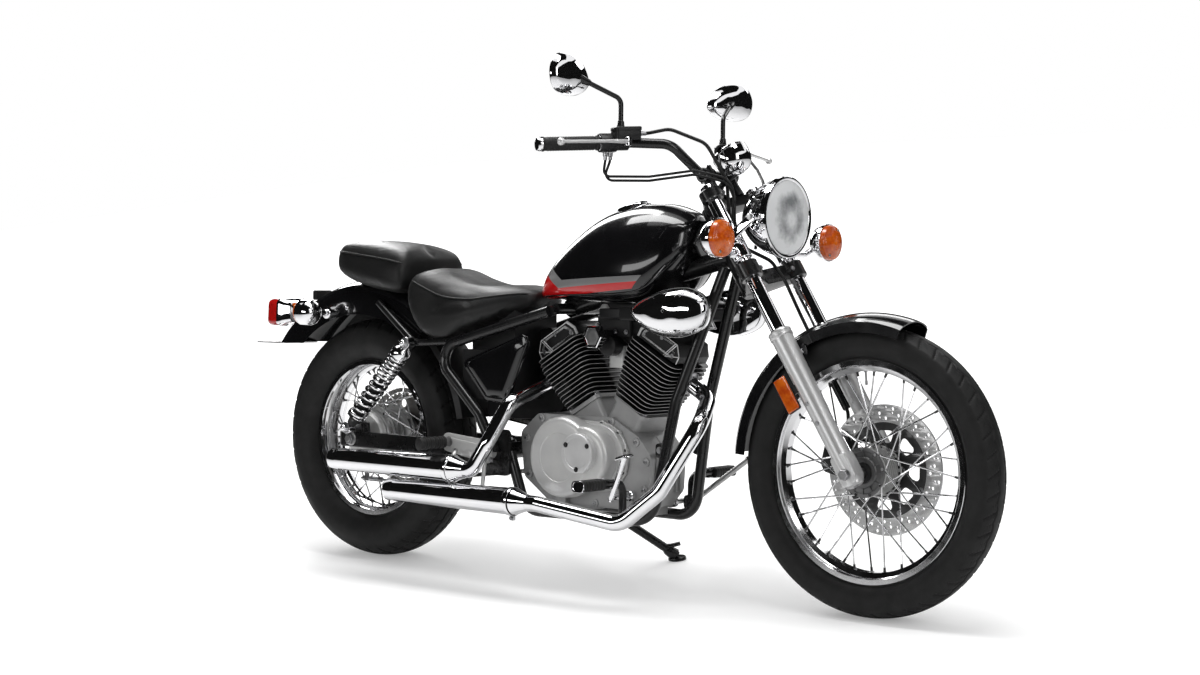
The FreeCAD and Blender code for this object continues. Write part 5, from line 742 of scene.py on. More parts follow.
frontHub = {"end": 46, "waist": 44, "ribRadius": 50, "ribs": 7, "flangeRadius": 54, "lace": 50,
    "flangeY": 30, "flange": 5, "faceRibs": 12}
rearHub = {"flangeRadius": 84, "lace": 80, "flangeY": 36, "flange": 5, "ribs": (-20, -8, 8, 20)}


def frontWheelPiece():
    shape = newShape()
    centre = frontAxle
    rimShape(shape, centre, tyres["front"]["seat"], tyres["front"]["rimHalf"], 0)
    hub = frontHub
    low = hub["flangeY"] - 3
    pitch = 2 * low / hub["ribs"]
    ribShape = ((0.28, hub["waist"]), (0.34, hub["ribRadius"]), (0.62, hub["ribRadius"]),
        (0.70, hub["waist"]))
    barrel = [(-low, hub["end"])]
    for index in range(hub["ribs"]):
        barrel += [(-low + pitch * index + pitch * share, radius) for share, radius in ribShape]
    barrel += [(low, hub["end"])]
    addLathe(shape, barrel, centre, across, 72, 1)
    for side in (1, -1):
        hubFlange(shape, centre, side * hub["flangeY"], hub["flangeRadius"], hub["lace"], hub["flange"], 1)
    # The open side has a round cast face with ribs and a dark seal round the spacer.
    face = [(-33, 30), (-33, 53), (-35, 53.5), (-36, 52), (-36, 46), (-34.2, 44), (-34.2, 34), (-37.6, 32),
        (-37.8, 24), (-36.5, 22), (-36.5, 0)]
    addLathe(shape, face, centre, across, 72, 2)
    for index in range(hub["faceRibs"]):
        turn = Matrix.Rotation(2 * pi * index / hub["faceRibs"], 3, "Y")
        addBox(shape, (33, -36.6, -1.6), (46.5, -33.5, 1.6), 2, turn, centre)
    addLathe(shape, [(-36.4, 21.5), (-37.9, 21), (-37.9, 11), (-36.4, 10.5)], centre, across, 48, 3,
        looped=True)
    addLathe(shape, [(30, 0.1), (30, 40), (37.9, 40), (37.9, 0.1)], centre, across, 64, 2)
    addSpokes(shape, centre, hub["lace"], hub["flangeY"], tyres["front"]["seat"], 4, 5)
    addValve(shape, tyres["front"], 95, 6)
    finishPiece("front_wire_wheel", shape, "front_wheel", ["rimPolish", "hubAlloy", "darkCast",
        "gripRubber", "spokeSteel", "darkBolt", "boltSteel"], ["front_wire_wheel"], sharp=32)


def rearWheelPiece():
    shape = newShape()
    centre = rearAxle
    rimShape(shape, centre, tyres["rear"]["seat"], tyres["rear"]["rimHalf"], 0)
    hub = [(-48, 10), (-48, 70), (-46, 73.5), (-38.6, 74), (-33.4, 73), (-30, 66), (-14, 59.5), (0, 58),
        (14, 59.5), (30, 66), (33.4, 73), (38.6, 62), (46.5, 58), (48, 56), (48, 10)]
    addLathe(shape, hub, centre, across, 96, 1)
    for side in (1, -1):
        hubFlange(shape, centre, side * rearHub["flangeY"], rearHub["flangeRadius"], rearHub["lace"],
            rearHub["flange"], 1)
    for y in rearHub["ribs"]:
        addLathe(shape, [(y - 1.4, 57), (y - 1.2, 66), (y + 1.2, 66), (y + 1.4, 57)], centre, across, 72, 1,
            looped=True)
    addSpokes(shape, centre, rearHub["lace"], rearHub["flangeY"], tyres["rear"]["seat"], 2, 3)
    addValve(shape, tyres["rear"], 215, 5)
    finishPiece("rear_wire_wheel", shape, "rear_wheel", ["rimPolish", "rearHubAlloy", "spokeSteel",
        "darkBolt", "boltSteel", "boltSteel"], ["rear_wire_wheel"], sharp=32)


metalFinish("rimPolish", (0.74, 0.74, 0.75), (0.68, 0.68, 0.69), (0.06, 0.13), grain=0.02)
metalFinish("spokeSteel", (0.72, 0.72, 0.73), (0.62, 0.62, 0.63), (0.1, 0.2), grain=0.02)
turnedFinish("rearHubAlloy", (0.5, 0.5, 0.5), (0.42, 0.42, 0.42), rearAxle, rough=(0.32, 0.45), fine=1500)
frontWheelPiece()
rearWheelPiece()
print("wheels")

# Front disc, its carrier and the caliper

frontDisc = {"radius": 141, "ring": 44, "y": 52.7, "thickness": 5, "rows": 3, "holes": 16, "holeRadius": 4,
    "smallHole": 2.6, "windows": 8, "carrier": 4, "rivetReach": 97, "bolts": 6, "boltReach": 38}


def frontDiscPiece():
    shape = newShape()
    spec = frontDisc
    inner = spec["radius"] - spec["ring"]
    outlines = [ringOutline(0, 0, spec["radius"], 144), ringOutline(0, 0, inner + 6, 96)]
    for row in range(spec["rows"]):
        reach = inner + spec["ring"] * (row + 1) / (spec["rows"] + 1) + 3
        for index in range(spec["holes"]):
            turn = 2 * pi * (index + row / spec["rows"]) / spec["holes"]
            outlines.append(ringOutline(reach * cos(turn), reach * sin(turn), spec["holeRadius"], 14))
            between = turn + pi / spec["holes"] * 0.66
            outlines.append(ringOutline((reach + 2) * cos(between), (reach + 2) * sin(between),
                spec["smallHole"], 12))
    origin = frontAxle + across * spec["y"]
    addPlate(shape, outlines, spec["thickness"], origin, ahead, upward, 0, 1, bevel=0.4)
    windows = [ringOutline(0, 0, inner + 8, 96), ringOutline(0, 0, 30, 48)]
    for index in range(spec["windows"]):
        turn = 2 * pi * index / spec["windows"]
        corner = []
        for reach, swing in ((60, -0.21), (88, -0.25), (88, 0.25), (60, 0.21)):
            corner.append((reach * cos(turn + swing), reach * sin(turn + swing)))
        windows.append(roundOutline(corner, 8))
    addPlate(shape, windows, spec["carrier"], origin, ahead, upward, 2, bevel=0.8)
    rivet = [(-2.6, 0.1), (-2.6, 5.6), (-1.9, 6), (1.9, 6), (2.6, 5.6), (2.6, 0.1)]
    for spot in around(spec["windows"], spec["rivetReach"], 0.5):
        addLathe(shape, rivet, origin + spot, across, 20, 1)
    addLathe(shape, [(38, 27), (38, 45.5), (50.6, 45.5), (52, 44), (54.6, 40), (55, 31), (54.8, 27)],
        frontAxle, across, 72, 2, looped=True)
    for spot in around(spec["bolts"], spec["boltReach"], 0.5, 52.9):
        addBolt(shape, frontAxle + spot, across, 3.6, 2, 3, 16)
    finishPiece("front_disc", shape, "front_wheel", ["discSteel", "boltSteel", "carrierBlack", "boltSteel"],
        ["front_disc"], sharp=32)


caliper = {"angle": 166, "reach": 141 - 58 / 3, "length": 92, "height": 58, "half": 19, "offset": 6}


def caliperPoint(along, y, up):
    turn = radians(caliper["angle"])
    centre = wheelPoint(frontAxle, caliper["reach"], caliper["angle"], frontDisc["y"])
    tangent = Vector((sin(turn), 0, -cos(turn)))
    radial = Vector((cos(turn), 0, sin(turn)))
    return centre + tangent * along + across * y + radial * up


def caliperPiece():
    shape = newShape()
    length, height = caliper["length"], caliper["height"]
    profile = roundOutline([(-length / 2, -height / 2 + 4), (-length * 0.36, -height / 2), (length * 0.36,
        -height / 2), (length / 2, -height / 2 + 6), (length / 2, height * 0.30), (length * 0.34, height
        / 2), (-length * 0.34, height / 2), (-length / 2, height * 0.28)], 9)
    tangentAxis = (caliperPoint(1, 0, 0) - caliperPoint(0, 0, 0))
    radialAxis = (caliperPoint(0, 0, 1) - caliperPoint(0, 0, 0))
    for near, far in ((-19, -5.8), (5.8, 24.8)):
        addPlate(shape, [profile], far - near, caliperPoint(0, (near + far) / 2, 0), tangentAxis,
            radialAxis, 0, bevel=2.4, bevelSteps=2)
    bridge = roundOutline([(-length * 0.42, height * 0.42), (length * 0.42, height * 0.42), (length * 0.38,
        height / 2), (-length * 0.38, height / 2)], 2)
    addPlate(shape, [bridge], 30, caliperPoint(0, 2, 0), tangentAxis, radialAxis, 0, bevel=1)
    for along in (-19, 19):
        addLathe(shape, [(-1.5, 0.1), (-1.5, 15.5), (0, 15), (0, 12.5), (-0.8, 11.5), (-0.8, 0.1)],
            caliperPoint(along, 24.8, -2), across, 36, 0)
    for along in (-38, 38):
        addBolt(shape, caliperPoint(along, 24, 14), across, 4.2, 3.4, 1)
    addBolt(shape, caliperPoint(0, 23.6, 20), across, 3.4, 3, 1, 16)
    addRod(shape, caliperPoint(-30, -17, -14), caliperPoint(-30, 23, -14), 5, 16, 0)
    ear = steerPoint(steering["offset"], 0, 405)
    earBase = wheelPoint(frontAxle, caliper["reach"], 154, frontDisc["y"] + 17.8)
    addRod(shape, earBase, (ear.x - 14, earBase.y, ear.z - 6), 5, 20, 0)
    finishPiece("front_caliper", shape, "fork", ["caliperBlack", "boltSteel"], ["front_caliper"], bevel=0.6)


paintFinish("caliperBlack", (0.012, 0.012, 0.012), (0.018, 0.018, 0.018), rough=(0.3, 0.42), coat=0.3,
    peel=0.25)
paintFinish("carrierBlack", (0.03, 0.03, 0.03), (0.045, 0.045, 0.045), rough=(0.3, 0.4), coat=0.3, peel=0.2)
frontDiscPiece()
caliperPiece()
print("front brake")


# Fenders

fenders = {"front": {"centre": frontAxle, "crown": 338, "shoulder": 322, "edge": 296, "half": 56,
    "start": 72, "sweep": 104}, "rear": {"centre": rearAxle, "crown": 410, "shoulder": 382, "edge": 318,
    "half": 90, "start": 50, "sweep": 94, "tail": 545}, "wall": 2.5, "lip": 4,}


def fenderProfile(spec):
    # outside then inside, as (radius, y), with a rolled lip along both edges.
    edge, shoulder, crown, half = spec["edge"], spec["shoulder"], spec["crown"], spec["half"]
    lip = fenders["lip"]
    arc = arcThrough((shoulder, half), (crown, 0), (shoulder, -half), 26)
    first = Vector((arc[0][0] - edge, 0, 0))
    skirt = [(edge + first.x * share, half) for share in (0, 0.12, 0.5, 0.86)]
    outer = skirt + [(arc[1][0] - 3.2, arc[1][1] + 0.6)] + arc[2:-2] + [(arc[1][0] - 3.2, -arc[1][1] - 0.6)]
    outer += [(r, -y) for r, y in skirt[::-1]]
    inset = fenders["wall"]
    inner = [(r - (inset if r > shoulder else 0), y - inset * (y / half)) for r, y in outer[::-1]]
    roll = [(edge - 0.6, half - lip * 0.5)]
    return outer + [(r, -y) for r, y in roll] + inner + roll


def fenderRings(spec, shape, mat, cut=None):
    profile = fenderProfile(spec)
    steps = 92
    rings = []
    for index in range(steps + 1):
        angle = spec["start"] + spec["sweep"] * index / steps
        ease = min(index, steps - index)
        drawn = 0 if ease > 2 else (2 - ease) * 0.9
        ring = []
        for r, y in profile:
            depth = max(0, (r - spec["edge"]) / (spec["crown"] - spec["edge"]))
            point = wheelPoint(spec["centre"], r - drawn * 0.4 * depth, angle, y)
            if cut is not None and angle > 90 and point.z < cut:
                lift = wheelPoint(spec["centre"], r, 180 - degrees(asin(min(1, (cut - spec["centre"].z)
                    / r))), y)
                point = Vector((lift.x, y, cut))
            ring.append(point)
        rings.append(ring)
    addRings(shape, rings, mat)


def frontFenderPiece():
    shape = newShape()
    fenderRings(fenders["front"], shape, 0)
    for side in (1, -1):
        middle = steerPoint(steering["offset"], side * 85, steering["axleReach"] + 290)
        inner = Vector((middle.x, side * 53, middle.z))
        outer = Vector((middle.x, side * 64, middle.z))
        addPlate(shape, [roundOutline([(-24, -13), (24, -13), (30, 13), (-30, 13)], 7)], 4,
            Vector((middle.x, side * 57.5, middle.z)), steerAhead, steerUp, 0, bevel=0.8)
        addRod(shape, inner, outer, 6, 20, 1)
        for shift in (-14, 14):
            addBolt(shape, Vector((middle.x, side * 59.4, middle.z)) + steerAhead * shift, across * side,
                4.6, 3.4, 1)
    finishPiece("front_fender", shape, "fork", ["glossBlack", "chrome"], ["front_fender"], sharp=40)


def rearFenderPiece():
    shape = newShape()
    spec = fenders["rear"]
    fenderRings(spec, shape, 0, cut=spec["tail"])
    for side in (1, -1):
        for x, z in ((92, 655), (-40, 640)):
            addBolt(shape, Vector((x, side * 89.6, z)), across * side, 5.6, 2.4, 1, 20)
    finishPiece("rear_fender", shape, "chassis", ["glossBlack", "chrome"], ["rear_fender"], sharp=40)


frontFenderPiece()
rearFenderPiece()
print("fenders")

# Fuel tank

tank = {"rear": 577, "length": 463, "base": 664, "height": 225, "half": 122, "stations": ((0.00, 0.27, 0.03,
    0.15), (0.07, 0.47, 0.02, 0.37), (0.23, 0.75, 0.01, 0.65), (0.42, 0.94, 0.00, 0.88), (0.62, 1.00, 0.00,
    0.99), (0.80, 0.96, 0.07, 1.00), (0.92, 0.80, 0.31, 0.93), (1.00, 0.48, 0.55, 0.83)),
    "section": ((0, 0), (0.62, 0.01), (0.95, 0.14), (0.98, 0.42), (0.80, 0.74), (0.42, 0.95), (0, 1))}


filler = {"share": 0.56, "sink": 8.4, "tilt": 14}


def between(table, at, column):
    # smooth value of one column of a table whose first column climbs.
    for index in range(len(table) - 1):
        if at <= table[index + 1][0] or index == len(table) - 2:
            a, b = table[index], table[index + 1]
            before = table[index - 1] if index else a
            after = table[index + 2] if index + 2 < len(table) else b
            span = b[0] - a[0]
            t = max(0, min(1, (at - a[0]) / span))
            slopeA = (b[column] - before[column]) / max(b[0] - before[0], 1e-6) * span
            slopeB = (after[column] - a[column]) / max(after[0] - a[0], 1e-6) * span
            return ((2 * t ** 3 - 3 * t * t + 1) * a[column] + (t ** 3 - 2 * t * t + t) * slopeA
                + (-2 * t ** 3 + 3 * t * t) * b[column] + (t ** 3 - t * t) * slopeB)


def closedCurve(points, steps):
    # smooth closed line through flat points.
    count = len(points)
    line = []
    for index in range(count):
        a, b, c, d = (Vector(points[(index + shift) % count]) for shift in (-1, 0, 1, 2))
        for step in range(steps):
            t = step / steps
            line.append(0.5 * (2 * b + (c - a) * t + (2 * a - 5 * b + 4 * c - d) * t * t + (3 * b - 3 * c
                + d - a) * t ** 3))
    return line


def stationSize(spec, at):
    # half width, lower edge and upper edge of a lofted body at a share of its length.
    low, high = (spec["base"] + spec["height"] * between(spec["stations"], at, column) for column in (2, 3))
    return spec["half"] * between(spec["stations"], at, 1), low, high


def loftSection(section, x, wide, low, high, steps):
    around = list(section) + [(-y, up) for y, up in section[1:-1]][::-1]
    points = [(wide * y, low + (high - low) * up) for y, up in around]
    return [Vector((x, y, z)) for y, z in closedCurve([Vector((y, z)) for y, z in points], steps)]


def loftRings(spec, section, count, steps):
    rings = []
    for index in range(count + 1):
        at = 0.5 - 0.5 * cos(pi * index / count)
        at = 0.35 * at + 0.65 * index / count
        rings.append(loftSection(section, spec["rear"] + spec["length"] * at, *stationSize(spec, at),
            steps))
    return rings


def closeEnds(rings, depth):
    # round the two ends of a loft with shrinking rings.
    inset = Vector((depth, 0, 0))

    def cap(ring, direction):
        middle = sum(ring, Vector()) / len(ring)
        caps = []
        for share in (0.3, 0.6, 0.85, 1):
            size, reach = max(cos(share * pi / 2), 0.02), direction * depth * sin(share * pi / 2)
            caps.append([middle + (point - middle) * size + Vector((reach, 0, 0)) for point in ring])
        return caps

    first, last = [point + inset for point in rings[0]], [point - inset for point in rings[-1]]
    return cap(first, -1)[::-1] + [first] + rings[2:-2] + [last] + cap(last, 1)


def tankPiece():
    rings = loftRings(tank, tank["section"], 56, 8)
    rings = closeEnds(rings, 5)
    shape = newShape()
    addRings(shape, rings, 0)
    finishPiece("fuel_tank", shape, "chassis", ["tankPaint"], ["fuel_tank"], sharp=60)
    # Welded seam that runs round below, with a folded edge.
    trim = newShape()
    seam = []
    for side in (1, -1):
        for step in range(41):
            at = 0.03 + 0.94 * step / 40
            at = at if side > 0 else 1 - at
            wide, low, high = stationSize(tank, at)
            seam.append(Vector((tank["rear"] + tank["length"] * at, side * wide * 0.885, low + (high - low)
                * 0.085)))
    addTube(trim, seam, 2.2, 8, 0, looped=True)
    finishPiece("tank_seam", trim, "chassis", ["glossBlack"], sharp=60)
    # Ring round the filler cap and the cap with its hinge and keyhole cover.
    tilt = radians(filler["tilt"])
    axis = Vector((-sin(tilt), 0, cos(tilt)))
    capPlace = Vector((tank["rear"] + tank["length"] * filler["share"], 0, tank["base"] + tank["height"]
        - filler["sink"]))
    cap = newShape()
    addLathe(cap, [(-11, 0.1), (-11, 40.6), (2, 40.6), (4.6, 39.6), (5.2, 37.8), (4.4, 36.2), (4.6, 35.4),
        (6.2, 34.6), (8.6, 31.5), (10.2, 26.5), (11, 18), (11, 0.1)], capPlace, axis, 96, 0)
    side = axis.cross(across).normalized()
    turn = Matrix((side, across, axis)).transposed()
    addBox(cap, (-33, -10, 3), (-18, 10, 10.4), 0, turn, capPlace)
    addLathe(cap, [(-9, 0.1), (-9, 3.4), (9, 3.4), (9, 0.1)], capPlace + side * 36 + axis * 6.4, across, 20,
        0)
    addRings(cap, [[capPlace + side * (u * size) + across * (v * size) + axis * h for u,
        v in roundOutline([(-13, -9), (13, -9), (13, 9), (-13, 9)], 5)] for size, h in ((1, 10.2), (1, 12),
        (0.82, 13.2))], 0)
    finishPiece("fuel_cap", cap, "chassis", ["chrome"], ["fuel_cap"], bevel=0.4)


stripes = {"redHigh": ((0.680, 0.695), (0.937, 0.7124)), "redRear": ((0.633, 0.7177), (0.680, 0.695)),
    "greyHigh": ((0.6955, 0.714), (0.950, 0.726)), "greyRear": ((0.660, 0.732), (0.6955, 0.714)),
    "redLow": ((0.566, 0.664), (0.919, 0.695)), "front": 0.924, "slant": 0.7, "crisp": 2600, "red": (0.44,
    0.003, 0.004), "grey": (0.17, 0.17, 0.17)}


def tankPaintFinish():
    # black paint with the two stripes low on each flank, drawn in the tank's own coordinates in metres.
    tree, shader, where, shade = paintFinish("tankPaint", (0.003, 0.003, 0.0034), (0.0045, 0.0045, 0.005))
    inverse = place.inverted()
    turned = {"Vector": where, "Location": inverse.translation, "Rotation": inverse.to_euler()}
    upright = addNode(tree, "Mapping", turned).outputs["Vector"]
    x, _, z = addNode(tree, "SeparateXYZ", {0: upright}).outputs

    def above(line):
        # how far a point lies over the straight line through two (x, z) places.
        (ax, az), (bx, bz) = stripes[line]
        rise = calc(tree, "MULTIPLY", calc(tree, "SUBTRACT", x, ax), (bz - az) / (bx - ax))
        return calc(tree, "SUBTRACT", z, calc(tree, "ADD", rise, az))

    slant = calc(tree, "SUBTRACT", calc(tree, "SUBTRACT", z, stripes["slant"] - stripes["front"]), x)
    within = calc(tree, "MINIMUM", above("redLow"), slant)
    for top, rear, colour in (("greyHigh", "greyRear", "grey"), ("redHigh", "redRear", "red")):
        over = calc(tree, "MINIMUM", above(top), above(rear))
        mask = calc(tree, "MINIMUM", calc(tree, "MULTIPLY", over, -1), within)
        mask = addNode(tree, "Clamp", {"Value": calc(tree, "MULTIPLY", mask,
            stripes["crisp"])}).outputs["Result"]
        shade = mixShades(tree, mask, shade, (*stripes[colour], 1))
    tree.links.new(shade, shader.inputs["Base Color"])


tankPaintFinish()
tankPiece()
print("tank")

# Seats

saddle = {"rear": 203, "length": 372, "base": 562, "height": 178, "half": 140, "stations": ((0.00, 0.72,
    0.66, 0.90), (0.05, 0.93, 0.45, 0.985), (0.17, 1.00, 0.12, 1.00), (0.34, 0.98, 0.02, 0.87), (0.54, 0.92,
    0.17, 0.77), (0.76, 0.78, 0.33, 0.755), (0.90, 0.58, 0.44, 0.755), (1.00, 0.36, 0.53, 0.72))}
pillion = {"rear": -88, "length": 276, "base": 676, "height": 136, "half": 124, "stations": ((0.00, 0.56,
    0.60, 0.86), (0.08, 0.78, 0.40, 0.985), (0.36, 0.93, 0.20, 1), (0.66, 1.00, 0.10, 0.95), (0.93, 0.97,
    0.04, 0.85), (1.00, 0.84, 0.14, 0.72))}
seatSection = ((0, 0), (0.72, 0), (0.97, 0.10), (0.98, 0.52), (0.80, 0.86), (0.40, 0.98), (0, 0.99))


def rearFenderTop(x, y):
    spec = fenders["rear"]
    share = min(1, abs(y) / spec["half"])
    radius = spec["crown"] - (spec["crown"] - spec["shoulder"]) * share * share
    if abs(x) > radius or abs(y) > spec["half"] + 1:
        return 0
    return spec["centre"].z + sqrt(radius * radius - x * x)


padding = {"voxel": 0.006, "pressure": 4, "stiffness": 28, "bending": 6, "steps": 12, "reach": 0.006,
    "under": 90}


def paddedSeat(name, spec):
    # the seat's body is puffed up by a short cloth run.
    rings = closeEnds(loftRings(spec, seatSection, 40, 6), 6)
    for ring in rings:
        for point in ring:
            floor = rearFenderTop(point.x, point.y)
            if floor and abs(point.y) < padding["under"] and point.z < floor + 1:
                point.z = floor + 1
    shape = newShape()
    addRings(shape, rings, 0)
    seat = finishPiece(name, shape, "chassis", ["seatVinyl"], [name], sharp=180)
    puff(seat)
    smooth = seat.modifiers.new("round", "SUBSURF")
    smooth.levels = smooth.render_levels = 1
    return seat


def puff(seat):
    remesh = seat.modifiers.new("remesh", "REMESH")
    remesh.mode = "VOXEL"
    remesh.voxel_size = padding["voxel"]
    bpy.context.view_layer.update()
    applied = bpy.data.meshes.new_from_object(seat.evaluated_get(bpy.context.evaluated_depsgraph_get()))
    seat.modifiers.clear()
    kept = list(seat.data.materials)
    seat.data = applied
    seat.data.materials.clear()
    for material in kept:
        seat.data.materials.append(material)
    seat.data.polygons.foreach_set("use_smooth", [True] * len(seat.data.polygons))
    rest = [vert.co.copy() for vert in seat.data.vertices]
    cloth = seat.modifiers.new("cloth", "CLOTH")
    cloth.settings.use_pressure = True
    cloth.settings.uniform_pressure_force = padding["pressure"]
    cloth.settings.effector_weights.gravity = 0
    cloth.settings.tension_stiffness = cloth.settings.compression_stiffness = padding["stiffness"]
    cloth.settings.bending_stiffness = padding["bending"]
    cloth.point_cache.frame_end = 20
    for step in range(1, padding["steps"] + 1):
        bpy.context.scene.frame_set(step)
    shaped = bpy.data.meshes.new_from_object(seat.evaluated_get(bpy.context.evaluated_depsgraph_get()))
    seat.modifiers.clear()
    for vert, start, moved in zip(seat.data.vertices, rest, shaped.vertices):
        step = moved.co - start
        if step.length > padding["reach"]:
            step = step.normalized() * padding["reach"]
        vert.co = start + step
    bpy.data.meshes.remove(shaped)
    bpy.context.scene.frame_set(1)


def seamRoute(spec, share, lowShare, ends=(0.04, 0.97), count=44):
    # welt that runs round the seat's edge where the top panel meets the side panel.
    route = []
    for side in (1, -1):
        for step in range(count + 1):
            at = ends[0] + (ends[1] - ends[0]) * step / count
            at = at if side > 0 else ends[0] + ends[1] - at
            wide, low, high = stationSize(spec, at)
            route.append(Vector((spec["rear"] + spec["length"] * at, side * wide * share, low + (high - low)
                * lowShare)))
    return route


def projectOn(piece, points, lift):
    # drops each point on to the seat's surface, a hair proud of it.
    bpy.context.view_layer.update()
    mesh = bpy.data.meshes.new_from_object(piece.evaluated_get(bpy.context.evaluated_depsgraph_get()))
    holder = bpy.data.objects.new("surface", mesh)
    bpy.context.scene.collection.objects.link(holder)
    bpy.context.view_layer.update()
    found = []
    for point in points:
        spot = place @ (point * millimetre)
        _, location, normal, _ = holder.closest_point_on_mesh(spot)
        found.append(location + normal * lift * millimetre)
    bpy.data.objects.remove(holder)
    bpy.data.meshes.remove(mesh)
    back = place.inverted()
    return [(back @ spot) / millimetre for spot in found]


def stitchRow(shape, route, length, gap, radius, mat):
    # short threads with gaps between them, along a route.
    travelled = 0
    for before, after in zip(route, route[1:]):
        span = (after - before).length
        if span < 0.01:
            continue
        along = (after - before) / span
        while travelled < span:
            start = before + along * travelled
            end = before + along * min(span, travelled + length)
            addTube(shape, [start, end], radius, 5, mat)
            travelled += length + gap
        travelled -= span


def seatTrim(name, piece, route, radius=2.3, lift=0.6):
    shape = newShape()
    line = projectOn(piece, route, lift)
    line = [sum((line[(index + shift) % len(line)] for shift in (-1, 0, 1)), Vector()) / 3 for index
        in range(len(line))]
    addTube(shape, line, radius, 8, 0, looped=True)
    for shift in (5, -5):
        beside = projectOn(piece, [point + Vector((0, 0, shift)) for point in line], 0.15)
        stitchRow(shape, beside, 3.4, 1.4, 0.42, 1)
    finishPiece(name, shape, "chassis", ["seatVinyl", "seatThread"], sharp=60)


rubberFinish("seatThread", (0.02, 0.02, 0.02), (0.03, 0.03, 0.03), rough=(0.5, 0.6), grain=0.3)
riderSeat, passengerSeat = paddedSeat("rider_seat", saddle), paddedSeat("passenger_seat", pillion)
seatTrim("rider_seat_welt", riderSeat, seamRoute(saddle, 0.9, 0.72))
seatTrim("passenger_seat_welt", passengerSeat, seamRoute(pillion, 0.9, 0.66))
print("seats")


# Side covers

sideCover = {"rear": 388, "low": 420, "length": 222, "height": 168, "inner": 108, "thickness": 12,
    "corner": 14, "layers": ((-2.6, 1), (-0.8, 0.988), (0, 0.962), (0, 0.905), (1.2, 0.885), (3.6, 0.84),
    (6.2, 0.76), (7.6, 0.66), (8, 0.5), (8, 0.2)), "outline": ((0.02, 0.56), (0.96, 1.00), (1.00, 0.86),
    (0.70, 0), (0.40, 0.02))}


def sideCoverPiece():
    shape = newShape()
    corners = [(sideCover["rear"] + sideCover["length"] * u, sideCover["low"] + sideCover["height"] * v)
        for u, v in sideCover["outline"]]
    middle = Vector((sum(x for x, z in corners), 0, sum(z for x, z in corners))) / len(corners)
    outline = roundOutline(corners, sideCover["corner"])
    outer = sideCover["inner"] + sideCover["thickness"]
    layers = [(sideCover["inner"], 0.985), (sideCover["inner"] + 1.5, 1)]
    layers += [(outer + depth, size) for depth, size in sideCover["layers"]]
    for side in (1, -1):
        addRings(shape, [grownOutline(middle, outline, size, side * y) for y, size in layers], 0)
        x, z = corners[3]
        addBolt(shape, Vector((x - 12, side * (outer - 0.5), z + 22)), across * side, 5, 2.6, 1, 20)
    finishPiece("side_covers", shape, "chassis", ["glossBlack", "chrome"], ["side_covers"], sharp=50)


sideCoverPiece()

inner = {"radius": 345, "thick": 2.5, "half": 60, "lip": 14, "steps": 24, "from": 11, "to": 58,
    "panel": ((352, 385), (372, 520), (410, 560), (560, 600), (640, 540), (604, 400), (540, 374),
    (366, 374)), "left": 60, "right": 18}


def innerPanels():
    # mudguard before the rear tyre and the dark splash panel between the side covers.
    shape = newShape()
    half, top = inner["half"], inner["radius"]
    edge, under = top - inner["lip"], top - inner["thick"]
    profile = ((-half, edge), (6 - half, top), (half - 6, top), (half, edge), (half - 2, edge),
        (half - 8, under), (8 - half, under), (2 - half, edge))
    rings = []
    for index in range(inner["steps"] + 1):
        turn = radians(inner["from"] + (inner["to"] - inner["from"]) * index / inner["steps"])
        out = Vector((cos(turn), 0, sin(turn)))
        rings.append([rearAxle + out * reach + across * y for y, reach in profile])
    addRings(shape, rings, 0)
    middle = (inner["left"] + inner["right"]) / 2
    addPlate(shape, [roundOutline(list(inner["panel"]), 16)], inner["left"] - inner["right"],
        Vector((0, middle, 0)), ahead, upward, 0, bevel=3, bevelSteps=2)
    finishPiece("inner_panels", shape, "chassis", ["blackPlastic"], sharp=35)


innerPanels()

# Tail lamp, rear signals, reflector and plate bracket

tail = {"x": -402, "low": 588, "high": 660, "half": 52, "corner": 15, "ribs": 7, "lens": ((44, 0.99),
    (30, 1), (14, 0.99), (6, 0.95), (2, 0.86), (0.4, 0.66), (0, 0.3)), "rim": ((44, 1), (43.2, 1.035),
    (48, 1.045), (54, 1.02), (60, 0.9), (72, 0.8), (84, 0.74))}


def tailLampPiece():
    shape = newShape()
    half, low, high = tail["half"], tail["low"], tail["high"]
    outline = roundOutline([(-half, low), (half, low), (half * 0.94, high), (-half * 0.94, high)],
        tail["corner"])

    def layer(x, size):
        middle = (low + high) / 2
        return [Vector((x, y * size, middle + (z - middle) * size)) for y, z in outline]

    for mat, part in enumerate(("lens", "rim")):
        addRings(shape, [layer(tail["x"] + shift, size) for shift, size in tail[part]], mat)
    for index in range(tail["ribs"]):
        z = low + 12 + index * (high - low - 24) / (tail["ribs"] - 1)
        addBox(shape, (tail["x"], -half * 0.8, z - 0.7), (tail["x"] + 1.2, half * 0.8, z + 0.7), 0)
    for side in (1, -1):
        addBolt(shape, Vector((tail["x"] + 0.9, side * half * 0.62, (low + high) / 2)), -ahead, 4, 1.2, 2,
            16)
    finishPiece("tail_light", shape, "chassis", ["redLens", "chrome", "boltSteel"], ["tail_light"],
        bevel=0.3, sharp=35)


def signalProfile(radius, cup, nose):
    return [(0, radius), (cup * 0.2, radius * 0.985), (cup * 0.45, radius * 0.9), (cup * 0.68, radius
        * 0.74), (cup * 0.86, radius * 0.5), (cup * 0.97, radius * 0.24), (cup, nose)]


rearSignal = {"x": -116, "y": 150, "z": 627, "radius": 33, "cup": 27.9, "root": 90.3, "rings": 4}


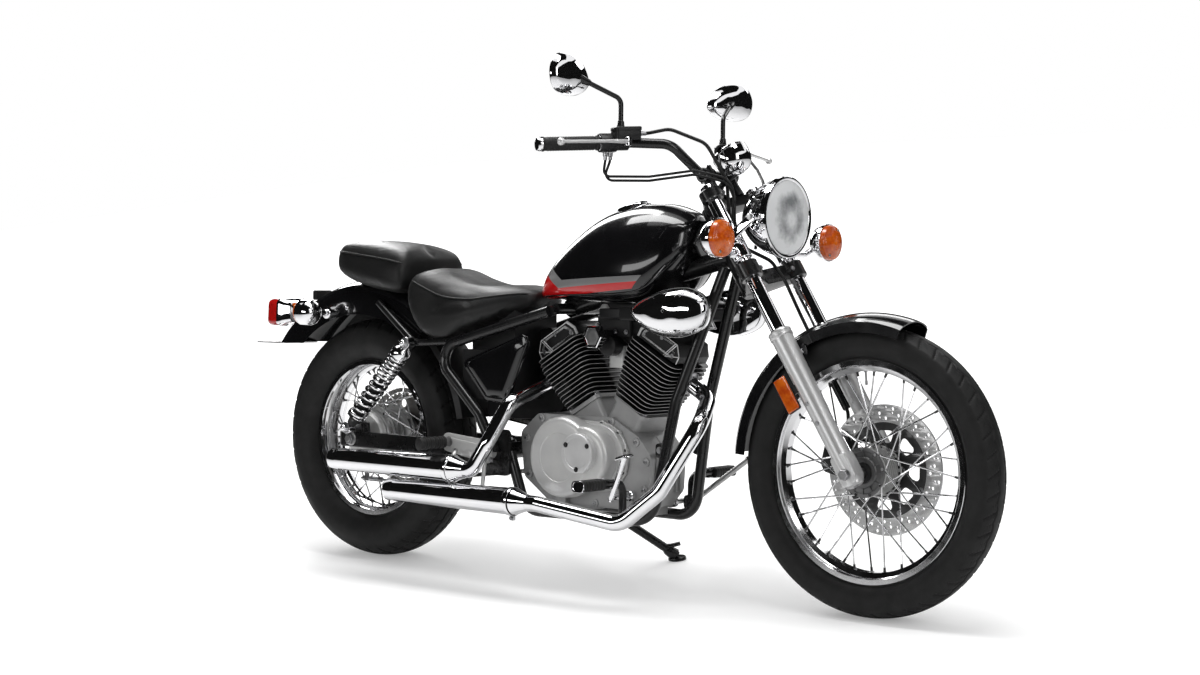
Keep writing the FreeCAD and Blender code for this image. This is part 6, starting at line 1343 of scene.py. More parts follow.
def rearSignalPiece():
    shape = newShape()
    radius = rearSignal["radius"]
    rim = [(-24.8, 0.1), (-24.8, radius * 0.94), (-24, radius)]
    band = [(-20, radius), (-22, radius), (-24.8, radius - 0.4), (-24.8, radius - 2.4)]
    lens = [(reach, radius * share) for reach, share in ((-24.6, 0.93), (-30, 0.92), (-34.5, 0.84),
        (-38, 0.68), (-39.5, 0.4))] + [(-39.8, 0.1)]
    for side in (1, -1):
        centre = Vector((rearSignal["x"], side * rearSignal["y"], rearSignal["z"]))
        root = Vector((rearSignal["x"], side * rearSignal["root"], rearSignal["z"]))
        addLathe(shape, rim + signalProfile(radius, rearSignal["cup"], 0.1), centre, ahead, 64, 0)
        addLathe(shape, band, centre, ahead, 64, 0)
        addLathe(shape, lens, centre, ahead, 64, 1)
        for ring in range(rearSignal["rings"]):
            reach = radius * (0.24 + 0.16 * ring)
            depth = -39.9 + ring * 0.9
            groove = [(depth, reach - 0.8), (depth, reach + 0.8), (depth + 2.4, reach + 1.4), (depth + 2.4,
                reach - 1.4)]
            addLathe(shape, groove, centre, ahead, 48, 1, looped=True)
        addRod(shape, root, centre, 8, 24, 0)
        addLathe(shape, [(0, 0.1), (0, 16), (2.6, 16), (5.6, 12), (6, 8), (6, 0.1)], root, across * side,
            40, 0)
    finishPiece("rear_signals", shape, "chassis", ["chrome", "amberLens"], ["rear_signals"], sharp=35)


plate = {"reach": 410, "x": -233, "half": 28, "low": 15.6, "high": 41.6, "deep": 118, "wide": 62,
    "top": 544.7, "tail": 545, "overlap": 20, "holeShare": 0.62, "holeY": 50, "hole": 3.5, "slotY": 30,
    "slot": 30}


def reflectorPiece():
    # box with its lens on the mudguard, and the bare plate bracket below.
    shape = newShape()
    axle = rearAxle.z
    crown = axle + sqrt(plate["reach"] ** 2 - 234 ** 2)
    low, high, half = crown + plate["low"], crown + plate["high"], plate["half"]
    for inset, corner, thick, shift, mat, bevel in ((0, 5, 14, 0, 0, 1.2), (4, 3, 2, -8, 1, 0.4)):
        wide = half - inset
        outline = [(-wide, low + inset), (wide, low + inset), (wide, high - inset), (-wide, high - inset)]
        addPlate(shape, [roundOutline(outline, corner)], thick, Vector((plate["x"] + shift, 0, 0)), across,
            upward, mat, bevel=bevel)
    addBox(shape, (-237, -9, crown - 6), (-231, 9, low + 8), 0)
    addBolt(shape, Vector((-234, 0, crown + 1)), upward, 4.5, 3, 2)
    frontX = -sqrt(plate["reach"] ** 2 - (plate["tail"] - axle) ** 2) + plate["overlap"]
    rearX, wide = frontX - plate["deep"], plate["wide"]
    outline = [roundOutline([(rearX, -wide), (frontX, -wide), (frontX, wide), (rearX, wide)], 12)]
    hole = frontX - plate["deep"] * plate["holeShare"]
    near, far = hole - plate["slot"], hole + plate["slot"]
    for side in (1, -1):
        outline.append(ringOutline(hole, side * plate["holeY"], plate["hole"], 20))
        y = side * plate["slotY"]
        outline.append(roundOutline([(near, y - 4), (far, y - 4), (far, y + 4), (near, y + 4)], 3.8))
    addPlate(shape, outline, 3, Vector((0, 0, plate["top"] - 1.5)), ahead, across, 3, bevel=0.3)
    finishPiece("plate_bracket", shape, "chassis", ["blackPlastic", "redLens", "boltSteel", "satinSteel"],
        ["plate_bracket"], bevel=0.3)


tailLampPiece()
rearSignalPiece()
reflectorPiece()
print("tail")


# Cylinders

cylinders = {"base": 140, "fins": 14, "finThickness": 2.4, "lowHalf": 50, "highHalf": 74, "halfWidth": 74,
    "corner": 22, "barrelLength": 40, "barrelWidth": 46, "top": 288, "cover": 46, "coverLength": 62,
    "coverWidth": 56, "port": 252, "tilt": 30, "stub": 40, "studs": (30, 38), "seam": 8.9,
    "face": ((-64, 291), (-64, 309), (-46, 331), (48, 331), (62, 309), (62, 291)),
    "ribs": (((-64, 309), (-28, 291)), ((-46, 331), (-28, 291)), ((-41, 331), (-23, 291)),
    ((47, 330), (61.5, 308)), ((61.5, 308), (61.5, 292)))}


def cylinderFrame(tilt):
    turn = Matrix.Rotation(radians(tilt), 3, "Y")
    return turn, Vector(crank)


def portPoint(tilt, reach):
    turn, centre = cylinderFrame(tilt)
    out = 1 if tilt > 0 else -1
    return centre + turn @ Vector((out * reach, 0, cylinders["port"]))


def roundedRectangle(halfLength, halfWidth, radius, stepAngle=15):
    return roundOutline([(-halfLength, -halfWidth), (halfLength, -halfWidth), (halfLength, halfWidth),
        (-halfLength, halfWidth)], radius, stepAngle)


def layerRing(outline, height, turn, centre, size=1):
    return [centre + turn @ Vector((u * size, v * size, height)) for u, v in outline]


def cylinderPiece(name, tilt):
    spec = cylinders
    shape = newShape()
    turn, centre = cylinderFrame(tilt)
    out = 1 if tilt > 0 else -1
    core = roundedRectangle(spec["barrelLength"], spec["barrelWidth"], 20)
    addRings(shape, [layerRing(core, height, turn, centre) for height in (spec["base"], spec["top"])], 0)
    pitch = (spec["top"] - spec["base"]) / spec["fins"]
    for index in range(spec["fins"]):
        share = min(1, 1.35 * index / (spec["fins"] - 1))
        half = spec["lowHalf"] + (spec["highHalf"] - spec["lowHalf"]) * share
        low = spec["base"] + pitch * (index + 0.5)
        outline = roundedRectangle(half, spec["halfWidth"], spec["corner"], 10)
        thick = spec["finThickness"]
        inset = (half - 3.2) / half
        layers = [(low + 0.15, 0.9), (low, inset), (low + 0.5, 0.996), (low + 0.6, 1), (low + thick - 0.6,
            1), (low + thick - 0.5, 0.996), (low + thick, inset), (low + thick - 0.15, 0.9)]
        start, count = len(shape["faces"]), len(outline)
        addRings(shape, [layerRing(outline, height, turn, centre, size) for height, size in layers], 0)
        shape["mats"][start + 2 * count:start + 5 * count] = [1] * (3 * count)
    # Joint between barrel and head, and the studs that run down beside the bore.
    gasket = roundedRectangle(58, 62, 18)
    level = spec["base"] + pitch * spec["seam"]
    addRings(shape, [layerRing(gasket, height, turn, centre) for height in (level, level + 3.4)], 0)
    studU, studV = spec["studs"]
    for u in (-studU, studU):
        for v in (-studV, studV):
            addBolt(shape, centre + turn @ Vector((u, v, spec["top"] + 1)), turn @ upward, 7, 9, 2)
    # Head cover: a ribbed lid with a polished line along each edge.
    length, width, top = spec["coverLength"], spec["coverWidth"], spec["top"] + spec["cover"]
    shoulder = spec["top"] + spec["cover"] * 0.45
    profile = roundOutline([(-length * 1.08, spec["top"] + 1), (length * 1.05, spec["top"] + 1),
        (length * 1.05, shoulder), (length * 0.8, top), (-length * 0.75, top), (-length * 1.08, shoulder)],
        5)
    layers = [(-width, 0.93), (-width + 2.6, 0.995), (-width + 4, 1), (width - 4, 1), (width - 2.6, 0.995),
        (width, 0.93)]
    middle = (spec["top"] + top) / 2
    rings = [[centre + turn @ Vector((u * size, y, middle + (h - middle) * size)) for u, h in profile]
        for y, size in layers]
    addRings(shape, rings, 3)
    for side in (1, -1):
        plate = roundOutline([(-length * 0.9, spec["top"] + 8), (length * 0.86, spec["top"] + 8),
            (length * 0.8, shoulder + 2), (length * 0.6, top - 7), (-length * 0.56, top - 7),
            (-length * 0.84, shoulder + 2)], 4)
        inner = [(u * 0.86, middle + (h - middle) * 0.72) for u, h in plate]
        rings = ((plate, width - 1.4), (plate, width), (inner, width), (inner, width - 2.2))
        addRings(shape, [[centre + turn @ Vector((u, side * y, h)) for u, h in ring] for ring, y in rings],
            4)
        for u, h in ((-length * 0.78, spec["top"] + 15), (length * 0.74, spec["top"] + 15), (0, top - 12)):
            addBolt(shape, centre + turn @ Vector((u, side * (width - 0.6), h)), turn @ (across * side),
                4.4, 2.6, 2, 16)
    for index in range(7):
        u = -length * 0.62 + index * length * 0.2
        addBox(shape, (u - 1.4, -width + 9, top - 5), (u + 1.4, width - 9, top - 0.2), 3, turn, centre)
    # Polished edges and ribs on both faces of the cover.
    lines = list(zip(spec["face"], spec["face"][1:])) + list(spec["ribs"])
    for side in (1, -1):
        for start, end in lines:
            size = 3 if min(start[0], end[0]) > 46 else 1.3
            ends = [centre + turn @ Vector((-out * u, side * (width - 0.6), h)) for u, h in (start, end)]
            addRod(shape, *ends, size, 10, 4)
    # Port stubs with their flange and two nuts.
    stub = spec["highHalf"] - spec["stub"]
    reach = stub + 3
    outlet = [(0, 0.1), (0, 22), (reach - 1, 22), (reach, 21), (reach, 17), (reach - 12, 16.4), (reach - 12,
        0.1)]
    addLathe(shape, outlet, portPoint(tilt, spec["stub"]), turn @ Vector((out, 0, 0)), 48, 0)
    inlet = [(0, 0.1), (0, 22), (stub, 22), (stub, 0.1)]
    addLathe(shape, inlet, portPoint(tilt, -spec["stub"]), turn @ Vector((-out, 0, 0)), 48, 0)
    finishPiece(name, shape, "chassis", ["finBlack", "finEdge", "boltSteel", "finBlack", "coverEdge"],
        [name], sharp=30)


metalFinish("finEdge", (0.4, 0.4, 0.4), (0.32, 0.32, 0.32), (0.3, 0.42), grain=0.05, metal=0.3)
metalFinish("coverEdge", (0.72, 0.72, 0.72), (0.62, 0.62, 0.62), (0.25, 0.38), grain=0.05, metal=0.4)
cylinderPiece("front_cylinder", cylinders["tilt"])
cylinderPiece("rear_cylinder", -cylinders["tilt"])
print("cylinders")

# Engine covers

covers = {"side": 66, "thickness": 62, "radius": 96, "rear": 114, "disc": 46, "discPlace": (786, 316),
    "discRise": 16, "drop": 3, "screws": 10, "plug": (672, 352), "window": (668, 262), "leftScrews": 8,
    "sprocketRadius": 53.5, "sprocketY": 90.6}


def rightCoverPiece(shape):
    side, step = covers["side"], covers["thickness"] / 3
    radius = covers["radius"]
    rear = crank.x - covers["rear"]
    domeX = rear + radius * 0.3
    back, fore = radius * 0.94, radius * 0.8
    outline = roundOutline([(rear - back, crank.z - back), (crank.x + fore, crank.z - fore),
        (crank.x + fore, crank.z + fore), (rear - back, crank.z + back)], fore, 6)
    middle = Vector((sum(u for u, v in outline) / len(outline), 0, sum(v for u, v in outline)
        / len(outline)))

    layers = ((-0.4, 0.985), (-1.4, 1), (-6.5, 1), (-7.2, 0.99), (-7.2, 0.984), (-8, 0.98), (2.5 - step,
        0.972), (-step, 0.955), (-step, 0.4))
    addRings(shape, [grownOutline(middle, outline, size, depth - side) for depth, size in layers], 0)
    # Two domes run into one another; the lathe profile is (height out of the case, radius).
    dome = [(step - 0.6, radius - 1), (step + 2, radius - 0.2), (36, radius - 0.9), (48, radius - 1.8),
        (54, radius - 3.4), (58.5, radius - 6.5), (61, radius - 11), (62, radius - 17), (62, radius * 0.60),
        (60.6, radius * 0.585), (60.6, 0.1)]
    addLathe(shape, dome, Vector((domeX, -side, crank.z - covers["drop"])), -across, 120, 0)
    small = radius * 0.78
    discX, discZ = covers["discPlace"]
    front = [(step - 4, small - 0.6), (step + 6, small - 0.6), (42, small - 1.4), (52, small - 3),
        (57, small - 6), (60, small - 11), (60.8, small - 16), (60.8, 0.1)]
    addLathe(shape, front, Vector((discX, -side, crank.z)), -across, 120, 0)
    origin = Vector((discX, -side, discZ))
    disc = covers["disc"]
    rise = covers["thickness"] + covers["discRise"]
    addLathe(shape, [(step, disc - 0.4), (rise - 6.5, disc), (rise - 6, disc - 1.2), (rise - 5, disc - 1.2),
        (rise - 4.6, disc), (rise - 1.6, disc), (rise - 0.3, disc - 1.2), (rise, disc - 3.2),
        (rise, disc - 9.5), (rise - 1.1, disc - 10.5), (rise - 1.1, 0.1)], origin, -across, 96, 1)
    for spot in around(3, 37, 0.25, 0.4 - rise):
        addBolt(shape, origin + spot, -across, 4.8, 3.6, 2)
    # Screws round the edge of the cover, in bosses.
    for index in range(covers["screws"]):
        u, v = outline[int(len(outline) * (index + 0.35) / covers["screws"])]
        spot = Vector((middle.x + (u - middle.x) * 0.955, -side - 6.4, middle.z + (v - middle.z) * 0.955))
        addLathe(shape, [(-5, 0.1), (-5, 8.2), (1.4, 7.8), (2.2, 7), (2.2, 0.1)], spot, -across, 28, 0)
        addBolt(shape, spot - across * 2, -across, 4.6, 4.2, 2, 16)
    # Oil filler plug and the level window.
    plug, window = (Vector((x, -side - step, z)) for x, z in (covers["plug"], covers["window"]))
    addLathe(shape, [(-2, 0.1), (-2, 15), (5, 14.4), (6.6, 13), (6.6, 0.1)], plug, -across, 36, 1)
    addBox(shape, (plug.x - 11, plug.y - 10.4, plug.z - 2.4), (plug.x + 11, plug.y - 6.2, plug.z + 2.4), 1)
    addLathe(shape, [(-2, 0.1), (-2, 11), (3, 10.6), (3, 8.4), (1.6, 8.2), (1.6, 0.1)], window, -across, 32,
        1)


def leftCoverPiece(shape):
    side = covers["side"]
    origin = Vector(crank) + across * side
    addLathe(shape, [(0, 0.1), (0, 88), (6.5, 88), (7.4, 87), (7.4, 85.6), (8.4, 85), (20, 84),
        (24.6, 82.4), (34, 80), (42, 76.4), (47, 72.6), (49.6, 68), (50, 64), (50, 46), (48.6, 44.6),
        (48.6, 0.1)], origin, across, 128, 0)
    for shift in around(covers["leftScrews"], 81, 0.5, 6):
        spot = origin + shift
        addLathe(shape, [(-4, 0.1), (-4, 8), (1.6, 7.6), (2.2, 0.1)], spot, across, 24, 0)
        addBolt(shape, spot + across * 1.8, across, 4.6, 4.2, 2, 16)
    for reach, z in ((14, 0), (8, 34)):
        spot = origin + Vector((0, 48.4, z))
        addLathe(shape, [(0, 0.1), (0, reach), (1.4, reach - 0.6), (1.6, reach - 2), (1.6, 0.1)], spot,
            across, 40, 1)
    addBox(shape, (crank.x - 9, side + 49.6, crank.z - 1.6), (crank.x + 9, side + 50, crank.z + 1.6), 2)
    # Sprocket cover, cut away where the chain leaves and beside the frame tube.
    outer, radius = covers["sprocketY"], covers["sprocketRadius"]
    edge = [wheelPoint(frontSprocket, radius, -104 + 208 * index / 40, 0) for index in range(41)]
    addPlate(shape, [[(spot.x, spot.z) for spot in edge]], 4.6, Vector((0, outer - 2.3, 0)), ahead, upward,
        0, bevel=1.2, bevelSteps=2)
    wall = ((54, side + 0.3), (54, outer - 3.5), (50, outer - 3.5), (50, side + 0.3))
    addRings(shape, [[wheelPoint(frontSprocket, reach, -82 + 164 * index / 30, y) for index in range(31)]
        for reach, y in wall], 0, closed=False, looped=True, caps=False)
    for angle in (-60, 0, 60):
        addBolt(shape, wheelPoint(frontSprocket, 46, angle, outer - 0.6), across, 4.4, 3.6, 2, 16)


def coversPiece():
    shape = newShape()
    rightCoverPiece(shape)
    leftCoverPiece(shape)
    finishPiece("engine_covers", shape, "chassis", ["castAlloy", "polishedCast", "darkBolt"],
        ["engine_covers"], sharp=30)


metalFinish("polishedCast", (0.66, 0.66, 0.66), (0.6, 0.6, 0.6), (0.3, 0.4), grain=0.04, metal=0.55)
metalFinish("caseGrey", (0.36, 0.36, 0.36), (0.3, 0.3, 0.3), (0.4, 0.52), grainScale=900, grain=0.3,
    metal=0.5)
coversPiece()


def caseTrimPiece():
    # ribs, drain plugs, base nuts and joint lines on the crankcase.
    shape = newShape()
    for side in (1, -1):
        for x, z, radius in ((566, 338, 8), (612, 386, 8), (700, 386, 7), (826, 388, 8), (900, 344, 8),
                (930, 300, 8), (926, 236, 8), (890, 200, 8), (780, 196, 7), (660, 196, 8), (574, 250, 8)):
            spot = Vector((x, side * 65, z))
            addLathe(shape, [(0, 0.1), (0, radius + 3), (4.2, radius + 2), (5, radius), (5, 0.1)], spot,
                across * side, 28, 0)
            addBolt(shape, spot + across * side * 4.6, across * side, 4.6, 3.8, 1, 16)
    outline = [(546, 351), (600, 397), (828, 397), (907, 356), (943, 314), (937, 228), (901, 187),
        (642, 187), (556, 246)]
    rounded = roundOutline(outline, 22, 15)
    band = ((0.99, -2.2), (1.006, -2), (1.006, 2), (0.99, 2.2))
    addRings(shape, [grownOutline(Vector((745, 0, 292)), rounded, size, y) for size, y in band], 0,
        caps=False)
    for y in (-44, -30, 30, 44):
        addBox(shape, (905, y - 1.6, 226), (944, y + 1.6, 316), 0)
    addBolt(shape, Vector((760, -20, 187)), -upward, 9, 8, 1)
    addLathe(shape, [(0, 0.1), (0, 24), (5, 24), (6.5, 22), (6.5, 0.1)], Vector((938, 0, 262)), ahead, 48,
        0)
    addBolt(shape, Vector((944, 0, 262)), ahead, 8, 6, 1)
    for tilt in (cylinders["tilt"], -cylinders["tilt"]):
        turn, centre = cylinderFrame(tilt)
        flange = roundedRectangle(52, 62, 14)
        addRings(shape, [layerRing(flange, height, turn, centre) for height in (130, 131, 138.2, 139.2)], 0)
        for u in (-44, 44):
            for v in (-52, 52):
                addBolt(shape, centre + turn @ Vector((u, v, 139)), turn @ upward, 6.5, 8, 1)
    finishPiece("crankcase_trim", shape, "chassis", ["caseGrey", "boltSteel"], sharp=32)


caseTrimPiece()
print("engine covers")

# Intake between the cylinders and the two teardrop covers

intake = {"x": 803, "z": 562, "port": 74.1, "hexPlace": (792, 583), "hexRadius": 29}


def intakePiece():
    shape = newShape()
    middle = Vector((intake["x"], 0, intake["z"]))
    addLathe(shape, [(-58, 0.1), (-58, 20), (-56, 24), (-30, 24), (-28, 21), (-12, 21), (-10, 24), (10, 24),
        (12, 21), (28, 21), (30, 24), (56, 24), (58, 20), (58, 0.1)], middle, across, 48, 0)
    addRings(shape, [[Vector((intake["x"] + u, v, z)) for u, v in roundedRectangle(23.5, 23.5, 8)] for z
        in (intake["z"], intake["z"] - 46, intake["z"] - 51.5)], 1)
    addBolt(shape, Vector((intake["x"], 0, intake["z"] - 51)), -upward, 6, 1, 2)
    addRod(shape, middle, (intake["x"], 0, 649), 24, 40, 0)
    for tilt in (cylinders["tilt"], -cylinders["tilt"]):
        turn, centre = cylinderFrame(tilt)
        start = portPoint(tilt, -intake["port"])
        direction = (centre + turn @ Vector((0, 0, cylinders["port"]))) - start
        end = start - direction * ((start.x - intake["x"]) / direction.x)
        addRod(shape, start, end, 17, 32, 0)
        along = (end - start).normalized()
        addLathe(shape, [(0, 0.1), (0, 20.5), (5, 20.5), (6, 18), (6, 0.1)], start, along, 32, 1)
        addLathe(shape, [(10, 17.4), (10, 18.8), (16, 18.8), (16, 17.4)], start, along, 32, 2, looped=True)
    addPlate(shape, [roundOutline([(779, 625), (852, 625), (852, 649), (779, 649)], 5)], 116,
        Vector((0, 0, 0)), ahead, upward, 0, bevel=2)
    addPlate(shape, [roundOutline([(850, 622), (1052, 622), (1052, 652), (850, 652)], 7)], 144,
        Vector((0, 0, 0)), ahead, upward, 0, bevel=3)
    # Mixture chamber with its cap, and the bracket up to the frame.
    for low, high, outline in ((584, 626, roundedRectangle(52, 34, 9)), (626, 630, roundedRectangle(55, 37,
            10))):
        addRings(shape, [[Vector((intake["x"] + u, v, z)) for u, v in outline] for z in (low, high)], 0)
    addLathe(shape, [(-2, 0.1), (-2, 21), (20, 21), (24, 19), (30, 16), (32, 12), (32, 0.1)],
        Vector((770, -12, 628)), upward, 40, 1)
    for u, v in ((-46, -38), (-46, 26), (40, -38), (8, -38)):
        addBolt(shape, Vector((intake["x"] + u, -36.5, 604 + v * 0.25)), -across, 4.6, 4, 2)
    addBox(shape, (845, -7, 628), (852, 7, 672), 0)
    addRings(shape, [[Vector((806 + u, v, z)) for u, v in roundedRectangle(56 * size, 26 * size, 9)] for z,
        size in ((630, 0.96), (632, 1), (660, 1), (662, 0.96))], 0)
    hexX, hexZ = intake["hexPlace"]
    addRod(shape, Vector((hexX, -90, hexZ)), Vector((hexX, 0, hexZ)), 16, 40, 0)
    hexRing = ringOutline(0, 0, intake["hexRadius"], 6)

    def hexLayer(y, size):
        return [Vector((hexX + u * size, -y, hexZ + v * size)) for u, v in hexRing]

    addRings(shape, [hexLayer(78, 0.96), hexLayer(79.5, 1), hexLayer(98.2, 1), hexLayer(100, 0.93),
        hexLayer(100, 0.78), hexLayer(98.2, 0.74)], 3)
    addRings(shape, [hexLayer(98, 0.745), hexLayer(98.6, 0.70), hexLayer(98.6, 0.3)], 4)
    finishPiece("intake", shape, "chassis", ["blackPlastic", "castAlloy", "boltSteel", "chrome",
        "darkCast"], ["intake"], sharp=32)


pods = {"length": 214, "x": 1028, "z": 642, "half": 56, "inner": 92, "outer": 152,
    "outline": ((-0.5, -0.12), (-0.40, 0.42), (-0.08, 0.88), (0.25, 0.98), (0.45, 0.62), (0.5, 0.05),
    (0.42, -0.60), (0.12, -0.98), (-0.25, -0.78)), "layers": ((0, 0.96), (0.3, 1), (0.62, 0.9),
    (0.86, 0.66), (1, 0.3)), "seam": ((0.27, 0.985), (0.27, 1.006), (0.33, 1.006), (0.33, 0.985))}


def grownPod(outline, size, y):
    return [Vector((pods["x"] + pods["length"] * size * p.x, y, pods["z"] + pods["half"] * size * p.y))
        for p in outline]


def podPieces():
    shape = newShape()
    outline = closedCurve([Vector(pair) for pair in pods["outline"]], 9)
    for side in (1, -1):
        rings = []
        for index in range(25):
            at = index / 24
            size = between(pods["layers"], at, 1) * (1 if at else 0.985)
            rings.append(grownPod(outline, size, side * (pods["inner"] + (pods["outer"] - pods["inner"])
                * at)))
        last = rings[-1]
        middle = sum(last, Vector()) / len(last)
        rings += [[middle + (p - middle) * size for p in last] for size in (0.6, 0.2)]
        addRings(shape, rings, 0)
        # Seam ring round the widest part.
        band = [grownPod(outline, grow, side * (pods["inner"] + (pods["outer"] - pods["inner"]) * at))
            for at, grow in pods["seam"]]
        addRings(shape, band, 1, caps=False, looped=True)
        addRod(shape, Vector((1000, side * 72, 642)), Vector((1000, side * 94, 642)), 12, 32, 2)
        addBolt(shape, Vector((1040, side * 151.6, 646)), across * side, 5, 0.4, 1, 20)
    finishPiece("air_cleaner_covers", shape, "chassis", ["chrome", "satinSteel", "blackPlastic"],
        ["air_cleaner_covers"], sharp=60)


intakePiece()
podPieces()
print("intake")

# Exhaust

exhaust = {"radius": 18.5, "bend": 55, "y": 190, "front": 32, "rear": 27, "length": 418, "cone": 42,
    "frontRoute": ((996, 0, 485), (1057, 0, 449), (1108, -98.8, 398), (1028.7, -144.4, 243.97),
    (943.3, -174.8, 168), (707.2, -190, 198), (661, -190, 198)), "rearRoute": ((610, 0, 485), (580, 0, 467),
    (570, -136.8, 422), (538, -176.7, 328), (501.5, -190, 262), (462, -190, 262)), "upper": (441, 262),
    "lower": (640, 198)}


def headerShape(shape, route):
    path = smoothPath(route, exhaust["bend"], 5)
    addTube(shape, path, exhaust["radius"], 48, 0)
    into = (path[1] - path[0]).normalized()
    addLathe(shape, [(0, 17), (0, 27), (1, 28), (7, 28), (8.4, 26), (8.4, 18.4)], path[0] + into * 1, into,
        48, 2, looped=True)
    for side in (1, -1):
        spot = path[0] + into * 9 + across * side * 23.4
        addBolt(shape, spot - into * 0.6, into, 5, 8, 2)
    return path


def mufflerShape(shape, frontX, z):
    front = Vector((frontX, -exhaust["y"], z))
    frontRadius, rearRadius = exhaust["front"], exhaust["rear"]
    length, cone = exhaust["length"], exhaust["cone"]

    def body(distance):
        return frontRadius + (rearRadius - frontRadius) * distance / length

    profile = [(-cone, 18.7), (-cone + 1.5, 19.5), (-cone * 0.7, 22.2), (-cone * 0.35, 27.2), (-cone * 0.12,
        30.8), (0, body(0)), (4, body(4)), (60, body(60)), (180, body(180)), (300, body(300)), (length - 30,
        body(length - 30)), (length - 27, body(length - 27) - 0.7), (length - 25, body(length - 25)),
        (length - 2, body(length - 2)), (length - 0.4, rearRadius - 0.9), (length, rearRadius - 1.6),
        (length - 0.6, rearRadius - 2), (length - 4, rearRadius - 2), (length - 60, rearRadius - 2),
        (length - 120, rearRadius - 2), (length - 120, 0.1)]
    addLathe(shape, [(reach, radius) for reach, radius in profile], front, -ahead, 96, 0)
    # The pipe seen inside the mouth.
    addLathe(shape, [(length - 118, 14), (length - 62, 14), (length - 61, 13), (length - 118, 13)], front,
        -ahead, 40, 1, looped=True)
    addLathe(shape, [(length - 70, 14), (length - 70, rearRadius - 2.1), (length - 71, rearRadius - 2.1),
        (length - 71, 14)], front, -ahead, 48, 1, looped=True)
    # Clamp band with its bolt lugs.
    addLathe(shape, [(0, body(0)), (0.3, 33.6), (1.2, 34), (12.8, 34), (13.7, 33.6), (14, body(14))], front,
        -ahead, 96, 0)
    addBox(shape, (frontX - 12.5, -exhaust["y"] - 4, z - 44), (frontX - 1.5, -exhaust["y"] + 4, z - 32), 2)
    addBolt(shape, Vector((frontX - 7, -exhaust["y"] - 4, z - 38)), -across, 4.4, 5, 2)


def exhaustPieces():
    for name, route, muffler in (("front_exhaust", exhaust["frontRoute"], exhaust["lower"]),
            ("rear_exhaust", exhaust["rearRoute"], exhaust["upper"])):
        shape = newShape()
        points = [Vector(point) for point in route]
        tilt = cylinders["tilt"] * (1 if name.startswith("front") else -1)
        points[0] = portPoint(tilt, 77.1)
        points[1] = portPoint(tilt, 148 if tilt > 0 else 112.5)
        headerShape(shape, points)
        mufflerShape(shape, *muffler)
        finishPiece(name, shape, "chassis", ["chrome", "darkCast", "boltSteel"], [name], sharp=40)


exhaustPieces()
print("exhaust")


# Fork

fork = {"ahead": steering["offset"], "spread": 85}


def steerLathe(shape, profile, forward, y, count=48, mat=0, looped=False):
    # profile holds (distance along the steering axis, radius)
    addLathe(shape, profile, steerPoint(forward, y, 0), steerUp, count, mat, looped)


def slidersPiece():
    shape = newShape()
    axle = Vector(frontAxle)
    for side in (1, -1):
        y = side * fork["spread"]
        steerLathe(shape, [(299, 0.1), (299, 15), (301, 18.6), (304, 19.8), (330, 20.2), (600, 23.3),
            (640, 23.9), (657, 24.1), (657.6, 25.2), (659, 26), (664, 26), (665, 25.2), (667, 25.2),
            (668, 26), (672, 26), (673.6, 25), (674, 23.5), (674, 17.4), (668, 17.2)], fork["ahead"], y, 64)
        steerLathe(shape, [(668, 17.3), (668, 22.4), (673.8, 22.4), (675.6, 21.4), (677.6, 18.4),
            (677.8, 16.6)], fork["ahead"], y, 48, 1)
        centre = axle + across * y
        corners = [(-21, -24), (13, -24), (21, -10), (21.5, 20), (20, 46), (-19.5, 46), (-21, 18)]
        addPlate(shape, [roundOutline(corners, 7, 15)], 38, centre, steerAhead, steerUp, 0, bevel=3.5,
            bevelSteps=3)
        addBox(shape, (-21.4, -17, -13.2), (-15, 17, -11.6), 1, Matrix((steerAhead, across,
            steerUp)).transposed(), centre)
        addBolt(shape, centre - steerUp * 19 - steerAhead * 20.5, -steerAhead, 5, 5.5, 2)
        addBolt(shape, steerPoint(fork["ahead"], y, 299.2), -steerUp, 5.5, 2.6, 2)
        # Bosses that hold the mudguard, inboard.
        for along in (452, 500):
            spot = steerPoint(fork["ahead"] - 4, y, along)
            addRod(shape, spot, spot - across * side * 25, 7.5, 24, 0, 6.5)
            addBolt(shape, spot + across * side * 21, across * side, 4.2, 3, 2)
        # Long side reflector in its frame behind the leg, with its bracket.
        middle = Vector((1343, side * (fork["spread"] + 20), 472))
        corners = [(-17, -41), (17, -41), (17, 41), (-17, 41)]
        addPlate(shape, [roundOutline(corners, 4)], 5, middle, steerAhead, steerUp, 1, bevel=1)
        inner = [(u * 0.9, v * 0.95) for u, v in corners]
        addPlate(shape, [roundOutline(inner, 3)], 6, middle + across * side * 2.4, steerAhead, steerUp, 3,
            bevel=1.4, bevelSteps=2)
        addBox(shape, (-6, -3, -9), (34, 3, 9), 1, Matrix((steerAhead, across, steerUp)).transposed(),
            middle - across * side * 4)
    finishPiece("fork_sliders", shape, "fork", ["forkAlloy", "blackPlastic", "boltSteel", "amberLens"],
        ["fork_sliders"], sharp=32)


def tubesPiece():
    shape = newShape()
    for side in (1, -1):
        y = side * fork["spread"]
        steerLathe(shape, [(594, 0.1), (594, 16.5), (1043.6, 16.5), (1045.2, 15.8), (1045.9, 14.4),
            (1046, 9.4), (1045.2, 9), (1045.2, 0.1)], fork["ahead"], y, 64)
    finishPiece("fork_tubes", shape, "fork", ["chrome"], ["fork_tubes"], sharp=40)


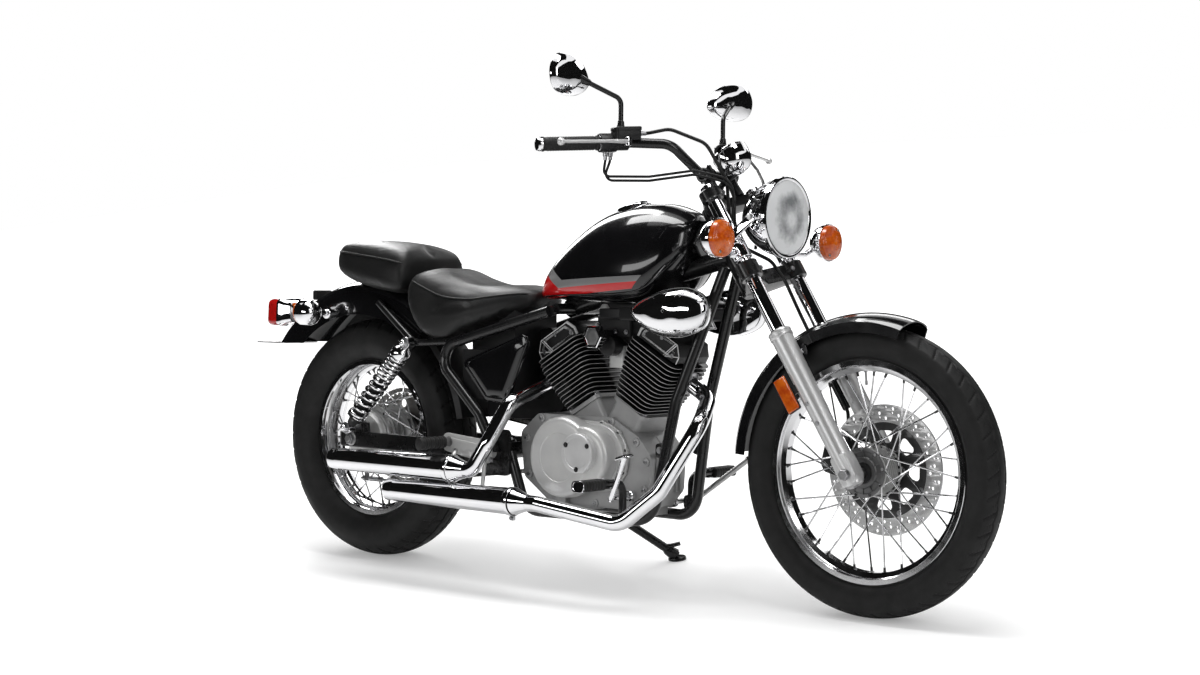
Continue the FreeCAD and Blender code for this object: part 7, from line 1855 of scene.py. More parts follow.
def yokesPiece():
    shape = newShape()
    web = [(-15.6, -15.6), (51.1, -97.8), (76.6, -85), (42.6, 0), (76.6, 85), (51.1, 97.8), (-15.6, 15.6)]
    for low, height in ((808, 37), (1010, 24)):
        outline = roundOutline(web, 9, 15)
        addPlate(shape, [outline], height, steerPoint(0, 0, low + height / 2), steerAhead, across, 0,
            bevel=2.5, bevelSteps=3)
        for side in (1, -1):
            y = side * fork["spread"]
            steerLathe(shape, [(low, 17), (low, 24), (low + 1.6, 25.5), (low + height - 1.6, 25.5),
                (low + height, 24), (low + height, 17)], fork["ahead"], y, 64, looped=True)
            # Pinch bolt at the back of each clamp.
            spot = steerPoint(fork["ahead"] - 18, y - side * 24, low + height / 2)
            addRod(shape, spot - steerAhead * 3, spot + steerAhead * 34, 6.5, 24, 0)
            addBolt(shape, spot + steerAhead * 34, steerAhead, 4.6, 4, 1)
    steerLathe(shape, [(808, 0.1), (808, 24), (810, 26), (848, 26), (849.7, 25.4), (849.7, 0.1)], 0, 0, 64)
    steerLathe(shape, [(849, 13), (1006, 13)], 0, 0, 40)
    steerLathe(shape, [(1005.3, 13), (1005.3, 25.8), (1011, 25.8), (1034, 25.8), (1034.6, 25),
        (1034.6, 13)], 0, 0, 64, looped=True)
    steerLathe(shape, [(1034, 0.1), (1034, 19), (1036.4, 19), (1036.4, 15.5), (1048, 15.5), (1050.6, 13.6),
        (1050.9, 8), (1050.9, 0.1)], 0, 0, 6, 2)
    steerLathe(shape, [(1034, 0.1), (1034, 20.5), (1036, 20.5), (1036, 0.1)], 0, 0, 48, 2)
    finishPiece("fork_yokes", shape, "fork", ["frameBlack", "boltSteel", "chrome"], ["fork_yokes"],
        sharp=32)


def frontAxlePiece():
    shape = newShape()
    axle = Vector(frontAxle)
    addRod(shape, axle - across * 115.4, axle + across * 104.4, 7, 32, 0)
    addLathe(shape, [(103.6, 3), (104.8, 6), (105.6, 5), (105.6, 0.1)], axle, across, 32, 0)
    addLathe(shape, [(105.7, 0.1), (105.7, 12), (107.6, 12), (107.6, 10)], axle, -across, 40, 1)
    addLathe(shape, [(107, 6), (107, 11.6), (114.6, 11.6), (115.6, 10.4), (115.6, 6)], axle, -across, 6, 1,
        looped=True)
    for side in (1, -1):
        addLathe(shape, [(38.4, 7), (38.4, 10), (64.3, 10), (64.3, 7)], axle, across * side, 40, 0,
            looped=True)
    finishPiece("front_axle", shape, "fork", ["satinSteel", "boltSteel"], ["front_axle"], sharp=32)


slidersPiece()
tubesPiece()
yokesPiece()
frontAxlePiece()
print("fork")

# Handlebar, grips and controls

bar = {"radius": 11.1, "bend": 45}
barRoute = ((1074.9, 60, 949.2), (1040, 129, 1014.7), (947.9, 189.7, 1018.2), (857.9, 358, 1007.8))


def barLine(side):
    points = [Vector((x, side * y, z)) for x, y, z in barRoute]
    out = (points[3] - points[2]).normalized()
    return points, out, (out.cross(upward) * side)


def gripInner(side):
    points, out, forward = barLine(side)
    return points[2] + out * ((236 - 189.7) / 168.3 * (points[3] - points[2]).length)


def barPiece():
    shape = newShape()
    left, right = barLine(1)[0], barLine(-1)[0]
    middle = Vector((left[0].x, 0, left[0].z))
    addTube(shape, smoothPath(right[::-1] + left, bar["bend"], 6), bar["radius"], 28, 0)
    for side in (1, -1):
        foot = steerPoint(50, side * 42, 1034.4)
        at = Vector((middle.x, side * 42, middle.z))
        up = (at - foot).normalized()
        addLathe(shape, [(0, 0.1), (0, 13.6), (1.5, 14.2), ((at - foot).length * 0.5, 11.8),
            ((at - foot).length * 0.8, 13.2), ((at - foot).length, 13.2), ((at - foot).length, 0.1)], foot,
            up, 40, 0)
        addLathe(shape, [(-17, 11.2), (-17, 15.8), (-15.8, 17), (15.8, 17), (17, 15.8), (17, 11.2)], at,
            across, 48, 0, looped=True)
        forwardOf = up.cross(across).normalized()
        for turn in (1, -1):
            spot = at + forwardOf * turn * 15.5
            addRod(shape, spot - up * 10, spot + up * 13.5, 5.6, 24, 0)
            addBolt(shape, spot + up * 13.5, up, 4, 3.4, 1, 16)
    finishPiece("handlebar", shape, "fork", ["frameBlack", "boltSteel"], ["handlebar"], sharp=40)


def gripsPiece():
    shape = newShape()
    for side in (1, -1):
        points, out, forward = barLine(side)
        inner = gripInner(side)
        length = (points[3] - inner).length
        # Soft sleeve with rings at both ends and fine grooves round the middle, then a bright end weight.
        profile = [(0.3, 12.2), (0.3, 16.2), (3, 16.5), (6, 16.5), (7, 15.2), (9, 14.6)]
        reach = 12
        while reach < length - 16:
            profile += [(reach, 14.9), (reach + 1.4, 15.6), (reach + 3.6, 15.6), (reach + 5, 14.9)]
            reach += 6.2
        profile += [(length - 9, 15), (length - 8, 16.3), (length - 5, 16.5), (length - 4.4, 16),
            (length - 4.4, 12.2)]
        addLathe(shape, profile, inner, out, 44, 0, looped=True)
        addLathe(shape, [(length - 4.6, 0.1), (length - 4.6, 14.6), (length - 3, 15.6), (length + 4, 15.6),
            (length + 7, 14), (length + 8, 11), (length + 8, 0.1)], inner, out, 44, 1)
        addLathe(shape, [(0.2, 12.2), (0.2, 16.4), (1.8, 16.5), (1.8, 12.2)], inner, out, 44, 1,
            looped=True)
    finishPiece("grips", shape, "fork", ["gripRubber", "chrome"], ["grips"], sharp=30)


def controlsPiece():
    shape = newShape()
    for side in (1, -1):
        points, out, forward = barLine(side)
        grip = gripInner(side)
        end = points[3]
        outer = grip - out * 0.3
        up = upward
        # Two-part switch case: rounded block round the bar, with its joint line and buttons.
        case = [(0, 19.4), (1, 20.6), (2.4, 21), (18.6, 21), (19.2, 20.4), (20.8, 20.4), (21.4, 21),
            (37.6, 21), (39, 20.6), (40, 19.4)]
        addLathe(shape, [(reach, radius) for reach, radius in case] + [(40, 11.4), (0, 11.4)], outer, -out,
            48, 0, looped=True)
        addLathe(shape, [(-0.1, 11.4), (-0.1, 17.2), (1, 18.2), (2, 18.2), (2, 11.4)], outer, -out, 48, 1,
            looped=True)
        back = outer - out * 20 - forward * 19.4
        for index, (slide, rise, mat, size) in enumerate(((-9, 4, 2, 5), (7, 5, 3, 5.4), (-2, -9, 3, 4.6))):
            spot = back - out * slide + up * rise
            addLathe(shape, [(0, 0.1), (0, size + 1.4), (1.2, size + 1.4), (1.2, size), (3.6, size),
                (4.4, size - 1), (4.4, 0.1)], spot, -forward, 28, 3 if mat == 3 else (2 if side < 0 else 4))
        for slide in (-13, 13):
            addBolt(shape, outer - out * 20 + out * slide - up * 20.2 + forward * 4, -up, 2.8, 1.6, 5, 16)
        perch = outer - out * (40 + 42 / 3)
        addLathe(shape, [(-14, 11.4), (-14, 16.6), (-12.8, 17.9), (12.8, 17.9), (14, 16.6), (14, 11.4)],
            perch, out, 44, 0, looped=True)
        for rise in (9.5, -9.5):
            addBolt(shape, perch - forward * 16 + up * rise, -forward, 3.8, 3.4, 5, 16)
        root = perch + forward * 37.8
        addTube(shape, [perch + forward * 4, perch + forward * 22, root + forward * 3.5], [10.5, 9, 8.6],
            24, 0)
        addLathe(shape, [(-9.5, 0.1), (-9.5, 6.4), (-8.6, 7.2), (8.6, 7.2), (9.5, 6.4), (9.5, 0.1)], root,
            up, 28, 1)
        bend = root + out * 40 + forward * 21
        tip = end + forward * 88 - out * 16.5
        path = smoothPath([root, bend, tip], 22, 6)
        path = splinePath([path[0]] + path[1:-1:2] + [path[-1]], 6)
        lengths = [0]
        for one, two in zip(path, path[1:]):
            lengths.append(lengths[-1] + (two - one).length)
        radii = [6.4 + (4.7 - 6.4) * min(1, 2.2 * reach / lengths[-1]) for reach in lengths]
        addTube(shape, path, radii, 24, 6, flat=0.78)
        ball = [(8.5 * cos(radians(turn)), max(0.1, 8.5 * sin(radians(turn)))) for turn in range(180, -1,
            -15)]
        addLathe(shape, ball, tip, out, 28, 6)
        if side < 0:
            centre = perch + forward * 16.8 - out * 4.2 + up * 3
            boxOutline = roundOutline([(-31, -21), (31, -21), (31, 21), (-31, 21)], 7)

            def boxLayer(z, size):
                return [centre + out * u * size + out.cross(up) * v * size + up * z for u, v in boxOutline]

            addRings(shape, [boxLayer(0, 0.9), boxLayer(2, 0.96), boxLayer(20, 0.97), boxLayer(20.6, 0.955),
                boxLayer(21.6, 0.955), boxLayer(22.2, 1), boxLayer(28.2, 1), boxLayer(30, 0.95),
                boxLayer(30, 0.86), boxLayer(29, 0.84)], 0)
            for u in (-24, 24):
                addBolt(shape, centre + out * u + up * 29, up, 3.4, 1, 5, 16)
            beside = centre - forward * 20.6 + up * 12
            addLathe(shape, [(0, 0.1), (0, 7.5), (1.2, 7.2), (1.2, 5.6), (0.6, 5.4), (0.6, 0.1)], beside,
                -forward, 28, 1)
            addRod(shape, centre + up * 9, root, 8.4, 24, 0)
    finishPiece("handlebar_controls", shape, "fork", ["blackPlastic", "chrome", "redMark", "darkCast",
        "whiteMark", "boltSteel", "polishedCast"], ["handlebar_controls"], sharp=34)


barPiece()
gripsPiece()
controlsPiece()
print("controls")

# Mirrors

mirror = {"rise": 62, "spread": 108, "lift": 48, "back": 60, "radius": 5.5, "width": 146, "height": 92,
    "depth": 26}


def mirrorsPiece():
    shape = newShape()
    outline = closedCurve([Vector(pair) for pair in ((-0.50, -0.16), (-0.34, 0.26), (0, 0.48), (0.34, 0.44),
        (0.50, 0.06), (0.40, -0.36), (0.06, -0.50), (-0.30, -0.42))], 9)
    for side in (1, -1):
        points, out, forward = barLine(side)
        base = points[2] + out * ((0.53 * 358 - 189.7) / 168.3 * (points[3] - points[2]).length)
        base = base + upward * ((33 if side < 0 else 17.85) + 0.9)
        top = base + upward * mirror["rise"]
        centre = top + Vector((-mirror["back"], side * mirror["spread"], mirror["lift"]))
        turn = Matrix.Rotation(radians(-side * 9), 3, "Z")

        def layer(depthShare, size):
            ring = [Vector((mirror["depth"] * depthShare, side * mirror["width"] * size * p.x,
                mirror["height"] * size * p.y)) for p in outline]
            return [centre + turn @ point for point in ring]

        # Rounded shell: rim band, then a smooth dome to the front.
        shell = [(-0.20, 0.93), (-0.215, 0.955), (-0.19, 0.985), (-0.13, 0.995), (0, 1)]
        shell += [(between([(0, 0), (1, 1)], step / 14, 1), between([(0, 1), (0.45, 0.9), (0.8, 0.62),
            (1, 0.25)], step / 14, 1)) for step in range(1, 15)]
        rings = [layer(*pair) for pair in shell] + [layer(1, 0.12), layer(1, 0.02)]
        addRings(shape, rings, 0, caps=True)
        addRings(shape, [layer(-0.198, 0.94), layer(-0.206, 0.935), layer(-0.206, 0.5)], 1)
        near = top + (centre - top) * 0.9 + turn @ ahead * (mirror["depth"] / 3)
        path = smoothPath([base, top, near], 19.5, 6)
        addTube(shape, path, mirror["radius"], 24, 2)
        addLathe(shape, [(0.1, 0.1), (0.1, 9), (4, 9), (4.4, 8.4)], base, upward, 6, 2)
        addLathe(shape, [(4, 0.1), (4, 8), (12, 7.4), (14, 6.2), (14, 0.1)], base, upward, 32, 2)
        into = (near - path[-2]).normalized()
        addLathe(shape, [(-34, 5.4), (-31, 7.6), (-26, 8.2), (-8, 9.4), (4, 9.8)], near, into, 32, 2)
    finishPiece("mirrors", shape, "fork", ["chrome", "mirrorGlass", "frameBlack"], ["mirrors"], sharp=50)


mirrorsPiece()

# Headlight and front signals

lamp = {"centre": steerPoint(158, 0, 907)}


def addClamp(shape, side, low, high):
    # ring that grips a fork tube.
    ring = [(low, 17.2), (low, 20.6), (low + 1, 21.5), (high - 1, 21.5), (high, 20.6), (high, 17.2)]
    steerLathe(shape, ring, fork["ahead"], side * fork["spread"], 56, 0, looped=True)


def headlightPiece():
    shape = newShape()
    centre = Vector(lamp["centre"])
    bowl = [(-6, 87.2), (-18, 85), (-31, 81.8), (-48, 74.6), (-64.5, 65.1), (-78, 53.6), (-89.4, 40.5),
        (-97, 26), (-102, 12), (-104, 0.1)]
    addLathe(shape, bowl, centre, ahead, 96, 0)
    ring = [(-8, 87), (-8, 89.4), (-6.6, 90.5), (-1.6, 90.5), (-1.2, 89.8), (-0.4, 89.8), (0, 90.5),
        (4.4, 90.5), (6.4, 89), (7, 87), (6.4, 83.6), (4.6, 81.4), (2.4, 80.8), (-2, 80.8)]
    addLathe(shape, ring, centre, ahead, 96, 0, looped=True)
    dish = [(-2, 81), (-8, 80.4), (-20, 77), (-34, 70), (-48, 60), (-60, 46), (-68, 30), (-72, 16),
        (-72, 0.1)]
    addLathe(shape, dish, centre, ahead, 96, 1)
    # Bulb with the shield in front of it.
    addLathe(shape, [(-72, 12), (-66, 12), (-64, 9), (-56, 8.4), (-30, 8), (-22, 6), (-20, 0.1)], centre,
        ahead, 36, 4)
    addLathe(shape, [(-40, 16.4), (-12, 16.4), (-9, 14), (-8, 0.1), (-9, 0.1), (-10, 13.4), (-13, 15.6),
        (-40, 15.6)], centre, ahead, 48, 2)
    for angle in (90, 210, 330):
        turn = radians(angle)
        radial = across * cos(turn) + upward * sin(turn)
        addRod(shape, centre - ahead * 38 + radial * 15.6, centre - ahead * 46 + radial * 60, 1.1, 8, 2)
    lens = [(2.6, 80.7), (5, 80.6), (7.6, 70), (9.6, 60), (11.4, 50), (13.2, 38), (14.6, 27), (15.5, 16),
        (16, 0.1)]
    addLathe(shape, lens + [(reach - 2.4, radius) for reach, radius in lens[:0:-1]], centre, ahead, 96, 3)
    addBolt(shape, centre + Vector((0.5, 0, -90.2)), -upward, 3.2, 2.4, 2, 16)
    for side in (1, -1):
        addClamp(shape, side, 890, 924)
        armY = side * (fork["spread"] + 16.5 + 2.5)
        back = steerPoint(fork["ahead"], armY, 907)
        front = Vector((centre.x - 14, armY, centre.z))
        slope = (front - back).normalized()
        rise = slope.cross(across).normalized()
        if rise.z < 0:
            rise = -rise
        length = (front - back).length
        outline = roundOutline([(-2, -11.3), (length - 16, -10), (length, -7.9), (length, 7.9),
            (length - 16, 10), (-2, 11.3)], 6)
        addPlate(shape, [outline], 5, back, slope, rise, 0, bevel=1.2, bevelSteps=2)
        stud = Vector((front.x - 7, 0, front.z))
        addRod(shape, stud + across * side * 79, stud + across * side * 101.5, 7, 28, 0)
        addBolt(shape, stud + across * side * 106.4, across * side, 6, 6.5, 2)
    finishPiece("headlight", shape, "fork", ["chrome", "reflector", "satinSteel", "headLens", "whiteMark"],
        ["headlight"], sharp=32)


def headLensFinish():
    # fluted glass over a stepped reflector: pale, with rings of painted reflection, light and dark, about
    # the lamp's axis, standing in for the reflector's bands seen through the glass.
    tree, shader, where = newMaterial("headLens", (0.85, 0.86, 0.87), Transmission_Weight=0.4, IOR=1.46,
        Roughness=0.06, Coat_Weight=0.5, Coat_Roughness=0.02)
    reach, moved = axleReach(tree, where, lamp["centre"], ahead)
    wave = calc(tree, "COSINE", calc(tree, "MULTIPLY", reach, 2 * pi / 0.072))
    ripple = useGroup(tree, "wander", {"Vector": where, "Scale": 22, "Low": -0.9, "High": 0.9})["Value"]
    # painted reflection: the reflector's light and dark rings, broken by a ripple, are mixed into the lens
    # colour.
    paintedRingReflection = mapRange(tree, calc(tree, "ADD", wave, ripple), -1.6, 0.7)
    colour = mixShades(tree, paintedRingReflection, (0.3, 0.31, 0.32, 1), (0.95, 0.96, 0.97, 1))
    tree.links.new(colour, shader.inputs["Base Color"])
    beside = vectorCalc(tree, "DOT_PRODUCT", moved, place.to_3x3() @ across, output="Value")
    addBump(tree, shader, calc(tree, "SINE", calc(tree, "MULTIPLY", beside, 1400)), 0.12, 0.0006)


headLensFinish()

signal = {"x": 1232, "y": 208, "z": 803}


def signalsPiece():
    shape = newShape()
    for side in (1, -1):
        centre = Vector((signal["x"], side * signal["y"], signal["z"]))
        cup = [(6.4, 40.8), (6.4, 42.4), (5.4, 43.4), (1.2, 43.4), (0.4, 42.6), (-1, 42.8), (-8, 41.4),
            (-16, 38), (-24, 32.4), (-30, 26), (-33.4, 19), (-34, 10), (-34, 0.1)]
        addLathe(shape, cup, centre, ahead, 72, 0)
        # Ribbed lens: fine concentric steps up to the flat middle.
        lens = [(2, 40.4), (7, 40.4), (12.5, 39.9), (15.4, 38.6)]
        radius = 37
        while radius > 6:
            rise = 16 + 8 * min(1, ((38.6 - radius) / 20) ** 0.8)
            lens += [(rise - 0.55, radius + 0.2), (rise + 0.25, radius - 1.2), (rise + 0.2, radius - 2.4)]
            radius -= 3.2
        lens += [(24, 3), (24, 0.1)]
        addLathe(shape, lens, centre, ahead, 72, 1)
        for turn in (60, 240):
            angle = radians(turn)
            spot = centre + across * 33 * cos(angle) + upward * 33 * sin(angle) + ahead * 18.4
            addBolt(shape, spot, ahead, 3, 1.6, 2, 16)
        tube = steerPoint(fork["ahead"], 0, 907 - 34)
        start = Vector((tube.x, side * 106.5, tube.z))
        path = smoothPath([start - across * side * 4, Vector((tube.x, side * 165, tube.z)), centre - ahead
            * 17], 21, 6)
        addTube(shape, path, 7, 28, 0)
        addLathe(shape, [(0, 9.8), (0, 10.6), (3, 11.4), (7, 11.4), (9, 9.6), (10, 7.1)], start - across
            * side * 1.5, across * side, 36, 0)
        addClamp(shape, side, 856, 889.7)
    finishPiece("front_signals", shape, "fork", ["chrome", "amberLens", "boltSteel"], ["front_signals"],
        sharp=34)


headlightPiece()
signalsPiece()
print("lamps")

# Speedometer

dial = {"x": 1106, "z": 1000, "depth": 58, "tilt": 38}


def speedometerPiece():
    shape = newShape()
    turn = radians(dial["tilt"])
    axis = Vector((-sin(turn), 0, cos(turn)))
    right = -across
    up = axis.cross(right).normalized()
    face = Vector((dial["x"], 0, dial["z"]))
    cup = [(-1.4, 40.6), (-4, 41.4), (-10, 41.8), (-29, 40.3), (-38, 36.2), (-46.4, 29.4), (-52, 20),
        (-56.4, 10), (-58, 0.1)]
    addLathe(shape, cup, face, axis, 80, 0)
    addLathe(shape, [(-6, 41.2), (-5.6, 42), (-1.2, 42), (-0.2, 41.2), (0, 39.8), (-0.4, 38.4),
        (-2.6, 37.8), (-6, 38)], face, axis, 80, 0, looped=True)
    addLathe(shape, [(-4.2, 38.6), (-4.2, 0.1)], face, axis, 80, 1)
    addLathe(shape, [(-2.4, 38.2), (-2, 30), (-1.8, 0.1)], face, axis, 80, 3)
    # Scale marks, without figures, and the needle.
    for index in range(41):
        angle = radians(225 - 270 * index / 40)
        radial = right * cos(angle) + up * sin(angle)
        beside = axis.cross(radial)
        major = index % 5 == 0
        inner, outer, wide = (29 if major else 32), 36, (0.8 if major else 0.4)
        base = face - axis * 4.12
        corners = [base + radial * inner - beside * wide, base + radial * outer - beside * wide,
            base + radial * outer + beside * wide, base + radial * inner + beside * wide]
        addFaces(shape, corners, [(0, 1, 2, 3)], 2)
    angle = radians(222)
    radial = right * cos(angle) + up * sin(angle)
    beside = axis.cross(radial)
    base = face - axis * 3.6
    addFaces(shape, [base - radial * 6 - beside * 1.5, base - radial * 6 + beside * 1.5, base + radial * 32
        + beside * 0.4, base + radial * 32 - beside * 0.4], [(0, 1, 2, 3)], 4)
    addLathe(shape, [(-4.1, 4.6), (-3, 4.4), (-2.7, 3.4), (-2.7, 0.1)], face, axis, 28, 1)
    foot = steerPoint(fork["ahead"] * 0.6, 0, 1034.4)
    bend = steerPoint(fork["ahead"] * 0.6, 0, 1034.4 + dial["depth"] / 2)
    addTube(shape, smoothPath([foot, bend, face - axis * dial["depth"] * 0.85], 14, 8), 7, 24, 5)
    addLathe(shape, [(0, 0.1), (0, 13), (3, 13), (3.6, 12.2), (3.6, 0.1)], foot, steerUp, 32, 5)
    for slide in (-7, 7):
        addBolt(shape, face - axis * 52 + right * slide, -axis, 2.6, 2.4, 6, 16)
    finishPiece("speedometer", shape, "fork", ["chrome", "blackPlastic", "whiteMark", "clearLens",
        "redMark", "frameBlack", "boltSteel"], ["speedometer"], sharp=34)


speedometerPiece()
print("speedometer")

# Fittings at the ends of the control cables


def cableEnds():
    shape = newShape()
    points, out, forward = barLine(-1)
    inner = gripInner(-1)
    for step in (0, 1):
        start = inner - out * 40 * (0.4 + 0.3 * step) - upward * 21.6
        addLathe(shape, [(0, 0.1), (0, 5.6), (9, 5.2), (10, 4.2), (16, 4.2), (17, 3.2), (17, 0.1)], start,
            -upward, 24, 0)
    points, out, forward = barLine(1)
    inner = gripInner(1)
    start = inner + forward * 21 * 2.053 - out * 40 * 1.45
    addLathe(shape, [(-3, 0.1), (-3, 6.2), (3, 6.2), (3, 5), (14, 5), (15, 3.7), (15, 0.1)], start, forward,
        24, 0)
    points, out, forward = barLine(-1)
    inner = gripInner(-1)
    start = inner + forward * 21 * 0.8 - out * 40 * 2.25 + upward * 18
    addLathe(shape, [(0.2, 0.1), (0.2, 6), (4, 6), (4, 5), (15, 5), (16, 4.2), (16, 0.1)], start, -out, 24,
        0)
    finishPiece("cable_ends", shape, "fork", ["boltSteel"], sharp=34)


cableEnds()
print("front end")


# Swingarm and shock absorbers

swing = {"pivot": Vector((500, 0, 302)), "armY": 98, "thickness": 24, "half": 20}


def swingarmPiece():
    shape = newShape()
    axle = Vector(rearAxle)
    for side in (1, -1):
        y = side * swing["armY"]
        pivot, half = swing["pivot"], swing["half"]
        outline = roundOutline([(-40, axle.z - half), (pivot.x, pivot.z - half), (pivot.x, pivot.z + half),
            (-40, axle.z + half)], 5)
        addPlate(shape, [outline], swing["thickness"], (0, y, 0), ahead, upward, 0, bevel=2.6, bevelSteps=3)
        lug = roundOutline([(12, axle.z + 4), (48, axle.z + 4), (44, 353), (16, 353)], 9)
        addPlate(shape, [lug], 23.4, (0, y, 0), ahead, upward, 0, bevel=2, bevelSteps=2)
        addRod(shape, (30, y, 338), (30, side * 158, 338), 7, 24, 1)
        # End cap and chain adjuster with its lock nut.
        addPlate(shape, [roundOutline([(-11, -18), (11, -18), (11, 18), (-11, 18)], 3)], 3.6,
            (-41.6, y, axle.z), across, upward, 1, bevel=0.8)
        addRod(shape, (-42, y, axle.z), (-60, y, axle.z), 3.6, 16, 1)
        addBolt(shape, Vector((-43.4, y, axle.z)), -ahead, 6.2, 6, 1)
        outer = side * 110.05
        for index in range(7):
            x = -22 + index * 6
            addBox(shape, (x - 0.5, outer - 0.25, axle.z + 9), (x + 0.5, outer + 0.25, axle.z
                + (15 if index % 3 == 0 else 13)), 1)
        addLathe(shape, [(84, 19), (86.4, 23), (87, 21)], Vector((372, 0, 304)), across * side, 40, 0)
        addLathe(shape, [(82.6, 20), (86.4, 24), (87, 22)], Vector((500, 0, 302)), across * side, 40, 0)
        addLathe(shape, [(109.6, 8.4), (109.6, 17), (111.4, 17), (112.2, 16), (112.2, 8.4)],
            Vector((500, 0, 302)), across * side, 40, 1, looped=True)
    addRod(shape, (500, -109.8, 302), (500, 109.8, 302), 20, 48, 0)
    addRod(shape, (372, -98, 304), (372, 98, 304), 19, 40, 0)
    finishPiece("swingarm", shape, "chassis", ["frameBlack", "boltSteel"], ["swingarm"], sharp=32)


shocks = {"y": 147, "low": (30, 338), "top": (240, 557), "turns": 13, "coil": 20.6, "wire": 4.1}


def shocksPiece():
    shape = newShape()
    for side in (1, -1):
        low, top = (Vector((x, side * shocks["y"], z)) for x, z in (shocks["low"], shocks["top"]))
        axis = top - low
        length = axis.length
        along = axis.normalized()
        start, end = length * 0.16, length * 0.84
        addLathe(shape, [(8, 0.1), (8, 9), (16, 12), (start - 12, 15), (start - 8, 23), (start - 7, 25),
            (start - 4.4, 25), (start - 4.2, 15), (length * 0.52, 15), (length * 0.52, 12), (length * 0.53,
            6.4), (end + 2, 6.4), (end + 2, 0.1)], low, along, 48, 0)
        addLathe(shape, [(start - 4.2, 15), (start - 4.2, 22.4), (start - 2.4, 23.4), (start - 0.4, 23),
            (start - 0.4, 15)], low, along, 48, 1, looped=True)
        # Preload ring with its slots.
        for index in range(6):
            turn = 2 * pi * index / 6
            first, second = sideAxes(along)
            radial = first * cos(turn) + second * sin(turn)
            addRod(shape, low + along * (start - 9) + radial * 20, low + along * (start - 9) + radial
                * 24.6, 2.4, 10, 4)
        addLathe(shape, [(end + 4.6, 6.2), (end + 4.6, 22), (end + 6, 25), (end + 9, 25.4),
            (end + 20, 24.6), (end + 27, 20), (end + 31, 14), (length - 10, 10), (length - 10, 0.1)], low,
            along, 48, 1)
        addLathe(shape, [(end - 20, 6.4), (end - 20, 11), (end - 14, 12.6), (end - 4, 13), (end + 3, 13),
            (end + 3, 6.4)], low, along, 32, 4, looped=True)
        first, second = sideAxes(along)
        coil = []
        span = end - start + 8
        turns = shocks["turns"]
        steps = int(turns * 20)
        for index in range(steps + 1):
            share = index / steps
            rise = 0.665 * (share / 0.55) if share < 0.55 else 0.665 + 0.335 * (share - 0.55) / 0.45
            turn = 2 * pi * turns * share
            coil.append(low + along * (start - 1 + span * rise) + (first * cos(turn) + second * sin(turn))
                * shocks["coil"])
        addTube(shape, coil, shocks["wire"], 10, 1)
        for origin in (low, top):
            addLathe(shape, [(-11, 9.4), (-11, 14.2), (-10, 15), (10, 15), (11, 14.2), (11, 9.4)], origin,
                across * side, 40, 1, looped=True)
            addLathe(shape, [(-11.4, 7.1), (-11.4, 9.4), (11.4, 9.4), (11.4, 7.1)], origin, across * side,
                32, 2, looped=True)
            addLathe(shape, [(11.2, 7), (11.2, 13.6), (12.8, 13.6), (13.4, 10), (13.4, 7)], origin, across
                * side, 32, 3, looped=True)
            addLathe(shape, [(12.8, 0.1), (12.8, 10.4), (19, 10.4), (19.6, 9.6), (19.6, 0.1)], origin,
                across * side, 6, 1)
            addLathe(shape, [(19.4, 8.6), (22, 8), (24.4, 6), (25.6, 3), (25.9, 0.1)], origin, across
                * side, 28, 1)
    finishPiece("shock_absorbers", shape, "chassis", ["blackPlastic", "chrome", "gripRubber", "boltSteel",
        "darkCast"], ["shock_absorbers"], sharp=36)


swingarmPiece()
shocksPiece()
print("suspension")

# Chain drive

chainDrive = {"y": 78, "rear": 118.8, "front": 41.3, "links": 132}


def toothedOutline(count, root, tip, shift=0):
    outline = []
    for index in range(count):
        for share, radius in ((0, root), (0.16, root + (tip - root) * 0.25), (0.34, tip), (0.5, tip),
                (0.68, root + (tip - root) * 0.25)):
            turn = 2 * pi * (index + share + shift) / count
            outline.append((radius * cos(turn), radius * sin(turn)))
    return outline


def addSprocket(shape, centre, count, root, tip, thickness, holes, mat):
    outlines = [toothedOutline(count, root, tip)]
    for number, reach, radius, shift in holes:
        outlines += [ringOutline(spot.x, spot.z, radius, 24) for spot in around(number, reach, shift)]
    addPlate(shape, outlines, thickness, centre, ahead, upward, mat, bevel=0.5)


def sprocketPiece():
    shape = newShape()
    axle = Vector(rearAxle)
    addSprocket(shape, axle + across * chainDrive["y"], 45, 106.5, 112, 6.6, [(6, 84, 11, 0.5),
        (6, 52, 4, 0), (1, 0, 10, 0)], 0)
    addLathe(shape, [(48.2, 9.2), (48.2, 60), (50, 62), (70, 62), (73, 60), (74.6, 60), (74.6, 9.2)], axle,
        across, 72, 1, looped=True)
    addLathe(shape, [(81.3, 9.2), (81.3, 30), (83.4, 29), (83.4, 9.2)], axle, across, 48, 1, looped=True)
    for spot in around(6, 52, 0, 81.2):
        addBolt(shape, axle + spot, across, 7, 5.4, 2)
    finishPiece("rear_sprocket", shape, "rear_wheel", ["chainSteel", "darkCast", "boltSteel"],
        ["rear_sprocket"], sharp=32)


def chainPoints():
    rear, front = Vector(rearAxle), frontSprocket
    line = front - rear
    slope = atan2(line.z, line.x)
    spread = acos((chainDrive["rear"] - chainDrive["front"]) / line.length)
    route = []
    for centre, radius, low, high in ((front, chainDrive["front"], slope - spread, slope + spread),
            (rear, chainDrive["rear"], slope + spread, slope - spread + 2 * pi)):
        for index in range(61):
            turn = low + (high - low) * index / 60
            route.append(centre + Vector((radius * cos(turn), 0, radius * sin(turn))))
    route.append(route[0].copy())
    lengths = [0]
    for one, two in zip(route, route[1:]):
        lengths.append(lengths[-1] + (two - one).length)
    spots, at = [], 0
    for index in range(chainDrive["links"]):
        want = lengths[-1] * index / chainDrive["links"]
        while lengths[at + 1] < want:
            at += 1
        share = (want - lengths[at]) / (lengths[at + 1] - lengths[at])
        spots.append(route[at].lerp(route[at + 1], share))
    return spots


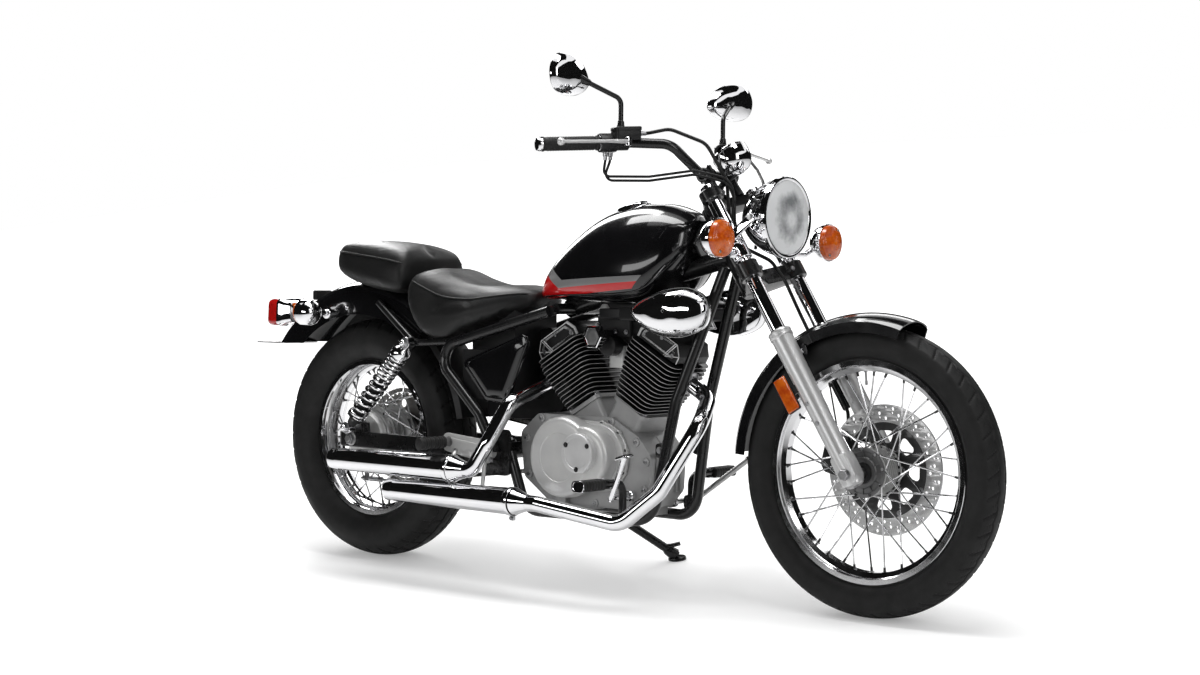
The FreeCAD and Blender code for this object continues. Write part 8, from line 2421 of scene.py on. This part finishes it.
def chainPiece():
    shape = newShape()
    spots = chainPoints()
    y = chainDrive["y"]
    for index, spot in enumerate(spots):
        after = spots[(index + 1) % len(spots)]
        along = (after - spot).normalized()
        rise = along.cross(across)
        pitch = (after - spot).length
        offset = 4.4 if index % 2 else 2.7
        size = 5.5 if index % 2 else 5.7
        ring = []
        for centre, start in ((pitch, -90), (0, 90)):
            for step in range(7):
                turn = radians(start + 30 * step)
                ring.append((centre + size * cos(turn), size * sin(turn)))
            ring.append((pitch / 2, size * 0.74 if start < 0 else -size * 0.74))
        for side in (1, -1):
            layers = [[spot + along * u + rise * v + across * (y + side * (offset + depth)) for u,
                v in ring] for depth in (0, 1.3)]
            addRings(shape, layers, 0)
        addRod(shape, spot + across * (y - 2.6), spot + across * (y + 2.6), 4.1, 10, 1)
        if index % 2 == 0:
            continue
        for pin in (spot, after):
            addRod(shape, pin + across * (y - 5.9), pin + across * (y + 5.9), 1.9, 8, 1)
    centre = frontSprocket
    addSprocket(shape, centre + across * y, 16, 31, 35, 6.6, [], 2)
    addRod(shape, centre + across * 66.3, centre + across * 84.8, 12, 32, 2)
    finishPiece("drive_chain", shape, "chassis", ["chainSteel", "boltSteel", "darkCast"], ["drive_chain"],
        sharp=40)


chainGuard = {"height": 439, "fall": 0.1416}


def chainGuardPiece():
    shape = newShape()

    def height(x):
        return chainGuard["height"] - chainGuard["fall"] * x

    slope = Vector((1, 0, -chainGuard["fall"])).normalized()
    rise = across.cross(slope).normalized()
    if rise.z < 0:
        rise = -rise
    corners = [(60, height(60) - 23), (68, height(68) - 26), (447, height(447) - 26),
        (455, height(455) - 22), (455, height(455) + 3), (60, height(60) + 3)]
    addPlate(shape, [roundOutline(corners, 3)], 3, (0, 87.1, 0), ahead, upward, 0, bevel=1.2, bevelSteps=2)
    middle = Vector((257.5, 79.9, height(257.5) + 1.5))
    halfLength = 395 / 2 * sqrt(1 + chainGuard["fall"] ** 2)
    addPlate(shape, [roundOutline([(-halfLength, -8.7), (halfLength, -8.7), (halfLength, 8.7), (-halfLength,
        8.7)], 4)], 3, middle, slope, across, 0, bevel=1.2, bevelSteps=2)
    addTube(shape, [Vector((x, 88.6, height(x) - 11)) for x in (84, 90, 200, 330, 425, 431)],
        [0.4, 2.2, 2.2, 2.2, 2.2, 0.4], 12, 0)
    for x in (200, 429):
        low = 306 - 0.008 * x + 20
        addPlate(shape, [roundOutline([(x - 6, low - 0.2), (x + 6, low - 0.2), (x + 5, height(x) - 4),
            (x - 5, height(x) - 4)], 3)], 4, (0, 91, 0), ahead, upward, 0, bevel=1)
        addBolt(shape, Vector((x, 93, height(x) - 14)), across, 4.6, 4, 1)
    finishPiece("chain_guard", shape, "chassis", ["frameBlack", "boltSteel"], ["chain_guard"], sharp=32)


def rearAxlePiece():
    shape = newShape()
    axle = Vector(rearAxle)
    addRod(shape, axle - across * 119.6, axle + across * 119.6, 8.5, 32, 0)
    for side in (1, -1):
        addLathe(shape, [(110.3, 8.4), (110.3, 17), (111.8, 17), (112.4, 15), (112.4, 8.4)], axle, across
            * side, 44, 0, looped=True)
        addLathe(shape, [(112.2, 8), (112.2, 14.3), (120.6, 14.3), (121.8, 12.8), (121.8, 8)], axle, across
            * side, 6, 1, looped=True)
        addLathe(shape, [(121, 0.1), (121, 8), (123.2, 8), (124, 7), (124, 0.1)], axle, across * side, 32,
            0)
        addLathe(shape, [(8, 8), (8, 8.4), (134.8, 8.4), (134.8, 7.6), (133, 7)], swing["pivot"], across
            * side, 32, 0)
    addLathe(shape, [(81.8, 8.5), (81.8, 11.5), (85.7, 11.5), (85.7, 8.5)], axle, across, 36, 0,
        looped=True)
    addLathe(shape, [(64, 8.5), (64, 11.5), (85.7, 11.5), (85.7, 8.5)], axle, -across, 36, 0, looped=True)
    finishPiece("rear_axle", shape, "chassis", ["satinSteel", "boltSteel"], ["rear_axle"], sharp=32)


def brakePanelPiece():
    shape = newShape()
    axle = Vector(rearAxle)
    addLathe(shape, [(50, 9.2), (50, 69), (51, 70), (53, 70), (54, 68.6), (56, 66), (60, 62.5),
        (63.4, 60.4), (64, 58.6), (64, 30), (62.6, 29), (62.6, 22), (64, 21), (64, 9.2)], axle, -across, 96,
        0, looped=True)
    for index in range(10):
        turn = 2 * pi * (index + 0.5) / 10
        radial = Vector((cos(turn), 0, sin(turn)))
        beside = Vector((-sin(turn), 0, cos(turn)))
        base = axle - across * 63.2
        corners = [base + radial * r + beside * w - across * d for d in (0, 2) for r, w in ((31, -1.6),
            (56, -1.2), (56, 1.2), (31, 1.6))]
        addFaces(shape, corners, boxFaces, 0)
    cam = Vector((23.1, 0, 266))
    addLathe(shape, [(60, 0.1), (60, 13), (69, 11), (71, 9.6), (71, 0.1)], cam, -across, 36, 0)
    addRod(shape, cam - across * 66, cam - across * 81.8, 6, 24, 1)
    outline = roundOutline([(-9, 8), (9, 8), (6, -66), (-6, -66)], 5.5)
    addPlate(shape, [outline], 5.6, cam - across * 76, ahead, upward, 1, bevel=1.2, bevelSteps=2)
    addBolt(shape, cam - across * 78.8, -across, 4.4, 3, 2)
    end = Vector((cam.x, -76, cam.z - 62))
    addRod(shape, end, Vector((391, -76, end.z)), 3, 16, 2)
    addRod(shape, end - across * 4.6, end + across * 4.6, 5.4, 20, 1)
    addLathe(shape, [(4, 3), (4, 6.6), (12, 6.6), (13, 5.4), (13, 3)], end, -ahead, 24, 2, looped=True)
    addRod(shape, end, end - ahead * 20, 3, 14, 2)
    coil = []
    for index in range(97):
        turn = 2 * pi * index / 12
        coil.append(end + ahead * (8 + 44 * index / 96) + Vector((0, 5.4 * cos(turn), 5.4 * sin(turn))))
    addTube(shape, coil, 1, 7, 2)
    addRod(shape, end + ahead * 52, end + ahead * 54, 6.6, 20, 2)
    finishPiece("rear_brake_panel", shape, "chassis", ["castAlloy", "darkCast", "boltSteel"],
        ["rear_brake_panel"], sharp=32)


sprocketPiece()
chainPiece()
chainGuardPiece()
rearAxlePiece()
brakePanelPiece()
print("drive")

# Pegs and foot controls


def ribbedPad(shape, outline, centre, along, first, second, length, ribs, mat, deep=0.94):
    # rubber sleeve with rounded ribs across it.
    rings = []

    def layer(reach, size):
        rings.append([centre + along * reach + first * u * size + second * v * size for u, v in outline])

    layer(0, 0.86)
    layer(1.2, 0.98)
    layer(4, 1)
    step = (length - 8) / ribs
    for index in range(ribs):
        base = 4 + step * index
        layer(base + step * 0.12, 1)
        layer(base + step * 0.26, deep)
        layer(base + step * 0.40, deep)
        layer(base + step * 0.54, 1)
    layer(length - 1.2, 1)
    layer(length, 0.95)
    addRings(shape, rings, mat)


def riderPegsPiece():
    shape = newShape()
    outline = roundOutline([(-17, -12.6), (17, -12.6), (17, 12.6), (-17, 12.6)], 9, 15)
    for side in (1, -1):
        start = Vector((912, side * 96.5, 168))
        addLathe(shape, [(0, 0.1), (0, 12.4), (1, 13), (8, 13), (9, 12.2), (9, 0.1)], start, across * side,
            40, 0)
        path = smoothPath([start + across * side * 6, Vector((912, side * 128, 168)),
            Vector((912, side * 128, 258)), Vector((912, side * 200, 258))], 26, 6)
        addTube(shape, path, 9, 28, 0)
        # Hinge: fork, tongue and pin.
        for rise in (8.6, -8.6):
            addPlate(shape, [roundOutline([(-10, -12), (10, -12), (10, 10), (-10, 10)], 7)], 3.4,
                Vector((912, side * 193, 258 + rise)), ahead, across * side, 0, bevel=0.8)
        addRod(shape, (912, side * 195, 246.4), (912, side * 195, 269.4), 4.2, 20, 2)
        addBolt(shape, Vector((912, side * 195, 268)), upward, 5, 2.6, 2, 16)
        ribbedPad(shape, outline, Vector((912, side * 205, 258)), across * side, ahead, upward, 78.4, 7, 1)
        rings = [[Vector((912 + u * size, side * y, 258 + v * size)) for u, v in outline] for y,
            size in ((283, 1), (284, 1.012), (285.4, 1.012), (286, 0.97), (286, 0.78), (284.8, 0.76),
            (284.8, 0.3))]
        addRings(shape, rings, 3)
    finishPiece("rider_pegs", shape, "chassis", ["frameBlack", "gripRubber", "boltSteel", "chrome"],
        ["rider_pegs"], sharp=34)


def footControlsPiece():
    shape = newShape()
    pivot, pad = Vector((892, -66.3, 222)), Vector((975, -200, 322))
    path = smoothPath([pivot, Vector((892, -150, 222)), Vector((927, -188, 222)), pad], 18.5, 8)
    addTube(shape, path, 6.5, 28, 0)
    addLathe(shape, [(0, 0.1), (0, 12), (3, 12.4), (16, 12.4), (18, 11), (18, 0.1)], pivot, -across, 40, 0)
    addBolt(shape, pivot - across * 17.6, -across, 7, 5, 2)
    turn = Matrix.Rotation(radians(-18), 3, "Y")
    base = pad - upward * 3
    outline = roundOutline([(-17, -17), (17, -17), (17, 17), (-17, 17)], 6)

    def padLayer(height, size):
        return [base + turn @ Vector((u * size, v * size, height)) for u, v in outline]

    addRings(shape, [padLayer(-0.4, 0.9), padLayer(0, 0.97), padLayer(2.2, 1), padLayer(3, 0.99)], 0)
    addRings(shape, [padLayer(2.8, 0.94), padLayer(5.4, 0.93), padLayer(5.9, 0.88)], 1)
    for slide in (-10.5, -3.5, 3.5, 10.5):
        addBox(shape, (slide - 1.8, -13, 5.6), (slide + 1.8, 13, 7), 1, turn, base)
    # Gear lever on the other side.
    pivot, toe = Vector((894.5, 66.3, 196)), Vector((1024, 200, 296))
    path = smoothPath([pivot, Vector((894.5, 171, 196)), toe], 18.5, 8)
    addTube(shape, path, 6.5, 28, 3)
    addLathe(shape, [(0, 0.1), (0, 12), (3, 12.4), (20, 12.4), (22, 11), (22, 0.1)], pivot, across, 40, 3)
    addBolt(shape, pivot + across * 10 + ahead * 11.6, ahead, 4.2, 4, 2)
    ring = ringOutline(0, 0, 8.45, 24)
    ribbedPad(shape, ring, toe - across * 3, across, ahead, upward, 37, 5, 1, 0.9)
    finishPiece("foot_controls", shape, "chassis", ["chrome", "gripRubber", "boltSteel", "satinSteel"],
        ["foot_controls"], sharp=34)


def passengerPegsPiece():
    shape = newShape()
    for side in (1, -1):
        corners = [(362, 300), (522, 273.4), (522, 330.6), (362, 344)]
        holes = [ringOutline(430, 309, 9, 28), ringOutline(462, 304, 11, 28)]
        outline = roundOutline(corners, 15.4)
        outlines = [outline] + (holes if side > 0 else [])
        addPlate(shape, outlines, 6, (0, side * 143, 0), ahead, upward, 0, bevel=1.2, bevelSteps=2)
        if side < 0:
            rib = roundOutline([(374, 309), (510, 287), (510, 317), (374, 334)], 11)
            addPlate(shape, [rib], 2.4, (0, side * 146.4, 0), ahead, upward, 0, bevel=1, bevelSteps=2)
        addLathe(shape, [(117.2, 8.4), (117.2, 16), (140, 16), (140, 8.4)], swing["pivot"], across * side,
            40, 0, looped=True)
        addBolt(shape, swing["pivot"] + across * side * 146, across * side, 9.6, 7, 2)
        start = Vector((384, side * 146, 322))
        end = Vector((365.5, side * 232, 319))
        along = (end - start).normalized()
        first = ahead - along * ahead.dot(along)
        first.normalize()
        second = along.cross(first)
        addLathe(shape, [(-2, 0.1), (-2, 12), (2, 12), (4, 9), (16, 8.4), (16, 0.1)], start, along, 36, 3)
        length = (end - start).length
        addPlate(shape, [roundOutline([(-11, -9), (11, -9), (11, 9), (-11, 9)], 5)], 20, start + along * 10,
            along, first, 3, bevel=1.6)
        ribbedPad(shape, ringOutline(0, 0, 15, 36), start + along * 15, along, first, second, length - 16,
            5, 1, 0.9)
        addLathe(shape, [(length - 1.6, 15), (length - 1, 15.4), (length + 0.4, 15.2), (length + 1.4, 13.6),
            (length + 1.4, 0.1)], start, along, 40, 1)
    # Hangers for both silencers.
    for start, end in ((Vector((406, -143, 302)), Vector((406, -164, 281))), (Vector((500, -143, 285.5)),
            Vector((519, -172, 226)))):
        addRod(shape, start, end, 5, 24, 0)
    for x, z in ((406, 302), (522, 286)):
        addBolt(shape, Vector((x, -146, z)), -across, 5.4, 4.4, 2)
    finishPiece("passenger_pegs", shape, "chassis", ["castAlloy", "gripRubber", "boltSteel", "darkCast"],
        ["passenger_pegs"], sharp=34)


riderPegsPiece()
footControlsPiece()
passengerPegsPiece()
print("foot controls")

# Side stand

stand = {"pivot": Vector((700, 128, 160)), "foot": Vector((792, 232, 0)), "sink": 0.65}


def standPiece():
    shape = newShape()
    slope = tan(leanAngle)
    foot = stand["foot"] + upward * (stand["foot"].y * slope - stand["sink"])
    normal = Vector((0, -sin(leanAngle), cos(leanAngle)))
    pivot = stand["pivot"]
    addLathe(shape, [(-11, 6.4), (-11, 14), (-10, 15), (10, 15), (11, 14), (11, 6.4)], pivot, across, 44, 0,
        looped=True)
    knee = pivot + Vector((15, 0, -30))
    path = smoothPath([pivot + Vector((5, 0, -13.5)), knee, foot + normal * 10.5], 18.5, 8)
    addTube(shape, path, 10.4, 32, 0)
    addLathe(shape, [(0.1, 0.1), (0.1, 21), (0.8, 22), (5.4, 22), (7.6, 20.6), (8, 18), (8, 0.1)], foot,
        normal, 56, 0)
    leg = (path[-1] - path[-2]).normalized()
    addLathe(shape, [(-34, 10.4), (-30, 12.6), (-14, 14.5), (-6, 15.2)], foot + normal * 9, leg, 32, 0)
    # Toe that the rider's boot pushes.
    spot = foot + normal * 10.5 - leg * 42
    addTube(shape, [spot, spot + Vector((16, 10, 2)), spot + Vector((34, 24, 8))], [6, 5.4, 5], 20, 0)
    finishPiece("side_stand", shape, "side_stand", ["frameBlack"], ["side_stand"], sharp=38)


standPiece()

# CAD pieces that keep their shape

dressed = {"backbone_frame": "frameBlack", "cradle_tubes": "frameBlack", "rear_loops": "frameBlack",
    "battery_box": "blackPlastic", "crankcase": "caseGrey", "control_cables": "cableSheath"}
for node, finish in dressed.items():
    for materialSlot in frame["nodes"][node].material_slots:
        materialSlot.material = materials[finish]


def frameTrim():
    # weld beads where tubes meet, and the bolts that hold the engine and the tank.
    shape = newShape()

    def bead(centre, axis, radius, mat=0):
        addLathe(shape, [(-2.6, radius - 0.4), (-1.6, radius + 1.2), (0, radius + 1.7), (1.6, radius + 1.2),
            (2.6, radius - 0.4)], Vector(centre), Vector(axis), 40, mat, looped=True)

    for side in (1, -1):
        addBolt(shape, Vector((541, side * 112.2, 302)), across * side, 8.5, 7, 1)
        addBolt(shape, Vector((700, side * 108, 168)), across * side, 6.5, 5, 1)
        for x, z, y in ((960, 200, 93), (992, 330, 83.2)):
            addPlate(shape, [roundOutline([(x - 32, z - 16), (x - 4, z - 20), (x + 2, z + 20),
                (x - 32, z + 14)], 8)], 4, (0, side * (y - 14), 0), ahead, upward, 0, bevel=1)
            addBolt(shape, Vector((x - 20, side * (y - 12), z)), across * side, 6.5, 5, 1)
    neck = steerPoint(0, 0, 850)
    for along in (850.6, 1002.4):
        steerLathe(shape, [(along, 25.6), (along + 0.6, 27.4), (along + 2, 27.4), (along + 2.4, 25.6)], 0,
            0, 56, 0, looped=True)
    bead(neck + steerUp * 75 - Vector((34, 0, 8)), Vector((-1, 0, -0.1)), 22)
    finishPiece("frame_trim", shape, "chassis", ["frameBlack", "boltSteel"], sharp=34)


frameTrim()
print("frame")


# Studio

studio = {"floorSize": 14, "worldStrength": 0.48, "nearGlow": 0.24, "nearReach": 1.5, "farReach": 4.2}


def studioFloor():
    mesh = bpy.data.meshes.new("floor")
    half = studio["floorSize"]
    mesh.from_pydata([(-half, -half, 0), (half, -half, 0), (half, half, 0), (-half, half, 0)], [],
        [(0, 1, 2, 3)])
    material = bpy.data.materials.new("floorPale")
    material.use_nodes = True
    tree = material.node_tree
    shader = tree.nodes["Principled BSDF"]
    shader.inputs["Base Color"].default_value = (0.8, 0.8, 0.8, 1)
    shader.inputs["Roughness"].default_value = 0.85
    shader.inputs["Specular IOR Level"].default_value = 0.1
    path = tree.nodes.new("ShaderNodeLightPath").outputs
    seen = calc(tree, "MAXIMUM", path["Is Camera Ray"], path["Is Transmission Ray"])
    # The glow climbs to plain white away from the machine, so that the floor runs into the backdrop.
    spot = tree.nodes.new("ShaderNodeNewGeometry").outputs["Position"]
    reach = vectorCalc(tree, "LENGTH", spot, output="Value")
    level = mapRange(tree, reach, studio["nearReach"], studio["farReach"], studio["nearGlow"], 1,
        interpolation_type="SMOOTHSTEP")
    shader.inputs["Emission Color"].default_value = (1, 1, 1, 1)
    tree.links.new(calc(tree, "MULTIPLY", seen, level), shader.inputs["Emission Strength"])
    mesh.materials.append(material)
    floor = bpy.data.objects.new("floor", mesh)
    bpy.context.scene.collection.objects.link(floor)


def studioWorld():
    world = bpy.data.worlds.new("studio")
    bpy.context.scene.world = world
    world.use_nodes = True
    tree = world.node_tree
    back = tree.nodes["Background"]
    back.inputs["Color"].default_value = (1, 1, 1, 1)
    path = tree.nodes.new("ShaderNodeLightPath").outputs
    seen = calc(tree, "MAXIMUM", path["Is Camera Ray"], path["Is Glossy Ray"])
    seen = calc(tree, "MAXIMUM", seen, path["Is Transmission Ray"])
    tree.links.new(mapRange(tree, seen, 0, 1, studio["worldStrength"], 1), back.inputs["Strength"])


def softbox(name, origin, aim, width, height, power):
    light = bpy.data.lights.new(name, "AREA")
    light.shape = "RECTANGLE"
    light.size, light.size_y = width, height
    light.energy = power
    holder = bpy.data.objects.new(name, light)
    holder.location = origin
    holder.rotation_euler = (Vector(aim) - Vector(origin)).to_track_quat("-Z", "Y").to_euler()
    bpy.context.scene.collection.objects.link(holder)


def darkCard(name, corners, shade=0.01):
    # black screen beside the lens, seen only in polished surfaces.
    mesh = bpy.data.meshes.new(name)
    mesh.from_pydata(corners, [], [tuple(range(len(corners)))])
    material = bpy.data.materials.new(name)
    material.use_nodes = True
    shader = material.node_tree.nodes["Principled BSDF"]
    shader.inputs["Base Color"].default_value = (shade, shade, shade, 1)
    shader.inputs["Roughness"].default_value = 0.9
    shader.inputs["Specular IOR Level"].default_value = 0
    mesh.materials.append(material)
    card = bpy.data.objects.new(name, mesh)
    bpy.context.scene.collection.objects.link(card)
    card.visible_camera = False
    card.visible_diffuse = False
    card.visible_shadow = False
    card.visible_transmission = False


studioFloor()
studioWorld()
softbox("overheadStrip", (0, 0, 2.9), (0, 0, 0.5), 3.4, 0.7, 66)
softbox("rearStrip", (-1.75, 0.98, 2.3), (0.1, 0, 0.75), 0.5, 3, 44)
softbox("frontStrip", (3.1, -1, 1.7), (0.3, 0, 0.55), 0.5, 1.9, 16)
softbox("sideStrip", (-0.6, -3.3, 1.5), (-0.1, -0.1, 0.45), 2.8, 0.5, 20)
softbox("backStrip", (-0.6, 2.8, 1.9), (0, 0, 0.5), 3, 0.6, 16)
# Dark screens seen only in polished surfaces: a ceiling with an opening over the machine, and the walls.
for index, (x, y, farX, farY) in enumerate(((-4.5, -4.5, -1.9, 4.5), (1.9, -4.5, 4.5, 4.5), (-1.9, -4.5,
        1.9, -1.3), (-1.9, 1.3, 1.9, 4.5))):
    darkCard("darkCeiling%d" % index, [(x, y, 4.4), (farX, y, 4.4), (farX, farY, 4.4), (x, farY, 4.4)])
for index, (low, high, top) in enumerate(((-25, 40, 3.2), (40, 125, 3.2), (125, 205, 5.2),
        (205, 330, 5.2))):
    edge = [(5.6 * cos(radians(turn)), 5.6 * sin(radians(turn))) for turn in (low, (2 * low + high) / 3,
        (low + 2 * high) / 3, high)]
    for part, (first, second) in enumerate(zip(edge, edge[1:])):
        darkCard("darkWall%d%d" % (index, part), [(*first, 0.1), (*second, 0.1), (*second, top),
            (*first, top)])

bpy.context.scene.view_settings.view_transform = "Standard"

view = {"lens": 60.165, "sensor": 36, "farClip": 60, "azimuth": 39.94, "elevation": 1.36, "roll": 0.49,
    "place": (3.7724, -3.6285, 0.6915)}
camera = bpy.data.cameras.new("camera")
camera.lens = view["lens"]
camera.sensor_width = view["sensor"]
camera.clip_end = view["farClip"]
viewpoint = bpy.data.objects.new("camera", camera)
azimuth, elevation, roll = (radians(view[key]) for key in ("azimuth", "elevation", "roll"))
backward = Vector((sin(azimuth) * cos(elevation), -cos(azimuth) * cos(elevation), sin(elevation)))
sideways = (-backward).cross(upward).normalized()
overhead = sideways.cross(-backward)
cameraRight = sideways * cos(roll) + overhead * sin(roll)
cameraUp = overhead * cos(roll) - sideways * sin(roll)
pose = Matrix((cameraRight, cameraUp, backward)).transposed().to_4x4()
pose.translation = Vector(view["place"])
viewpoint.matrix_world = place @ pose
bpy.context.scene.collection.objects.link(viewpoint)
bpy.context.scene.camera = viewpoint
print("studio ready")
